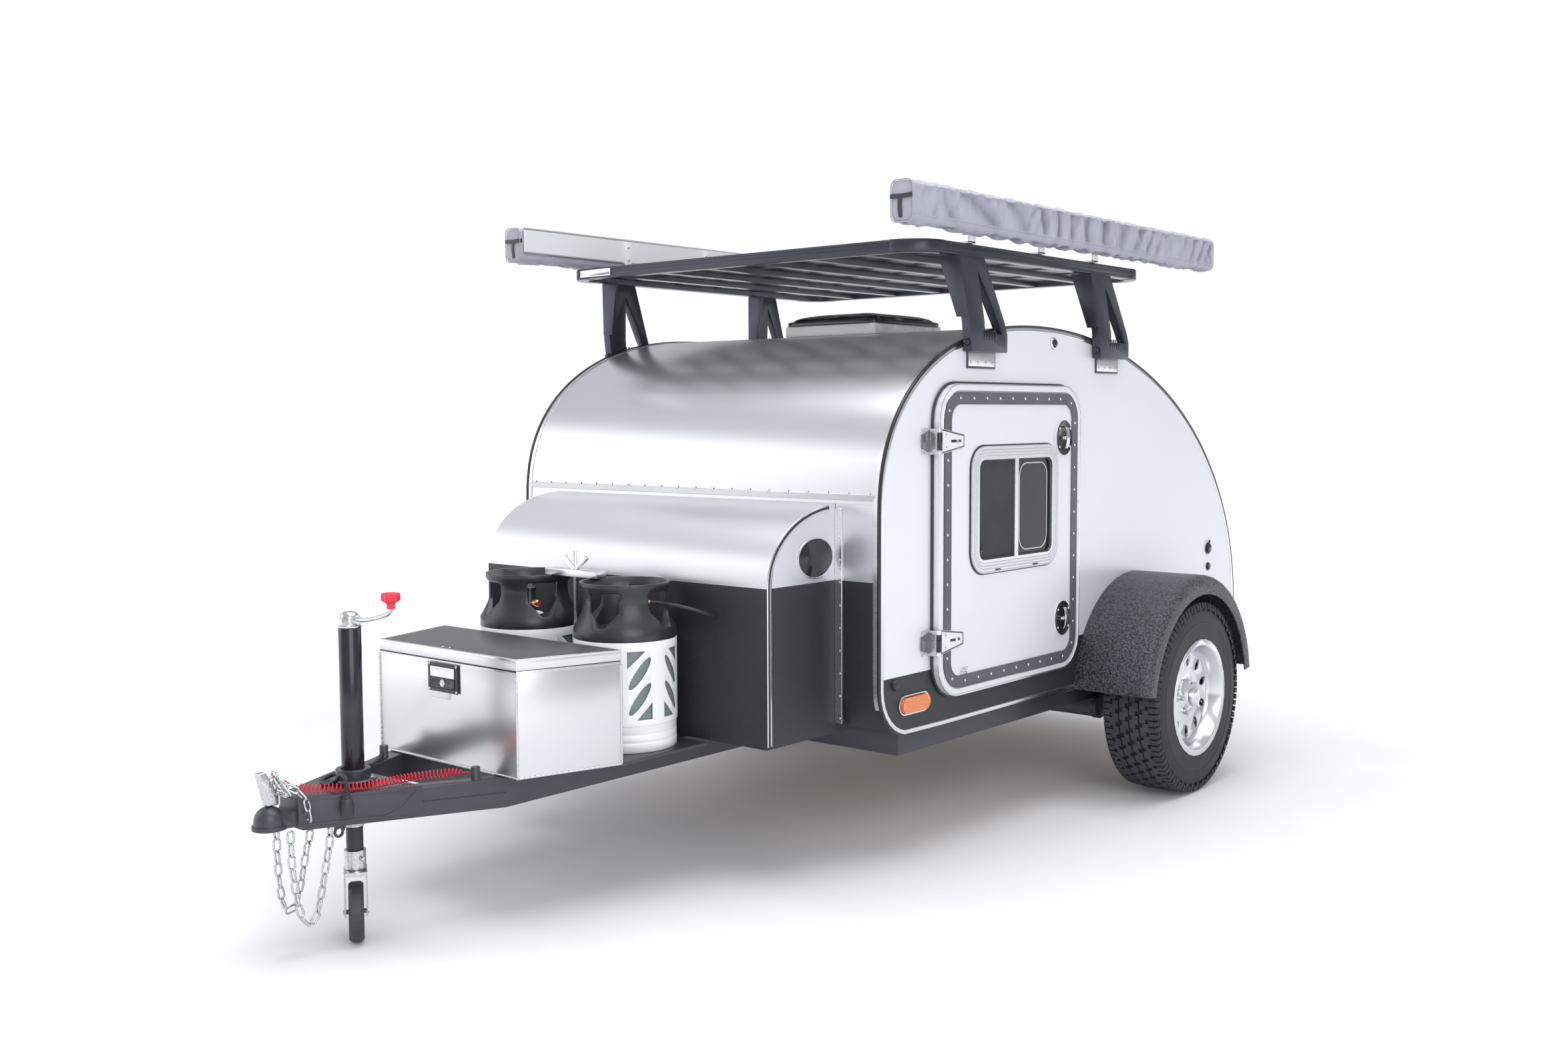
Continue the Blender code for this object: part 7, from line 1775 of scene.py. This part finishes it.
def make_side_fittings():
    """Bumpers, ports, hooks, porch lights, marker bezels and door catches, and the tail lamps' rings."""
    bumper = spun([(0.0165, 0.0), (0.0165, 0.004), (0.014, 0.0095), (0.008, 0.012), (0.0, 0.0125)],
                  (FITTING_X, -0.3903, 0.5589), "x", 28)
    paired(bumper, "side_bumper", "black_plastic")
    port = spun([(0.0235, 0.0), (0.0235, 0.003), (0.0215, 0.0048), (0.018, 0.005), (0.0172, 0.0085),
                 (0.015, 0.0098), (0.0, 0.0102)], (FITTING_X, 1.7165, 0.8093), "x", 32)
    small = spun([(0.0165, 0.0), (0.0165, 0.0026), (0.015, 0.0042), (0.0115, 0.0044), (0.0108, 0.008),
                  (0.0, 0.0088)], (FITTING_X, 1.7194, 0.7375), "x", 28)
    flap = slab((0.7668, 1.7115, 0.829), (0.7712, 1.7215, 0.842))
    paired(merged([port, small, eased(flap, 0.0012, 2)]), "side_ports", "gloss_black")
    hook = spun([(0.01, 0.0), (0.01, 0.003), (0.0055, 0.0042), (0.005, 0.011), (0.0075, 0.012),
                 (0.0075, 0.015), (0.0, 0.0165)], (FITTING_X, 1.6062, 0.7065), "x", 20)
    paired(hook, "side_hook", "trim_chrome")
    lamp = spun([(0.0205, 0.0), (0.0205, 0.0024), (0.018, 0.0056), (0.015, 0.0066), (0.0142, 0.0056),
                 (0.0, 0.0056)],
                (FITTING_X, 0.4959, 1.572), "x", 32)
    paired(lamp, "porch_lamp_bezel", "trim_chrome")
    glass = spun([(0.0142, 0.005), (0.012, 0.01), (0.007, 0.0125), (0.0, 0.0132)],
                 (FITTING_X, 0.4959, 1.572), "x", 28)
    paired(glass, "porch_lamp_lens", "gloss_black")
    bezel = drawn([(0.765, y, z) for y, z in rounded(-0.3715, 0.4655, -0.2231, 0.5205, 0.0272, 8)], "x",
                  0.006, 0.006, True)
    paired(eased(bezel, 0.0016, 2), "marker_bezel", "trim_chrome")
    plate = slab((0.788, -0.088, 0.553), (0.7905, -0.048, 0.572))
    pin = spun([(0.0, 0.0), (0.0068, 0.0), (0.0068, 0.005), (0.0045, 0.0062), (0.0045, 0.011),
                (0.007, 0.0118), (0.007, 0.014), (0.0, 0.015)], (0.79, -0.068, 0.5625), "x", 18)
    paired(merged([eased(plate, 0.0008, 1), pin]), "door_catch", "trim_chrome", DOORS)
    for side in (-1, 1):
        ring = spun([(0.042, 0.0), (0.047, 0.0), (0.048, 0.002), (0.0465, 0.0075), (0.0425, 0.0085),
                     (0.0418, 0.006)], (side * 0.56, BODY_REAR_Y + 0.0002, 0.498), "y", 40)
        finished(ring, f"tail_lamp_ring_{'left' if side > 0 else 'right'}", "gloss_black")


def make_awning_parts():
    """The backs, brackets, end straps, lower seams and end piping of the awnings."""
    back = slab((0.7863, AWNING_Y[0] + 0.022, 1.908), (0.7885, AWNING_Y[1] - 0.022, 1.986))
    lips = [eased(slab((0.7862, AWNING_Y[0] + 0.02, z - 0.0045), (0.7905, AWNING_Y[1] - 0.02, z + 0.0045)),
                  0.0016, 2)
            for z in (1.906, 1.987)]
    paired(eased(back, 0.0006, 1), "awning_back", "bracket_silver")
    paired(merged(lips), "awning_back_lips", "trim_chrome")
    for side, word in ((1, "left"), (-1, "right")):
        posts = []
        for y in BRACKET_Y[word]:
            low, high = sorted((side * 0.7798, side * 0.7861))
            posts.append(slab((low, y - 0.0006, 1.8534), (high, y + 0.0326, 1.978)))
            low, high = sorted((side * 0.751, side * 0.7861))
            posts.append(slab((low, y - 0.0006, 1.8528), (high, y + 0.0326, 1.8592)))
        finished(eased(merged(posts), 0.0009, 2), f"awning_brackets_{word}", "bracket_silver")
    cap_y = AWNING_Y[0] + 0.0046
    mid_x = (AWNING_X[0] + AWNING_X[1]) / 2
    across = drawn([(AWNING_X[0] + 0.0048, cap_y + 0.012, 1.946),
                    (AWNING_X[0] + 0.0048, cap_y - 0.001, 1.945), (mid_x, cap_y - 0.0026, 1.943),
                    (AWNING_X[1] - 0.0045, cap_y - 0.001, 1.945)], "z", 0.0024, 0.013)
    down = drawn([(mid_x - 0.004, cap_y - 0.002, 1.94), (mid_x - 0.004, cap_y - 0.003, 1.915),
                  (mid_x - 0.004, cap_y + 0.0005, 1.89), (mid_x - 0.004, cap_y + 0.011, 1.8745),
                  (mid_x - 0.004, cap_y + 0.04, 1.8705)], "x", 0.0024, 0.0125)
    paired(merged([eased(across, 0.0004, 1), eased(down, 0.0004, 1)]), "awning_straps", "black_plastic")
    line = [(AWNING_X[1] - 0.0044, AWNING_Y[0] + 0.008 + 0.0305 * i,
             AWNING_Z[0] + 0.0262 + 0.0005 * math.sin(i * 1.9))
            for i in range(64)]
    seam = bar_along(line, 0.0013, 4)
    corner = [(x, AWNING_Y[0] + 0.0062, z) for x, z in
              rounded(AWNING_X[0] + 0.0055, AWNING_Z[0] + 0.005, AWNING_X[1] - 0.0046, AWNING_Z[1] - 0.0052,
                      0.0195, 6)]
    piping = drawn(corner, "y", 0.003, 0.0036, True)
    paired(merged([seam, eased(piping, 0.001, 2)]), "awning_piping", "awning")


def make_vent_dome():
    """The vent lid's smooth blown dome over its rolled rim."""
    low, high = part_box("vent_lid")
    middle = (low + high) / 2
    dome = slab(low, (high.x, high.y, low.z + 0.012))
    choose(dome, "edges", lambda edge: abs(edge.verts[0].co.z - edge.verts[1].co.z) > 0.005)
    bpy.ops.mesh.bevel(offset=0.045, segments=6)
    choose(dome, "faces", facing("z", 1))
    rise = high.z - 0.0015 - (low.z + 0.0145)
    rings = [(0.97, 0.0025)]
    rings += [(0.93 * math.cos(math.radians(10 * i)), rise * math.sin(math.radians(10 * i)) + 0.0025)
              for i in range(9)]
    size, lift = 1.0, 0.0
    for share, height in rings:
        extrude((0, 0, height - lift))
        bpy.ops.transform.resize(value=(share / size, share / size, 1), center_override=middle)
        size, lift = share, height
    leave_edit()
    finished(eased(dome, 0.0016, 2, 50), "vent_lid_dome", "gloss_black", "vent_cover", 50)
    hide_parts("vent_lid")
    ribs = []
    for side in (-1, 1):
        for i in range(6):
            y = middle.y - 0.15 + 0.06 * i
            ribs.append(slab((side * 0.2008 - 0.0018, y, 1.632), (side * 0.2008 + 0.0018, y + 0.022, 1.65)))
    finished(eased(merged(ribs), 0.0012, 2), "vent_base_ribs", "bottle")


# The studio
def set_stage():
    """A pale floor under soft light: one wide light above, and one on each side."""
    bpy.ops.object.select_all(action="DESELECT")
    bpy.ops.mesh.primitive_plane_add(size=80.0, location=(0, 0, -0.0005))
    floor = bpy.context.object
    floor.name = "floor"
    bpy.ops.object.transform_apply(location=True, rotation=True, scale=True)
    pale = Finish("pale_floor", roughness=0.6, specular_ior_level=0.2)
    dust = pale.mottle(3.0, 4.0)
    pale.coat({"Base Color": pale.mix(dust, (0.8, 0.81, 0.84), (0.86, 0.87, 0.89))})
    x, y = pale.axes()[:2]
    far = (x * x + y * y).above(30.0, 24.0)
    pale.coat({"Emission Color": pale.mix(far, (0.03, 0.03, 0.03), (0.9, 0.9, 0.9)),
               "Emission Strength": 1.0})
    floor.data.materials.append(pale.material)
    for name, place, aim, size, power in (
        ("light_above", (0.6, -0.2, 5.6), (0.1, 0.0, 0.8), 5.0, 250.0),
        ("light_front_left", (6.5, -4.0, 3.6), (0.0, 0.2, 0.9), 5.0, 190.0),
        ("light_front_right", (-6.5, -5.5, 3.4), (0.0, -0.4, 0.7), 6.0, 130.0),
    ):
        lamp = bpy.data.lights.new(name, "AREA")
        lamp.energy = power
        lamp.size = size
        holder = bpy.data.objects.new(name, lamp)
        bpy.context.scene.collection.objects.link(holder)
        holder.location = place
        holder.rotation_euler = (Vector(aim) - Vector(place)).to_track_quat("-Z", "Y").to_euler()
    world = bpy.data.worlds.new("studio")
    bpy.context.scene.world = world
    world.use_nodes = True
    tree = world.node_tree
    tree.nodes.clear()
    output = tree.nodes.new("ShaderNodeOutputWorld")
    blend = tree.nodes.new("ShaderNodeMixShader")
    rays = tree.nodes.new("ShaderNodeLightPath")
    sky = tree.nodes.new("ShaderNodeBackground")
    backdrop = tree.nodes.new("ShaderNodeBackground")
    coordinates = tree.nodes.new("ShaderNodeTexCoord")
    split = tree.nodes.new("ShaderNodeSeparateXYZ")
    heights = tree.nodes.new("ShaderNodeValToRGB")
    stops = [(0.0, 0.6), (0.49, 0.54), (0.56, 0.68), (0.74, 0.95), (0.9, 0.86)]
    while len(heights.color_ramp.elements) < len(stops):
        heights.color_ramp.elements.new(0.5)
    for element, (place, grey) in zip(heights.color_ramp.elements, stops):
        element.position = place
        element.color = (grey, grey, grey * 1.04, 1.0)
    scaled = tree.nodes.new("ShaderNodeMapRange")
    scaled.inputs[1].default_value = -1.0
    for start, end in (
        (coordinates.outputs["Generated"], split.inputs[0]),
        (split.outputs[2], scaled.inputs[0]),
        (scaled.outputs[0], heights.inputs[0]),
        (heights.outputs[0], sky.inputs[0]),
        (rays.outputs["Is Camera Ray"], blend.inputs[0]),
        (sky.outputs[0], blend.inputs[1]),
        (backdrop.outputs[0], blend.inputs[2]),
        (blend.outputs[0], output.inputs[0]),
    ):
        tree.links.new(start, end)
    sky.inputs[1].default_value = 0.75
    backdrop.inputs[0].default_value = (1.0, 1.0, 1.0, 1.0)
    bpy.context.scene.view_settings.view_transform = "Standard"


look_from(place=(3.2853, -3.8879, 1.3409), yaw=math.radians(40.05), pitch=math.radians(-4.141),
          roll=math.radians(-0.195), focal=34.475)
make_breakaway_cord()
make_light_cable()
make_hose()
dress_nodes()
refine_nodes()
make_tyres()
make_wheel_trim()
make_edge_trim()
make_roof_flange()
make_seam_strip()
make_door_edges()
make_door_screws()
make_latches()
make_hinges()
make_window_trim()
make_box_trim()
make_box_latch()
make_bottle_casings()
make_valves()
make_nose_trim()
make_jack()
make_chains()
make_coupler_parts()
make_rail_trim()
make_plank_screws()
make_leg_parts()
make_bracket_bolts()
make_awnings()
make_awning_parts()
make_jack_head()
make_lever_chains()
make_jack_bracket()
make_plates()
make_side_fittings()
make_vent_dome()
set_stage()
